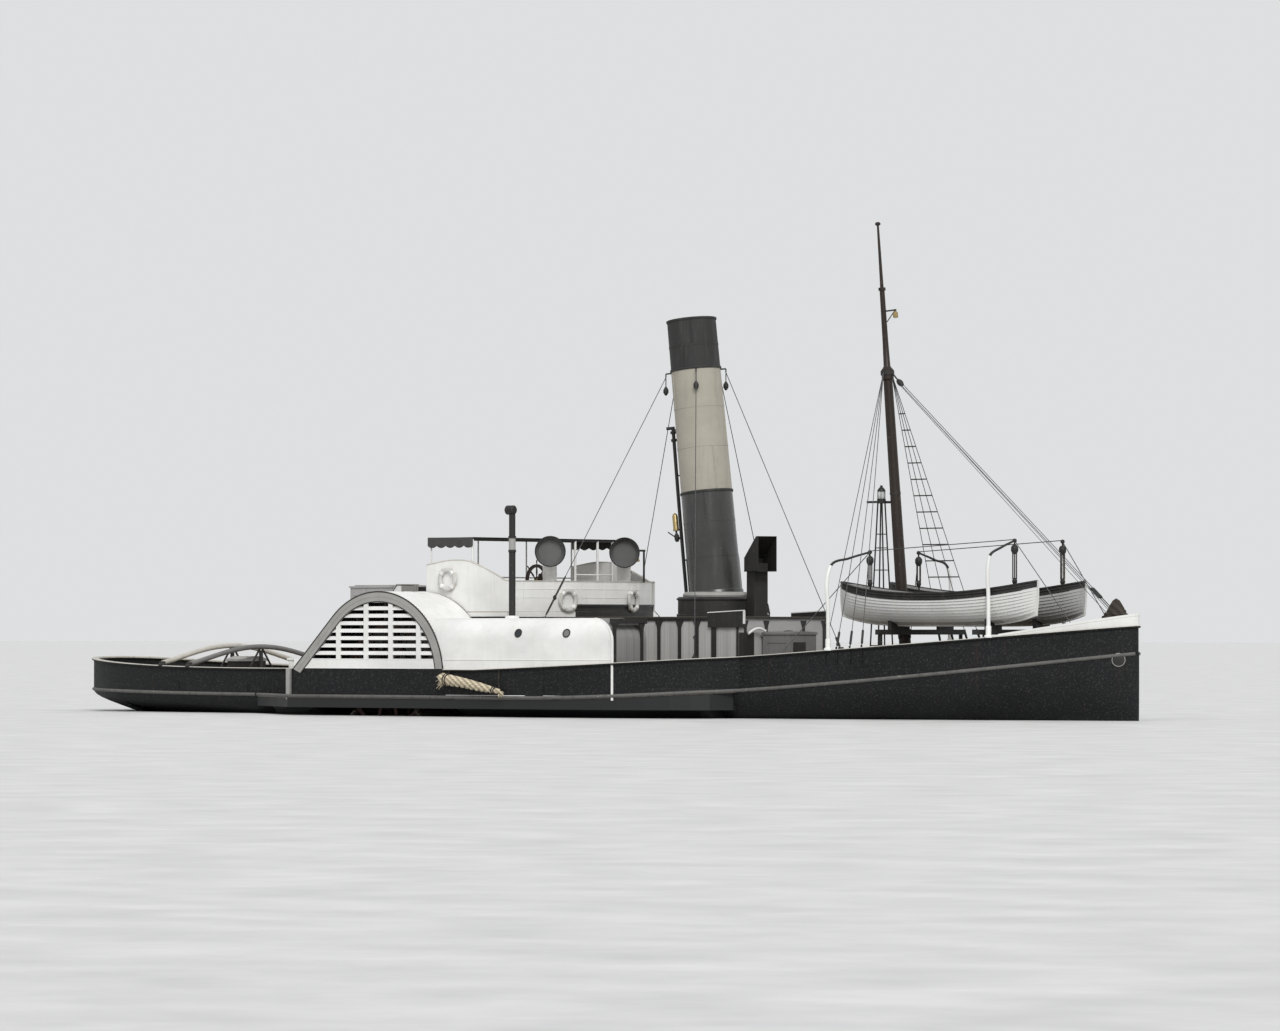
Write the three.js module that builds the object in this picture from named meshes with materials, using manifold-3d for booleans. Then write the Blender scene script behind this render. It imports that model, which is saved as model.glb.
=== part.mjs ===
// A side-wheel paddle tug of about 120 feet, as an assembly of separate solids.
// Millimetres. X runs forward from amidships, Y to port, Z up from the waterline.
// Port pieces are the mirror of starboard ones, which lie at negative Y.

import * as THREE from 'three';
import { mergeVertices } from 'three/addons/utils/BufferGeometryUtils.js';
import Module from 'manifold-3d';

const wasm = await Module();
wasm.setup();

// Driving dimensions
const STEM_X = 18540;
const STERN_X = -18540;
const HALF_BEAM = 3300;
const STEM_HALF = 60;
const DRAUGHT = 2300;
const KEEL_HALF = 130;
const DECK_Z = 500;
const STERN_POST_X = -16700;
const SEAT = 0.3;
const RUDDER = { x: -16960, stock: 80, stockTop: 350, heel: -DRAUGHT + 120, top: -330, aft: -18150 };

// Paddles, their boxes and the sponsons that carry them
const SHAFT_X = -3500;
const SHAFT_Z = 1120;
const SHAFT_R = 130;
const WHEEL_R = 2130;
const WHEEL_IN = 3550;
const WHEEL_OUT = 5100;
const BOX_R = 2400;
const BOX_IN = 3350;
const BOX_OUT = 5400;
const BOX_WALL = 80;
const BOX_AFT_X = -6750;
const BOX_FORE_X = -1100;
const SPONSON_IN = 3430;
const SPONSON_LENGTH = 7400;
const SPONSON_OUT = 2050;
const SPONSON_AFT_X = -9900;
const SPONSON_CORNER_X = -6900;
const SPONSON_Z = 230;
const WELL_AFT_X = -6100;
const WELL_FORE_X = -1180;

// Houses, bridge, funnel and mast
const CASING = { aft: -8000, fore: 6800, half: 1900, top: 2800 };
const HOUSE = { fore: 4750, in: 3450, top: 2760, round: 600 };
const BRIDGE = { aft: -3450, side: -450, centre: 380, half: 3340, z: 2950, thick: 150 - SEAT, top: 3810, wall: 60 };
const FUNNEL = { x: 4400, z: 3300, rake: 6.4, length: 7950, base: 745, top: 690, wall: 30 };
const MAST = { x: 11000, rake: 4.5, length: 12750, hounds: 8950, base: 225, mid: 165, top: 70 };
const BOAT = { x: 12850, y: 1150, z: 2560, half: 3250, beam: 760, depth: 850, rise: 330 };

// Colours of the painted and bare finishes
const COLOURS = {
  hull_black: [0x17191b, 0.55, 0.0],
  deck_wood: [0x8a7a62, 0.8, 0.0],
  white_paint: [0xe6e4de, 0.5, 0.0],
  grey_paint: [0x8f9394, 0.6, 0.0],
  funnel_buff: [0xb9a98a, 0.55, 0.0],
  black_iron: [0x202224, 0.6, 0.2],
  rail_wood: [0xb8ab92, 0.7, 0.0],
  mast_wood: [0x5a4029, 0.6, 0.0],
  canvas: [0x4a4a48, 0.9, 0.0],
  rope: [0xb6a98c, 0.95, 0.0],
  coir: [0x2e2922, 0.95, 0.0],
  wheel_iron: [0x6b3a2c, 0.7, 0.1],
  brass: [0xb08d3e, 0.35, 0.9],
  wire: [0x3a3c3e, 0.6, 0.5],
};

const paints = {};
for (const [name, [color, roughness, metalness]] of Object.entries(COLOURS)) {
  paints[name] = new THREE.MeshStandardMaterial({ name, color, roughness, metalness });
}

const steamer = new THREE.Group();

// Solids from three.js geometry, and back again

function signedVolume(positions, index) {
  const [a, b, c] = [new THREE.Vector3(), new THREE.Vector3(), new THREE.Vector3()];
  let total = 0;
  for (let i = 0; i < index.length; i += 3) {
    a.fromArray(positions, 3 * index[i]);
    b.fromArray(positions, 3 * index[i + 1]);
    c.fromArray(positions, 3 * index[i + 2]);
    total += a.dot(b.cross(c));
  }
  return total;
}

function solid(geometry) {
  geometry.deleteAttribute('normal');
  geometry.deleteAttribute('uv');
  const merged = mergeVertices(geometry, 0.001);
  const vertProperties = new Float32Array(merged.attributes.position.array);
  const triVerts = new Uint32Array(merged.index.array);
  if (signedVolume(vertProperties, triVerts) < 0) {
    for (let i = 0; i < triVerts.length; i += 3) {
      [triVerts[i + 1], triVerts[i + 2]] = [triVerts[i + 2], triVerts[i + 1]];
    }
  }
  return new wasm.Manifold(new wasm.Mesh({ numProp: 3, vertProperties, triVerts }));
}

function add(name, shape, paint, place = [0, 0, 0]) {
  const mesh = mainBody(shape).getMesh();
  const geometry = new THREE.BufferGeometry();
  geometry.setAttribute('position', new THREE.Float32BufferAttribute(mesh.vertProperties, 3));
  geometry.setIndex(new THREE.Uint32BufferAttribute(mesh.triVerts, 1));
  geometry.computeVertexNormals();
  const part = new THREE.Mesh(geometry, paints[paint]);
  part.name = name;
  part.position.set(...place);
  steamer.add(part);
}

// A cut can leave loose slivers under a seat, so only the piece itself is kept
function mainBody(shape) {
  return shape.decompose().reduce((best, piece) => (piece.volume() > best.volume() ? piece : best));
}

function join(first, ...rest) {
  return rest.reduce((sum, shape) => sum.add(shape), first);
}

function toPort(shape) {
  return shape.mirror([0, 1, 0]);
}

function bothSides(name, shape, paint) {
  add(`${name}_starboard`, shape, paint);
  add(`${name}_port`, toPort(shape), paint);
}

function box(x0, x1, y0, y1, z0, z1) {
  const geometry = new THREE.BoxGeometry(x1 - x0, y1 - y0, z1 - z0);
  geometry.translate((x0 + x1) / 2, (y0 + y1) / 2, (z0 + z1) / 2);
  return solid(geometry);
}

function rod(from, to, r, sides = 8, rEnd = r) {
  const [p, q] = [new THREE.Vector3(...from), new THREE.Vector3(...to)];
  const geometry = new THREE.CylinderGeometry(rEnd, r, p.distanceTo(q), sides);
  const along = q.clone().sub(p).normalize();
  geometry.applyQuaternion(new THREE.Quaternion().setFromUnitVectors(new THREE.Vector3(0, 1, 0), along));
  geometry.translate((p.x + q.x) / 2, (p.y + q.y) / 2, (p.z + q.z) / 2);
  return solid(geometry);
}

// A profile of [radius, height] pairs, turned about the vertical axis
function turned(profile, sides = 24) {
  const geometry = new THREE.LatheGeometry(profile.map(([r, z]) => new THREE.Vector2(r, z)), sides);
  geometry.rotateX(Math.PI / 2);
  return solid(geometry);
}

function ring(radius, section, sides = 24, facets = 8) {
  const profile = [];
  for (let i = 0; i <= facets; i += 1) {
    const angle = (2 * Math.PI * (i % facets)) / facets;
    profile.push([radius + section * Math.cos(angle), section * Math.sin(angle)]);
  }
  return turned(profile, sides);
}

function outline(points) {
  return new THREE.Shape(points.map(([a, b]) => new THREE.Vector2(a, b)));
}

// An outline in X and Z, thick from y0 to y1
function sideways(shape, y0, y1) {
  const geometry = new THREE.ExtrudeGeometry(shape, { depth: y1 - y0, bevelEnabled: false, curveSegments: 6 });
  geometry.rotateX(Math.PI / 2);
  geometry.translate(0, y1, 0);
  return solid(geometry);
}

// An outline in X and Y, thick from z0 to z1
function upright(shape, z0, z1) {
  const geometry = new THREE.ExtrudeGeometry(shape, { depth: z1 - z0, bevelEnabled: false, curveSegments: 6 });
  geometry.translate(0, 0, z0);
  return solid(geometry);
}

function tube(points, r, steps, sides = 8) {
  const curve = new THREE.CatmullRomCurve3(points.map((p) => new THREE.Vector3(...p)), false, 'centripetal');
  const corners = [];
  for (let i = 0; i < sides; i += 1) {
    const angle = (2 * Math.PI * i) / sides;
    corners.push([r * Math.cos(angle), r * Math.sin(angle)]);
  }
  const settings = { steps, bevelEnabled: false, extrudePath: curve };
  return solid(new THREE.ExtrudeGeometry(outline(corners), settings));
}

// Rings of equally many points, skinned in order and closed by the first and last ring's own shape
function skin(rings, flatRing) {
  const count = rings[0].length;
  const positions = rings.flat(2);
  const index = [];
  for (let s = 0; s + 1 < rings.length; s += 1) {
    for (let i = 0; i < count; i += 1) {
      const [a, b] = [s * count + i, s * count + ((i + 1) % count)];
      index.push(a, b, b + count, a, b + count, a + count);
    }
  }
  const cap = THREE.ShapeUtils.triangulateShape(flatRing.map(([a, b]) => new THREE.Vector2(a, b)), []);
  const turn = THREE.ShapeUtils.isClockWise(flatRing.map(([a, b]) => ({ x: a, y: b }))) ? 1 : -1;
  const last = (rings.length - 1) * count;
  for (const [a, b, c] of cap) {
    index.push(...(turn > 0 ? [a, b, c] : [a, c, b]));
    index.push(...(turn > 0 ? [last + a, last + c, last + b] : [last + a, last + b, last + c]));
  }
  const geometry = new THREE.BufferGeometry();
  geometry.setAttribute('position', new THREE.Float32BufferAttribute(positions, 3));
  geometry.setIndex(index);
  return solid(geometry);
}

// A section of [outward, z] pairs swept along a plan path of { at: [x, y], out: [nx, ny] } stations
function sweep(stations, section) {
  const rings = stations.map((station) => section(station).map(([out, z]) => [
    station.at[0] + out * station.out[0],
    station.at[1] + out * station.out[1],
    z,
  ]));
  return skin(rings, section(stations[0]));
}

// Lines of the hull

function deckHalf(x) {
  if (x > 3000) {
    const u = Math.min((x - 3000) / (STEM_X - 3000), 1);
    return STEM_HALF + (HALF_BEAM - STEM_HALF) * (1 - u ** 2.5) ** 0.85;
  }
  if (x < -5000) {
    const u = Math.min((-5000 - x) / (-5000 - STERN_X), 1);
    return HALF_BEAM * (1 - u ** 5) ** 0.42;
  }
  return HALF_BEAM;
}

function waterHalf(x) {
  if (x > 0) return STEM_HALF * 0.8 + (HALF_BEAM - 100) * (1 - Math.min(x / STEM_X, 1) ** 2.2) ** 1.15;
  if (x > -4000) return HALF_BEAM - 52;
  const u = Math.min((-4000 - x) / 13200, 1);
  return STEM_HALF + (HALF_BEAM - 112) * (1 - u ** 2.4) ** 0.9;
}

function deckZ(x) {
  if (x > 2000) return DECK_Z + 14 * ((x - 2000) / 1000) ** 1.6;
  if (x < -8000) return DECK_Z + 120 * ((-8000 - x) / 10500) ** 2;
  return DECK_Z;
}

function railZ(x) {
  if (x > 0) return 1360 + 20 * (x / 1000) ** 1.4;
  if (x < -9000) return 1330 + 1.1 * ((-9000 - x) / 1000) ** 2.5;
  return 1330;
}

function sponsonHalf(x) {
  if (x > SPONSON_LENGTH) return deckHalf(x);
  if (x > 0) return deckHalf(x) + SPONSON_OUT * Math.sqrt(1 - (x / SPONSON_LENGTH) ** 2.5);
  if (x >= SPONSON_CORNER_X) return BOX_OUT - 50 + 50 * Math.min(-x / 1000, 1);
  return HALF_BEAM + (BOX_OUT - HALF_BEAM) * (x - SPONSON_AFT_X) / (SPONSON_CORNER_X - SPONSON_AFT_X);
}

// Half sections run from the keel to the deck edge, as [y, z] pairs
function hullSection(x, keelZ, fullness, hollow) {
  const half = [[KEEL_HALF, keelZ]];
  for (const depth of [0.97, 0.86, 0.66, 0.4, 0.18]) {
    const swell = (1 - depth ** fullness) ** hollow;
    half.push([KEEL_HALF * 0.9 + (waterHalf(x) - KEEL_HALF * 0.9) * swell, keelZ * depth]);
  }
  half.push([waterHalf(x), 0]);
  half.push([waterHalf(x) + (deckHalf(x) - waterHalf(x)) * 0.9, deckZ(x) * 0.6]);
  half.push([deckHalf(x), deckZ(x)]);
  return half;
}

// Half sections { x, half } skinned on the starboard side and mirrored, so both sides match
function symmetric(sections) {
  const rings = sections.map(({ x, half }) => [
    [x, 0, half[0][1]], ...half.map(([y, z]) => [x, -y, z]), [x, 0, half[half.length - 1][1]],
  ]);
  const starboard = skin(rings, rings[0].map(([, y, z]) => [y, z]));
  return starboard.add(toPort(starboard));
}

// Stations that the hull's skin shares with the bulwarks and strakes standing along its edge
const EDGE_AFT = [-7000, -10000, -12500, -14500, -15900, STERN_POST_X];
const EDGE_COUNTER = [-17300, -17800, -18200, -18420, -18530];
const EDGE_FORE = [7400, 8300, 9500, 11000, 12500, 14000, 15200, 16300, 17200, 17900, 18330];

function hullBody() {
  // Columns: x, keel z, fullness of the section, hollow of the section
  const stations = [
    [STERN_POST_X, -DRAUGHT, 0.9, 2.4],
    [-15900, -DRAUGHT, 1.2, 1.9],
    [-14500, -DRAUGHT, 1.8, 1.3],
    [-12500, -DRAUGHT, 2.8, 0.9],
    [-10000, -DRAUGHT, 4.2, 0.7],
    [-7000, -DRAUGHT, 5.5, 0.6],
    [-2000, -DRAUGHT, 6.0, 0.55],
    [3000, -DRAUGHT, 6.0, 0.55],
    [5200, -DRAUGHT, 5.4, 0.6],
    [7400, -DRAUGHT, 4.4, 0.7],
    [8300, -DRAUGHT, 3.9, 0.73],
    [9500, -DRAUGHT, 3.4, 0.78],
    [11000, -DRAUGHT, 2.8, 0.84],
    [12500, -DRAUGHT, 2.3, 0.92],
    [14000, -DRAUGHT, 2.0, 1.02],
    [15200, -DRAUGHT, 1.7, 1.1],
    [16300, -2270, 1.6, 1.16],
    [17200, -2180, 1.5, 1.2],
    [17900, -1980, 1.4, 1.15],
    [18330, -1650, 1.3, 1.1],
    [STEM_X, -1100, 1.2, 1.0],
  ];
  return symmetric(stations.map(([x, keelZ, full, hollow]) => ({ x, half: hullSection(x, keelZ, full, hollow) })));
}

function counter() {
  // Columns: x, z of the underside on the centreline
  const stations = [[-15900, -250], [STERN_POST_X, -150], [-17300, 30], [-17800, 200], [-18200, 350],
    [-18420, 450], [-18530, 500]];
  return symmetric(stations.map(([x, low]) => ({
    x,
    half: [
      [deckHalf(x) * 0.12, low],
      [deckHalf(x) * 0.55, low + (deckZ(x) - low) * 0.3],
      [deckHalf(x) * 0.92, low + (deckZ(x) - low) * 0.72],
      [deckHalf(x), deckZ(x)],
    ],
  })));
}

function hull() {
  const sole = box(-17150, STERN_POST_X + 200, -90, 90, -DRAUGHT - 1, -DRAUGHT + 120);
  const trunk = rod([RUDDER.x, 0, -1500], [RUDDER.x, 0, RUDDER.stockTop + 30], RUDDER.stock + 0.7, 48);
  const body = join(hullBody(), counter(), sole);
  return body.subtract(trunk);
}

const theHull = hull();

// A piece and a hair of room around it, which cuts whatever is seated on it or beside it
function keepOut(shape) {
  const lifted = shape.translate([0, 0, SEAT]);
  return join(shape, lifted, lifted.scale([1.000016, 1.00025, 1]));
}

function roomAround(shape) {
  const shifts = [[SEAT, 0, 0], [-SEAT, 0, 0], [0, SEAT, 0], [0, -SEAT, 0], [0, 0, SEAT]];
  return shifts.reduce((sum, shift) => sum.add(shape.translate(shift)), shape);
}

// Sponsons

const SPONSON_FORE_XS = [BOX_FORE_X + 10, 0, 1500, 3000, 4000, HOUSE.fore, 5500, 6200, 6700, 7100];
const SPONSON_XS = [SPONSON_AFT_X, SPONSON_CORNER_X, ...SPONSON_FORE_XS, SPONSON_LENGTH];

function sponson() {
  const slabRings = SPONSON_XS.map((x) => [
    [x, -2900, SPONSON_Z], [x, -sponsonHalf(x), SPONSON_Z], [x, -sponsonHalf(x), deckZ(x)], [x, -2900, deckZ(x)],
  ]);
  const slab = skin(slabRings, slabRings[1].map(([, y, z]) => [y, z]));
  // Plated brackets ahead of and behind the wheel, falling inboard to the hull's side
  const bracket = [[-2900, -500], [-3200, -500], [-5000, SPONSON_Z + 1], [-2900, SPONSON_Z + 1]];
  const fore = skin([[BOX_FORE_X + 120, 1], [4200, 0.9], [6900, 0.4]].map(([x, out]) => (
    bracket.map(([y, z]) => [x, -2900 + (y + 2900) * out, z]))), bracket);
  const aft = skin([[-9000, 0.35], [WELL_AFT_X - 150, 1]].map(([x, out]) => (
    bracket.map(([y, z]) => [x, -2900 + (y + 2900) * out, z]))), bracket);
  const well = box(WELL_AFT_X, WELL_FORE_X, -5240, -SPONSON_IN, -600, DECK_Z + 10);
  const inner = keepOut(theHull).add(keepOut(theHull).translate([0, 0, 200]));
  return mainBody(join(slab, fore, aft).subtract(well).subtract(inner));
}

const starboardSponson = sponson();
const theDeck = join(theHull, starboardSponson, toPort(starboardSponson));
const onDeck = keepOut(theDeck);

function seated(shape) {
  return shape.subtract(onDeck);
}

// Bulwarks, rails and rubbing strakes

// Stations down one side, round the end and back up the other, each with its outward direction
function bothEdges(xs, half, end) {
  const stations = xs.map((x) => {
    const slope = (half(x + 20) - half(x - 20)) / 40;
    const length = Math.hypot(1, slope);
    return { at: [x, -half(x)], out: [-slope / length, -1 / length] };
  });
  const mirrored = stations.map(({ at, out }) => ({ at: [at[0], -at[1]], out: [out[0], -out[1]] })).reverse();
  return [...stations, ...end, ...mirrored];
}

const FORE_XS = [...SPONSON_FORE_XS, ...EDGE_FORE];
const AFT_XS = [BOX_AFT_X - 10, ...EDGE_AFT, ...EDGE_COUNTER];
const AT_STEM = [{ at: [STEM_X - 1, 0], out: [1, 0] }];
const AT_STERN = [{ at: [STERN_X + 1, 0], out: [-1, 0] }];

// Plate and capping rail of a bulwark, grown by the room that a neighbour leaves round it
function bulwarkSection(room) {
  return ({ at }) => {
    const [top, low] = [railZ(at[0]) + room, deckZ(at[0]) + SEAT - 2 * room];
    const under = top - 60 - 2 * room;
    return [[room, low], [room, under], [60 + room, under], [60 + room, top], [-140 - room, top],
      [-140 - room, under], [-60 - room, under], [-60 - room, low]];
  };
}

function foreHalf(x) {
  return sponsonHalf(x) - 1;
}

function aftHalf(x) {
  return deckHalf(x) - 1;
}

const foreStations = bothEdges(FORE_XS, foreHalf, AT_STEM);
const aftStations = bothEdges(AFT_XS, aftHalf, AT_STERN);

function strakeSection(height, thick) {
  return ({ at }) => {
    const mid = deckZ(at[0]) + 50;
    return [[SEAT, mid - height / 2], [thick, mid - height / 2 + 20], [thick, mid + height / 2 - 20],
      [SEAT, mid + height / 2]];
  };
}

const foreBulwark = sweep(foreStations, bulwarkSection(0));
const aftBulwark = sweep(aftStations, bulwarkSection(0));
const onRail = sweep(foreStations, bulwarkSection(SEAT));

function buildHull() {
  add('hull', theHull, 'hull_black');
  bothSides('sponson', starboardSponson, 'hull_black');
  add('bulwark_forward', foreBulwark, 'hull_black');
  add('bulwark_aft', aftBulwark, 'hull_black');
  const foreXs = [SPONSON_AFT_X, SPONSON_CORNER_X, ...FORE_XS, STEM_X];
  add('rubbing_strake_forward', sweep(bothEdges(foreXs, sponsonHalf, []), strakeSection(130, 70)), 'rail_wood');
  add('rubbing_strake_aft', sweep(bothEdges([-10000 - SEAT, ...AFT_XS.slice(3)], deckHalf, AT_STERN),
    strakeSection(130, 70)), 'rail_wood');
  add('bow_band', theBowBand, 'white_paint');
}

// White band that raises the bulwark round the bow
function bowBand() {
  const bandXs = [15200, 16300, 17200, 17900, 18330];
  const band = sweep(bothEdges(bandXs, foreHalf, AT_STEM), ({ at }) => {
    const [low, high] = [railZ(at[0]) - 40, bowTop(at[0])];
    return [[20, low], [20, high], [-80, high], [-80, low]];
  });
  return band.subtract(onRail);
}
const theBowBand = bowBand();

// Rudder, hung behind the stern post and standing on the sole piece

function buildRudder() {
  const blade = sideways(outline([[0, RUDDER.heel + SEAT], [RUDDER.aft - RUDDER.x, -1900],
    [RUDDER.aft - RUDDER.x, -600], [0, RUDDER.top]]), -40, 40);
  const stock = rod([0, 0, RUDDER.heel + SEAT], [0, 0, RUDDER.stockTop], RUDDER.stock, 16);
  add('rudder', join(blade, stock), 'hull_black', [RUDDER.x, 0, 0]);
}

// Paddle wheels and boxes

function boxOutline(inset, low) {
  const r = BOX_R - inset;
  const shape = new THREE.Shape();
  const slopeEnd = BOX_AFT_X + 66 + inset;
  const tangent = Math.SQRT1_2 * r;
  const slopeZ = SHAFT_Z + tangent - (SHAFT_X - tangent - slopeEnd);
  shape.moveTo(slopeEnd, low);
  shape.lineTo(slopeEnd, slopeZ);
  shape.lineTo(SHAFT_X - tangent, SHAFT_Z + tangent);
  shape.absarc(SHAFT_X, SHAFT_Z, r, 0.75 * Math.PI, 0.0, true);
  shape.lineTo(SHAFT_X + r, low);
  return shape;
}

function boxPrism(inset, low, y0, y1) {
  const geometry = new THREE.ExtrudeGeometry(boxOutline(inset, low), {
    depth: y1 - y0, bevelEnabled: false, curveSegments: 18,
  });
  geometry.rotateX(Math.PI / 2);
  geometry.translate(0, y1, 0);
  return solid(geometry);
}

const LOUVRE = { rows: 8, pitch: 211, low: 1620, gap: 105, posts: [-1490, -460, 455, 1480], post: 75, band: 290 };

function louvreSlots() {
  const slots = [];
  const edges = [-3400, ...LOUVRE.posts, 2600];
  for (let row = 0; row < LOUVRE.rows; row += 1) {
    const z = LOUVRE.low + row * LOUVRE.pitch;
    for (let i = 0; i + 1 < edges.length; i += 1) {
      const [x0, x1] = [SHAFT_X + edges[i] + LOUVRE.post, SHAFT_X + edges[i + 1] - LOUVRE.post];
      slots.push(box(x0, x1, -BOX_OUT - 10, -BOX_OUT + BOX_WALL + 10, z, z + LOUVRE.gap));
    }
  }
  const field = boxPrism(LOUVRE.band, DECK_Z, -BOX_OUT - 20, -BOX_OUT + BOX_WALL + 20);
  return wasm.Manifold.union(slots).intersect(field);
}

function paddleBox() {
  const outside = boxPrism(0, DECK_Z - 20, -BOX_OUT, -BOX_IN);
  const inside = boxPrism(BOX_WALL, DECK_Z - 40, -BOX_OUT + BOX_WALL, -BOX_IN - BOX_WALL);
  const foreFoot = box(BOX_FORE_X - 260, BOX_FORE_X, -BOX_OUT, -BOX_IN, DECK_Z - 20, SHAFT_Z);
  const foreSpace = box(BOX_FORE_X - 300, BOX_FORE_X - BOX_WALL, -BOX_OUT + BOX_WALL, -BOX_IN - BOX_WALL,
    DECK_Z - 40, SHAFT_Z + 40);
  const outerBearing = box(SHAFT_X - 330, SHAFT_X + 330, -BOX_OUT + 10, -WHEEL_OUT - 60, DECK_Z - 20, 1330);
  const innerBearing = rod([SHAFT_X, -BOX_IN - 10, SHAFT_Z], [SHAFT_X, -WHEEL_IN + 60, SHAFT_Z], 330, 16);
  const shell = outside.subtract(inside).subtract(foreSpace).add(foreFoot.subtract(foreSpace));
  return seated(join(shell, outerBearing, innerBearing).subtract(louvreSlots()));
}

const ARMS = 11;
const RIM = { in: 1370, out: 1470, hub: 340, arm: 48, plate: 60 };

function polar(r, angle) {
  return [r * Math.sin(angle), r * Math.cos(angle)];
}

// Hub, arms and rim of one side of the wheel, cut from one plate
function spider(y) {
  const step = (2 * Math.PI) / ARMS;
  const rim = [];
  const holes = [];
  for (let i = 0; i < ARMS; i += 1) {
    const angle = i * step;
    const tip = WHEEL_R - 90;
    rim.push(polar(RIM.out, angle - RIM.arm / RIM.out), polar(tip, angle - RIM.arm / tip));
    rim.push(polar(tip, angle + RIM.arm / tip), polar(RIM.out, angle + RIM.arm / RIM.out));
    rim.push(polar(RIM.out, angle + step / 2));
    holes.push([polar(RIM.hub, angle + RIM.arm / RIM.hub), polar(RIM.in, angle + RIM.arm / RIM.in),
      polar(RIM.in, angle + step / 2), polar(RIM.in, angle + step - RIM.arm / RIM.in),
      polar(RIM.hub, angle + step - RIM.arm / RIM.hub)]);
  }
  const shape = outline(rim.reverse());
  shape.holes = holes.map((hole) => new THREE.Path(hole.map(([a, b]) => new THREE.Vector2(a, b))));
  return sideways(shape, y - RIM.plate / 2, y + RIM.plate / 2);
}

function paddleWheel() {
  const [yIn, yOut] = [-WHEEL_IN, -WHEEL_OUT];
  const parts = [rod([0, yOut - 60 + SEAT, 0], [0, yIn + 60 - SEAT, 0], SHAFT_R, 12)];
  parts.push(spider(yIn - 150), spider(yOut + 150));
  for (let i = 0; i < ARMS; i += 1) {
    const float = box(-28, 28, yOut, yIn, WHEEL_R - 640, WHEEL_R);
    parts.push(float.rotate([0, (360 * i) / ARMS, 0]));
  }
  return wasm.Manifold.union(parts);
}

function buildPaddles() {
  bothSides('paddle_box', paddleBox(), 'white_paint');
  const wheel = paddleWheel();
  add('paddle_wheel_starboard', wheel, 'wheel_iron', [SHAFT_X, 0, SHAFT_Z]);
  add('paddle_wheel_port', toPort(wheel), 'wheel_iron', [SHAFT_X, 0, SHAFT_Z]);
}

// Sponson houses, joined to the roof of the paddle box

function sponsonHouse() {
  const xs = [-2300, BOX_FORE_X + 10, 0, 1500, 3000, 4000, HOUSE.fore];
  const rings = xs.map((x) => {
    const [out, low] = [sponsonHalf(x) - 15, deckZ(x) + SEAT];
    const section = [[HOUSE.in, low], [out, low]];
    for (const angle of [0, 22.5, 45, 67.5, 90]) {
      const a = THREE.MathUtils.degToRad(angle);
      section.push([out - HOUSE.round * (1 - Math.cos(a)), HOUSE.top - HOUSE.round * (1 - Math.sin(a))]);
    }
    section.push([HOUSE.in, HOUSE.top]);
    return section.map(([y, z]) => [x, -y, z]);
  });
  const body = skin(rings, rings[0].map(([, y, z]) => [y, z]));
  const profile = new THREE.Shape();
  profile.moveTo(-2400, DECK_Z - 30);
  profile.lineTo(HOUSE.fore - 10, DECK_Z - 30);
  profile.lineTo(HOUSE.fore - 10, HOUSE.top - HOUSE.round);
  profile.absarc(HOUSE.fore - 10 - HOUSE.round, HOUSE.top - HOUSE.round, HOUSE.round, 0, Math.PI / 2, false);
  profile.lineTo(-2400, HOUSE.top);
  const rounded = body.intersect(sideways(profile, -5600, -3000));
  const boxRoom = boxPrism(-SEAT, DECK_Z - 60, -BOX_OUT - 100, -BOX_IN + 200);
  const footRoom = box(-2500, BOX_FORE_X + SEAT, -5700, -3000, 0, SHAFT_Z + 5);
  return rounded.subtract(boxRoom).subtract(footRoom).subtract(onRail);
}

function buildHouses() {
  bothSides('sponson_house', sponsonHouse(), 'white_paint');
  const pipe = [700, -4550];
  const stove = join(
    rod([...pipe, HOUSE.top + SEAT], [...pipe, 5700], 95, 12),
    rod([...pipe, HOUSE.top + SEAT], [...pipe, HOUSE.top + 60], 190, 12),
    rod([pipe[0] - 210, pipe[1], 5780], [pipe[0] + 90, pipe[1], 5780], 130, 10),
  );
  add('stove_pipe', stove, 'black_iron');
}

// Engine and boiler casing with its pilasters, skylight and lockers

const PILASTERS = [6590, 5770, 5180, 4570, 3840, 2540, 1240, -60, -1360, -2660, -3960, -5260, -6560, -7860];

function casing() {
  const { aft, fore, half, top } = CASING;
  const parts = [box(aft, fore, -half, half, DECK_Z - 20, top - 60), box(aft - 50, fore + 50, -half - 50, half + 50,
    top - 60, top)];
  for (const x of PILASTERS) {
    parts.push(box(x - 55, x + 55, -half - 30, half + 30, DECK_Z - 20, top - 50));
  }
  // Sidelight boards stand on edge along the roof's forward corners
  const board = box(5600, 6850, -half - 70, -half - 10, top - 190, top + 390);
  return seated(join(wasm.Manifold.union(parts), board, toPort(board)));
}

function buildCasing() {
  const { top } = CASING;
  add('casing', casing(), 'grey_paint');
  const low = top + SEAT;
  const sloped = outline([[-6140, low], [-5735, low], [-5735, 3750], [-5886, 3750], [-6140, 3440]]);
  const skylight = join(
    box(-7800, -6200, -1600, 1600, low, 3710),
    box(-6210, -4400, -1000, 1000, low, 3560),
    box(-5780, -4500, -980, 980, 3500, 3680),
    sideways(sloped, -1750, -990),
  );
  add('engine_skylight', skylight, 'grey_paint');
}

// Bridge

function frontX(y) {
  const { side, centre, half } = BRIDGE;
  return side + (centre - side) * (1 - (y / half) ** 2);
}

function frontEdge(inset) {
  const points = [];
  for (let i = 0; i <= 12; i += 1) {
    const y = (-1 + i / 6) * (BRIDGE.half - inset);
    points.push([frontX(y) - inset, y]);
  }
  return points;
}

function bridgeScreens() {
  const { aft, half, z, top, wall } = BRIDGE;
  const low = z + SEAT;
  // Top of the side screens: x, z
  const crest = [[-500, top], [-800, 3950], [-1410, 4210], [-1850, 4360], [-2460, 4400], [aft, 4270]];
  const side = sideways(outline([[aft, low], [-380, low], [-380, top], ...crest]), -half, -half + wall);
  const front = upright(outline([...frontEdge(0), ...frontEdge(wall).reverse()]), low, top);
  return join(front, side, toPort(side));
}

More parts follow.
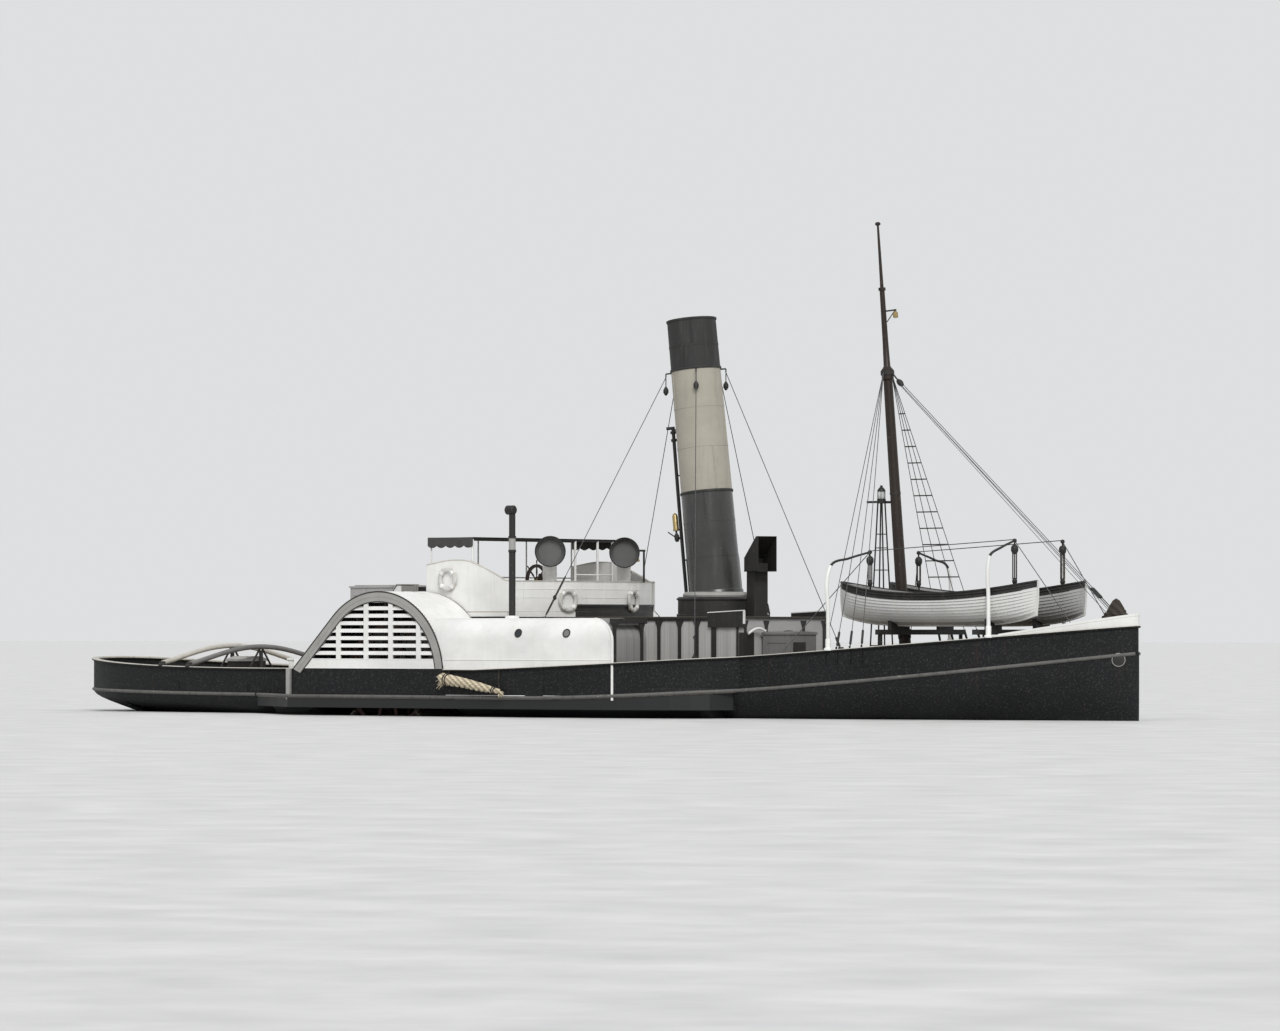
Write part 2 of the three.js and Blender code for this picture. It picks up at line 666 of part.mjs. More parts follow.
function bridgeDeck() {
  const { aft, half, z, thick } = BRIDGE;
  const plan = outline([[aft, half], [aft, -half], ...frontEdge(0)]);
  return upright(plan, z - thick, z);
}

function awningFrame() {
  const posts = [];
  const low = BRIDGE.z + SEAT;
  for (const [x, y] of [[-3380, -3200], [-1850, -3200], [-3380, 3200], [-1850, 3200], [-3380, -1100], [-3380, 1100],
    [-1850, 1100], [-1850, -1100]]) {
    posts.push(rod([x, y, low], [x, y, 5040], 30, 6));
  }
  for (const x of [-3380, -1850]) posts.push(rod([x, -3240, 5020], [x, 3240, 5020], 28, 4));
  for (const y of [-3200, 3200]) posts.push(rod([-3400, y, 5020], [-1830, y, 5020], 28, 4));
  posts.push(rod([-3380, -3200, 3950], [-3380, 3200, 3950], 22, 4));
  return wasm.Manifold.union(posts);
}

function awning() {
  const low = 5048 + SEAT;
  return join(
    box(-3450, -1780, -3270, 3270, low, low + 45),
    box(-3450, -1780, -3290, -3255, low - 260, low + 45),
    box(-3450, -1780, 3255, 3290, low - 260, low + 45),
  );
}

function steeringWheel() {
  const rim = ring(440, 32, 24, 6);
  const parts = [rim, rod([0, 0, -60], [0, 0, 90], 75, 8)];
  for (let i = 0; i < 8; i += 1) {
    const a = (2 * Math.PI * i) / 8;
    parts.push(rod([0, 0, 0], [620 * Math.cos(a), 620 * Math.sin(a), 0], 22, 4));
  }
  return wasm.Manifold.union(parts).rotate([0, 90, 0]);
}

const WHEEL_POST = { x: -1950, z: 3840 };

function buildBridge() {
  const { z } = BRIDGE;
  add('bridge_deck', bridgeDeck(), 'deck_wood');
  add('bridge_screens', bridgeScreens(), 'white_paint');
  add('awning_frame', awningFrame(), 'white_paint');
  add('awning', awning(), 'canvas');
  const binnacle = turned([[0, 0], [190, 0], [190, 60], [120, 100], [120, 850], [190, 900], [170, 1050],
    [90, 1140], [0, 1160]], 16);
  const post = join(
    box(-2700, -950, -450, 450, z + SEAT, z + 60),
    box(WHEEL_POST.x, WHEEL_POST.x + 260, -150, 150, z + SEAT, 4050),
    rod([WHEEL_POST.x - 60, 0, WHEEL_POST.z], [WHEEL_POST.x + 10, 0, WHEEL_POST.z], 90, 12),
    binnacle.translate([-1250, 0, z + 50]),
  );
  add('wheel_pedestal', post, 'mast_wood');
  add('steering_wheel', steeringWheel(), 'mast_wood', [WHEEL_POST.x - 60 - 90 - SEAT, 0, WHEEL_POST.z]);
}

// Cowl ventilators, with their mouths turned to starboard and forward

function cowl() {
  const bend = tube([[0, 0, 950], [0, 0, 1250], [70, 0, 1520], [330, 0, 1700]], 200, 5, 10);
  const mouth = turned([[190, -60], [330, 150], [430, 330], [400, 330], [300, 160], [150, -20], [190, -60]], 18);
  const stem = rod([0, 0, 0], [0, 0, 1000], 200, 10);
  const plug = rod([200, 0, 1700], [360, 0, 1700], 230, 10);
  return join(stem, bend, plug, mouth.rotate([0, 90, 0]).translate([300, 0, 1700]));
}

function buildVents() {
  const facing = { cowl_vent_starboard: [-250, -1700, -50], cowl_vent_port: [-250, 1700, -50] };
  for (const [name, [x, y, turn]] of Object.entries(facing)) {
    add(name, cowl().rotate([0, 0, turn]), 'white_paint', [x, y, BRIDGE.z + SEAT]);
  }
  const hood = sideways(outline([[-330, 1250], [330, 1250], [330, 2250], [-150, 2250], [-330, 2000]]), -330, 330);
  const space = box(-260, 400, -270, 270, 1320, 2180);
  const shaft = box(-210, 210, -210, 210, 0, 1300);
  const vent = join(hood.subtract(space), shaft);
  add('square_vent', vent.rotate([0, 0, 10]), 'black_iron', [5950, 0, CASING.top + SEAT]);
}

// Funnel on its plinth, with hoops; built upright and leant aft

function leant(shape) {
  return shape.rotate([0, -FUNNEL.rake, 0]).translate([FUNNEL.x, 0, FUNNEL.z]);
}

function funnelR(z) {
  return FUNNEL.base + (FUNNEL.top - FUNNEL.base) * z / FUNNEL.length;
}

const HOOPS = [3150, 6520];

function buildFunnel() {
  const { length, wall } = FUNNEL;
  const profile = [[funnelR(0) - wall, 0], [funnelR(0) + 40, 0], [funnelR(0) + 40, 230], [funnelR(230), 230]];
  for (const z of HOOPS) {
    profile.push([funnelR(z), z - 35], [funnelR(z) + 28, z - 35], [funnelR(z) + 28, z + 35], [funnelR(z), z + 35]);
  }
  profile.push([funnelR(length), length - 70], [funnelR(length) + 25, length - 70], [funnelR(length) + 25, length],
    [funnelR(length) - wall, length], [funnelR(0) - wall, 0]);
  const uptake = turned(profile, 24);
  const plinthTop = FUNNEL.z + 60;
  const plinth = turned([[0, CASING.top + SEAT], [1120, CASING.top + SEAT], [1120, plinthTop - 60],
    [1050, plinthTop], [0, plinthTop]], 28).translate([FUNNEL.x, 0, 0]);
  const seatR = funnelR(0) + 40 + SEAT;
  const seat = turned([[0, 0], [seatR, 0], [seatR, 600], [0, 600]], 24);
  add('funnel_plinth', plinth.subtract(leant(seat)), 'black_iron');
  add('funnel', leant(uptake.translate([0, 0, SEAT])).subtract(leant(rod([0, 0, -300], [0, 0, 0], 900, 32))),
    'funnel_buff');
  const pipeX = -funnelR(0) - 175;
  const pipe = join(
    tube([[pipeX, 0, -120], [pipeX + 12, 0, 3000], [pipeX + 30, 0, 5300]], 55, 6, 8),
    rod([pipeX + 10, 0, 2350], [pipeX + 10, 0, 2900], 95, 10),
    rod([pipeX + 30, 0, 5200], [pipeX - 60, 0, 5420], 55, 8),
  );
  const brackets = [1200, 3600, 5100].map((z) => (
    box(pipeX, -funnelR(z) + 20, -25, 25, z - 20, z + 20)));
  const cutter = turned([[0, 0], [funnelR(0) + SEAT, 0], [funnelR(length) + SEAT, length], [0, length]], 24);
  const whole = leant(join(pipe, ...brackets).subtract(cutter));
  add('steam_pipe', whole.subtract(keepOut(plinth)), 'black_iron');
  add('funnel_guys', funnelGuys(), 'wire');
}

// Wire guys from a collar under the funnel's upper hoop: bearing from forward round to port, foot x, foot y
const FUNNEL_GUYS = [
  [-120, 1510, -3750],
  [-70, 6750, -4070],
  [-25, 10740, -2750],
  [60, 3300, 4000],
  [125, -1450, 4250],
];
const GUY = { z: 6420, r: 12, foot: 55 };

function funnelGuys() {
  const inner = funnelR(GUY.z) + SEAT;
  const collar = turned([[inner, -35], [inner + 26, -35], [inner + 26, 35], [inner, 35], [inner, -35]], 24);
  const parts = [leant(collar.translate([0, 0, GUY.z]))];
  const lean = THREE.MathUtils.degToRad(FUNNEL.rake);
  for (const [bearing, x, y] of FUNNEL_GUYS) {
    const a = THREE.MathUtils.degToRad(bearing);
    const [along, up] = [(inner + 18) * Math.cos(a), GUY.z];
    const eye = [FUNNEL.x + along * Math.cos(lean) - up * Math.sin(lean), (inner + 18) * Math.sin(a),
      FUNNEL.z + along * Math.sin(lean) + up * Math.cos(lean)];
    const onHouse = Math.abs(y) > HOUSE.in && x < HOUSE.fore;
    const low = onHouse ? HOUSE.top + SEAT : railZ(x) - 40;
    parts.push(rod([x, y, low + 30], eye, GUY.r, 4));
    parts.push(box(x - GUY.foot, x + GUY.foot, y - GUY.foot, y + GUY.foot, low, low + (onHouse ? 40 : 90)));
  }
  return wasm.Manifold.union(parts).subtract(onRail);
}

// Mast, its rigging and the lamp stand; the mast is built upright and leant aft

function mastPoint(z) {
  const a = THREE.MathUtils.degToRad(MAST.rake);
  return [MAST.x - z * Math.sin(a), 0, deckZ(MAST.x) + z * Math.cos(a)];
}

function mast() {
  const { length, hounds, base, mid, top } = MAST;
  const profile = [[0, -60], [base, -60], [mid, hounds - 200], [mid + 20, hounds - 120], [mid + 20, hounds - 60],
    [mid, hounds - 60], [mid, hounds + 100], [top + 50, hounds + 700], [top + 30, hounds + 1900],
    [top + 50, hounds + 1900], [top + 50, hounds + 1980], [top, hounds + 1980], [top - 10, length], [0, length]];
  const pole = turned(profile, 16);
  const bracket = join(
    box(0, 430, -20, 20, hounds + 1300, hounds + 1340),
    rod([400, 0, hounds + 1180], [400, 0, hounds + 1360], 30, 8),
  );
  return pole.add(bracket).rotate([0, -MAST.rake, 0]).translate([MAST.x, 0, deckZ(MAST.x)]);
}

const SHROUD_XS = [9900, 10900, 11700, 12500];

function mastRigging() {
  const r = 16;
  const collarZ = MAST.hounds + 20;
  const hold = mastPoint(collarZ);
  const [inner, outer] = [MAST.mid + SEAT, MAST.mid + 45];
  const collar = turned([[inner, -70], [outer, -70], [outer, 70], [inner, 70], [inner, -70]], 16);
  const parts = [collar.rotate([0, -MAST.rake, 0]).translate(hold)];
  for (const side of [-1, 1]) {
    for (const x of SHROUD_XS) {
      const foot = [x, side * (foreHalf(x) + 30), railZ(x) - 20];
      parts.push(rod([hold[0], side * 205, hold[2]], foot, r, 4));
    }
  }
  for (const y of [-60, 60]) {
    parts.push(rod([hold[0] + 190, y, hold[2]], [17750, y, bowTop(17750) + 420], r, 4));
  }
  return wasm.Manifold.union(parts).subtract(onRail);
}

function bowTop(x) {
  return railZ(x) + 40 + 0.078 * (x - 15000);
}

function lampStand() {
  const [x, low, high] = [9950, deckZ(9950) - 20, 5950];
  const parts = [];
  for (const [dx, dy] of [[-1, -1], [1, -1], [1, 1], [-1, 1]]) {
    parts.push(rod([x + dx * 330, dy * 260, low], [x + dx * 130, dy * 130, high], 30, 6));
  }
  for (let z = 1500; z < 5800; z += 700) {
    const spread = 1 - (z - low) / (high - low) * 0.6;
    parts.push(box(x - 330 * spread, x + 330 * spread, -260 * spread - 15, 260 * spread + 15, z, z + 35));
  }
  parts.push(box(x - 300, x + 300, -280, 280, high - 30, high + 30));
  parts.push(turned([[0, high + 20], [120, high + 20], [120, high + 330], [60, high + 420], [0, high + 470]], 12)
    .translate([x, 0, 0]));
  return seated(wasm.Manifold.union(parts));
}

// Lifeboats on their skids, with davits

function boatHalf(u) {
  return BOAT.beam * (1 - Math.abs(u) ** 2.6) ** 0.75;
}

function boatShell(inset) {
  const sections = [];
  const us = [-1, -0.93, -0.75, -0.5, -0.2, 0.2, 0.5, 0.75, 0.93, 1];
  for (const u of us) {
    const b = Math.max(boatHalf(u) - inset, 12);
    const keel = BOAT.rise * 0.9 * Math.abs(u) ** 4 + inset;
    const sheer = BOAT.depth + BOAT.rise * Math.abs(u) ** 2.2 + (inset > 0 ? 40 : 0);
    const half = [[Math.min(30, b), keel], [b * 0.5, keel + (sheer - keel) * 0.16],
      [b * 0.85, keel + (sheer - keel) * 0.42], [b * 0.98, keel + (sheer - keel) * 0.75], [b, sheer]];
    sections.push({ x: u * (BOAT.half - inset), half });
  }
  return symmetric(sections);
}

function lifeboat() {
  const shell = boatShell(0).subtract(boatShell(45));
  const thwarts = [-0.55, 0, 0.55].map((u) => {
    const x = u * BOAT.half;
    return box(x - 120, x + 120, -boatHalf(u) * 0.94, boatHalf(u) * 0.94, 560, 600);
  });
  return join(shell, ...thwarts);
}

const SKID_XS = [11450, 14650];
const SKID_Z = 2440;

function boatSkids(x) {
  const parts = [box(x - 70, x + 70, -2050, 2050, SKID_Z - 140, SKID_Z)];
  for (const y of [-1900, 1900]) {
    const side = Math.sign(y) * Math.min(Math.abs(y), foreHalf(x) - 330);
    parts.push(rod([x, side, deckZ(x) - 20], [x, side, SKID_Z - 100], 55, 8));
  }
  for (const side of [-1, 1]) {
    parts.push(box(x - 60, x + 60, side * BOAT.y - 330, side * BOAT.y + 330, SKID_Z - 20, BOAT.z + 260));
  }
  return wasm.Manifold.union(parts);
}

// Columns: name, rail x, head x, head z
const DAVITS = [
  ['davit_aft', 10400, 10560, 4560],
  ['davit_forward', 14950, 15350, 4830],
];

function davit(x, headX, headZ) {
  const y = foreHalf(x) + 10;
  const headY = BOAT.y;
  const reach = y - headY;
  const path = [
    [x, -y, railZ(x) + 10],
    [x, -y, headZ - 900],
    [x + (headX - x) * 0.12, -y + reach * 0.08, headZ - 420],
    [x + (headX - x) * 0.45, -y + reach * 0.4, headZ - 90],
    [headX, -headY, headZ],
  ];
  const foot = turned([[0, 0], [120, 0], [120, 60], [75, 90], [75, 300], [0, 300]], 8);
  const boatU = (headX - BOAT.x) / BOAT.half;
  const hookZ = BOAT.z + BOAT.depth + BOAT.rise * Math.abs(boatU) ** 2.2 + 60;
  return join(
    tube(path, 52, 9, 6),
    foot.translate([x, -y, railZ(x) - 20]),
    rod([headX, -headY, headZ + 60], [headX, -headY, headZ - 260], 70, 6),
    rod([headX, -headY, headZ - 200], [headX, -headY, hookZ], 28, 4),
    rod([headX, -headY, hookZ + 160], [headX, -headY, hookZ - 20], 60, 6),
  ).subtract(onRail);
}

function buildBoats() {
  const boat = lifeboat();
  const skids = SKID_XS.map((x) => boatSkids(x));
  const boats = ['starboard', 'port'].map((side) => {
    const y = side === 'port' ? BOAT.y : -BOAT.y;
    add(`lifeboat_${side}`, boat, 'white_paint', [BOAT.x, y, BOAT.z]);
    return boatShell(0).scale([1.0002, 1.0008, 1]).translate([BOAT.x, y, BOAT.z - SEAT]);
  });
  skids.forEach((skid, i) => {
    add(`boat_skids_${i ? 'forward' : 'aft'}`, seated(skid.subtract(boats[0]).subtract(boats[1])), 'white_paint');
  });
  for (const [name, x, headX, headZ] of DAVITS) bothSides(name, davit(x, headX, headZ), 'white_paint');
}

function buildMast() {
  add('mast', seated(mast()), 'mast_wood');
  add('mast_rigging', mastRigging(), 'wire');
  add('lamp_stand', lampStand(), 'black_iron');
}

// Deck gear

function bitts(x, y) {
  const z = deckZ(x) - 20;
  return seated(join(
    box(x - 480, x + 480, y - 150, y + 150, z, z + 70),
    rod([x - 280, y, z], [x - 280, y, z + 620], 110, 12),
    rod([x + 280, y, z], [x + 280, y, z + 620], 110, 12),
    rod([x - 280, y, z + 610], [x - 280, y, z + 650], 140, 12),
    rod([x + 280, y, z + 610], [x + 280, y, z + 650], 140, 12),
  ));
}

const WINDLASS = { x: 16300, z: 2130, half: 560 };

function windlassFrame() {
  const { x, half } = WINDLASS;
  const z = deckZ(x) - 30;
  const parts = [];
  for (const side of [-1, 1]) {
    const y = side * (half + 110);
    parts.push(box(x - 190, x + 190, y - 60, y + 60, z, WINDLASS.z + 210));
  }
  parts.push(box(x - 190, x - 60, -half - 120, half + 120, z, z + 160));
  return seated(wasm.Manifold.union(parts));
}

function windlassBarrel() {
  const { half } = WINDLASS;
  const profile = [[0, -half - 50 + SEAT], [70, -half - 50 + SEAT], [70, -half], [240, -half], [240, -half + 60],
    [150, -half + 110], [150, -60], [260, -40], [260, 40], [150, 60], [150, half - 110], [240, half - 60],
    [240, half], [70, half], [70, half + 50 - SEAT], [0, half + 50 - SEAT]];
  return turned(profile, 14).rotate([90, 0, 0]);
}

const HOOK = { x: -9250, z: 1500 };

function towPost() {
  const { x, z } = HOOK;
  const body = join(
    box(x + 130, x + 430, -230, 230, DECK_Z - 20, z + 320),
    box(x - 70, x + 140, -120, 120, z - 130, z - 50),
    box(x - 70, x + 140, -120, 120, z + 50, z + 130),
    rod([x, 0, z - 60], [x, 0, z + 60], 42, 24),
  );
  return seated(body);
}

function towHook() {
  const eye = turned([[43, -49.7], [100, -49.7], [100, 49.7], [43, 49.7], [43, -49.7]], 24);
  const shank = box(-520, -80, -38, 38, -38, 38);
  const bend = turned([[110, -38], [190, -38], [190, 38], [110, 38], [110, -38]], 14).translate([-660, 0, 0]);
  const gap = box(-700, -480, 0, 260, -60, 60);
  return join(eye, shank, bend.subtract(gap));
}

function towBeam(x) {
  const half = deckHalf(x) - 40;
  const crown = 500;
  const points = [];
  for (let i = -4; i <= 4; i += 1) {
    const u = i / 4;
    points.push([x, u * half, railZ(x) + 75 + crown * Math.cos(u * Math.PI / 2) ** 1.2]);
  }
  const bar = tube(points, 75, 12, 6);
  const feet = [-1, 1].map((side) => box(x - 130, x + 130, side * half - 90, side * half + 90, railZ(x) - 40,
    railZ(x) + 90));
  const post = rod([x, 0, deckZ(x) - 20], [x, 0, railZ(x) + crown + 50], 70, 8);
  return seated(join(bar, post, ...feet).subtract(keepOut(aftBulwark)));
}

function companion(x0, x1, y0, y1, top) {
  const z = deckZ(x0) - 20;
  return seated(join(
    box(x0, x1, y0, y1, z, top - 60),
    box(x0 - 40, x1 + 40, y0 - 40, y1 + 40, top - 60, top),
  ));
}

function buildDeckGear() {
  bothSides('bitts_forward', bitts(13400, -1650), 'black_iron');
  bothSides('bitts_aft', bitts(-15600, -1850), 'black_iron');
  add('windlass_frame', windlassFrame(), 'black_iron');
  add('windlass_barrel', windlassBarrel(), 'black_iron', [WINDLASS.x, 0, WINDLASS.z]);
  add('tow_post', towPost(), 'black_iron');
  add('tow_hook', towHook(), 'black_iron', [HOOK.x, 0, HOOK.z]);
  add('tow_beam_forward', towBeam(-12700), 'rail_wood');
  add('tow_beam_aft', towBeam(-13850), 'rail_wood');
  add('companion_forward', companion(6900, 7850, -1150, 50, 2430), 'grey_paint');
  add('companion_aft', companion(-13600, -12950, -500, 500, 1650), 'white_paint');
  add('aft_locker', companion(-9000, -8150, -2950, -2250, 1620), 'white_paint');
}

// Fenders and lifebuoys

// Bundle of rope lashed along the starboard sponson, slung by two lanyards from under the rail
function ropeFender() {
  const r = 90;
  const path = [[-1000, 1060], [-300, 960], [400, 830], [1040, 720]].map(([x, z]) => (
    [x, -sponsonHalf(x) - r - 2, z]));
  const lanyards = [-860, 900].map((x) => (
    rod([x, -sponsonHalf(x) - 36, 800 - x * 0.15], [x, -sponsonHalf(x) - 36, railZ(x) - 30], 14, 6)));
  return join(tube(path, r, 10, 10), ...lanyards).subtract(onRail);
}

function buildFenders() {
  add('rope_fender', ropeFender(), 'coir');
  const heap = turned([[0, 0], [330, 0], [300, 330], [150, 620], [0, 700]], 12).scale([1.9, 1, 1]);
  const placed = heap.translate([17850, 0, bowTop(17750) - 300]);
  add('bow_fender', placed.subtract(onRail).subtract(roomAround(theBowBand)), 'coir');
}

const LIFEBUOYS = [
  ['lifebuoy_side', [-2620, -BRIDGE.half - 52 - SEAT, 3860], 'side'],
  ['lifebuoy_front_starboard', [0, -1500, 3270], 'front'],
  ['lifebuoy_front_port', [0, 1500, 3270], 'front'],
];

function buildLifebuoys() {
  for (const [name, [x, y, z], facing] of LIFEBUOYS) {
    if (facing === 'side') {
      add(name, ring(300, 60, 18, 6).rotate([90, 0, 0]), 'white_paint', [x, y, z]);
    } else {
      const slope = Math.atan2(frontX(y + 10) - frontX(y - 10), 20);
      const turn = THREE.MathUtils.radToDeg(-slope);
      add(name, ring(300, 60, 18, 6).rotate([0, 90, 0]).rotate([0, 0, turn]), 'white_paint',
        [frontX(y) + 51.5, y, z]);
    }
  }
}

buildHull();
buildRudder();
buildPaddles();
buildHouses();
buildCasing();
buildBridge();
buildVents();
buildFunnel();
buildMast();
buildBoats();
buildDeckGear();
buildFenders();
buildLifebuoys();

export default steamer;
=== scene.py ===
"""Finished surfaces, fittings and finishes of a side-wheel paddle tug, built round its frame of solids."""

import math

import bpy
import numpy as np
from bpy.props import FloatProperty, FloatVectorProperty, IntProperty, PointerProperty
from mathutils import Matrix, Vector


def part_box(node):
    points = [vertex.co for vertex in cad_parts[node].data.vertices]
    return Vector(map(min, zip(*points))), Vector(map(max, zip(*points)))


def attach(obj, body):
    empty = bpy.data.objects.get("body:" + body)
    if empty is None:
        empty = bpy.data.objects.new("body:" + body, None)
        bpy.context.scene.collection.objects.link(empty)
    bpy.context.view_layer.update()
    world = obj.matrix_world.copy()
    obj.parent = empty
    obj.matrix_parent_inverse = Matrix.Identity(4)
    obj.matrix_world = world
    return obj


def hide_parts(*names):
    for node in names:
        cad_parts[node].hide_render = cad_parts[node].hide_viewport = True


bl_info = {
    "name": "Paddle tug",
    "version": (1, 0, 0),
    "blender": (4, 5, 0),
    "location": "View3D > Sidebar > Paddle tug",
    "description": "Dresses the frame of a side-wheel paddle tug with its plating, woodwork and rigging",
    "category": "Object",
}

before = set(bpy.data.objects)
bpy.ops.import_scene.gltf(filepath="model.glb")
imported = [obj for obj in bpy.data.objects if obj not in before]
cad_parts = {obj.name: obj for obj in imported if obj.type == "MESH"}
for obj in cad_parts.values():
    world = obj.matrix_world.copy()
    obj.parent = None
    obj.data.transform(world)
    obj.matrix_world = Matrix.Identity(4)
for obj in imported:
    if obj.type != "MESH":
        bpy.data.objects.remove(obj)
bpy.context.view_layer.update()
AHEAD = (1, 0, 0)

# Driving dimensions in metres. X runs forward from amidships, Y to port, Z up from the waterline.
STEM_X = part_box("hull")[1].x
STERN_X = -STEM_X
HALF_BEAM = 3.3
STEM_HALF = 0.06
DRAUGHT = 2.3
KEEL_HALF = 0.13
STERN_POST_X = -16.7
DECK_Z = 0.5
SHAFT = (-3.5, 1.12)
BOX_R = 2.4
BOX_OUT = 5.4
BOX_IN = 3.35
BOX_AFT_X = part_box("paddle_box_starboard")[0].x
BOX_FORE_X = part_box("paddle_box_starboard")[1].x
BOX_WALL = 0.08
SPONSON_LENGTH = 7.4
SPONSON_OUT = 2.05
SPONSON_AFT_X = -9.9
SPONSON_CORNER_X = -6.9
HOUSE_FORE_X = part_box("sponson_house_starboard")[1].x
HOUSE_IN = 3.45
HOUSE_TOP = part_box("sponson_house_starboard")[1].z
HOUSE_ROUND = 0.6
END_ROUND = 0.94
CASING_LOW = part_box("casing")[0]
CASING_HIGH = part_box("casing")[1]
CASING_TOP = 2.8
CASING_HALF = 1.9
HOUSE_SHELL = HOUSE_FORE_X - 0.14
BRIDGE_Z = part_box("bridge_deck")[1].z
FUNNEL = {"x": 4.4, "z": 3.3, "rake": 6.4, "length": 7.95, "base": 0.745, "top": 0.69}
MAST = {"x": 11, "rake": 4.5, "length": 12.75, "hounds": 8.95, "base": 0.168, "mid": 0.138, "top": 0.05}
BOAT = {"x": 12.85, "y": 1.15, "z": 2.56, "half": 3.25, "beam": 0.76, "depth": 0.85, "rise": 0.33}

FINISHES = {}


# Surfaces: each is its points and the faces that join them, worked out as whole arrays


def fan_volume(points, faces):
    """Signed volume under faces of equally many corners: each is cut into a fan of triangles."""
    first = points[faces[:, :1]]
    second = points[faces[:, 1:-1]]
    third = points[faces[:, 2:]]
    return float((first * np.cross(second, third)).sum()) / 6


def outward(points, groups):
    """The closed surface with its faces pointing out, by the sign of the volume that they hold."""
    centred = points - points.mean(axis=0)
    held = sum(fan_volume(centred, faces) for faces in groups)
    return points, [faces[:, ::-1] if held < 0 else faces for faces in groups]


def grid(points, close_u=False, close_v=False):
    """Quads between neighbours of an n by m grid; a closed direction joins its last row to its first."""
    n, m = points.shape[:2]
    rows = np.arange(n if close_u else n - 1)
    columns = np.arange(m if close_v else m - 1)
    i, j = np.meshgrid(rows, columns, indexing="ij")
    i_next, j_next = (i + 1) % n, (j + 1) % m
    quads = np.stack([i * m + j, i * m + j_next, i_next * m + j_next, i_next * m + j], axis=-1)
    return points.reshape(-1, 3), quads.reshape(-1, 4)


def capped(rings):
    """A closed skin over rings of points, with the first and the last ring filled."""
    n, m = rings.shape[:2]
    points, quads = grid(rings, close_v=True)
    ends = np.stack([np.arange(m)[::-1], (n - 1) * m + np.arange(m)])
    return outward(points, [quads, ends])


def unit(vectors):
    """Vectors divided by their lengths."""
    vectors = np.asarray(vectors, float)
    return vectors / np.linalg.norm(vectors, axis=-1, keepdims=True)


def across(axis):
    """Two directions square to an axis and to each other."""
    axis = unit(axis)
    other = np.array([0, 0, 1]) if abs(axis[2]) < 0.9 else np.array([1, 0, 0])
    side = unit(np.cross(axis, other))
    return side, np.cross(side, axis)


def beside(path, up=(0, 0, 1)):
    """Two directions square to a path and to each other at each of its points, the first one also square to up."""
    along = unit(np.gradient(path, axis=0))
    side = unit(np.cross(along, up))
    return side, np.cross(side, along)


def full_turn(steps):
    """Angles of a full turn in equal steps, from 0."""
    return np.linspace(0, 2 * np.pi, steps, endpoint=False)


def tube(path, radius, sides=8, up=(0, 0, 1)):
    """A round pipe: circles of the radius stand square to the path at its points, and its ends are closed."""
    path = np.asarray(path, float)
    radius = np.broadcast_to(np.asarray(radius, float), len(path))
    side, lift = beside(path, up)
    turn = full_turn(sides)
    circle = np.cos(turn)[:, None] * side[:, None] + np.sin(turn)[:, None] * lift[:, None]
    return capped(path[:, None] + radius[:, None, None] * circle)


def bar(start, end, radius, sides=8, end_radius=None):
    """A straight pipe from start to end, tapered if end_radius is given."""
    start, end = np.asarray(start, float), np.asarray(end, float)
    side, lift = across(end - start)
    turn = full_turn(sides)[:, None]
    circle = np.cos(turn) * side + np.sin(turn) * lift
    last = radius if end_radius is None else end_radius
    return capped(np.stack([start + radius * circle, end + last * circle]))


def turned(profile, centre=(0, 0, 0), axis=(0, 0, 1), sides=32, closed=False, to_axis=True):
    """A profile of (radius, distance along the axis) pairs carried round the axis.

    The profile's ends run in level to the axis, or to each other if it is closed, or stay flat without to_axis.
    """
    if to_axis and not closed:
        first, last = ([(0, z)] if r > 0 else [] for r, z in (profile[0], profile[-1]))
        profile = [*first, *profile, *last]
    profile = np.asarray(profile, float)
    axis = unit(axis)
    side, lift = across(axis)
    turn = full_turn(sides)[None, :, None]
    reach = np.maximum(profile[:, :1], 1e-4)[:, None]
    points = np.asarray(centre) + reach * (np.cos(turn) * side + np.sin(turn) * lift)
    points = points + profile[:, 1:][:, None] * axis
    if not closed:
        return capped(points)
    verts, quads = grid(points, close_u=True, close_v=True)
    return outward(verts, [quads])


def collar(inner, outer, low, high, centre=(0, 0, 0), axis=(0, 0, 1), sides=36):
    """A flat ring round an axis, between two radii and two distances along it."""
    return turned([(inner, low), (outer, low), (outer, high), (inner, high)], centre, axis, sides, closed=True)


def hoop(centre, axis, radius, section, sides=40, facets=10, flatten=1):
    """A ring of round section about an axis: its outer angle and its section's angle are the two parameters."""
    axis = unit(axis)
    side, lift = across(axis)
    u = full_turn(sides)[:, None, None]
    v = full_turn(facets)[None, :, None]
    out = np.cos(u) * side + np.sin(u) * lift
    points = np.asarray(centre) + (radius + section * np.cos(v)) * out + flatten * section * np.sin(v) * axis
    verts, quads = grid(points, close_u=True, close_v=True)
    return outward(verts, [quads])


def block(low, high):
    """A plain block between two opposite corners."""
    (x0, y0, z0), (x1, y1, z1) = np.sort(np.array([low, high], float), axis=0)
    ends = [[[x, y0, z0], [x, y1, z0], [x, y1, z1], [x, y0, z1]] for x in (x0, x1)]
    return capped(np.array(ends, float))


def stood(line, y):
    """A line of (x, z) pairs as points that stand at a distance to port."""
    line = np.asarray(line, float)
    return np.column_stack([line[:, 0], np.full(len(line), y), line[:, 1]])


def prism(outline, y0, y1):
    """An outline of (x, z) pairs, carried across the ship from y0 to y1."""
    return capped(np.stack([stood(outline, y) for y in sorted((y0, y1))]))


def moved(surface, shift):
    """The surface shifted by a vector."""
    return surface[0] + np.asarray(shift, float), surface[1]


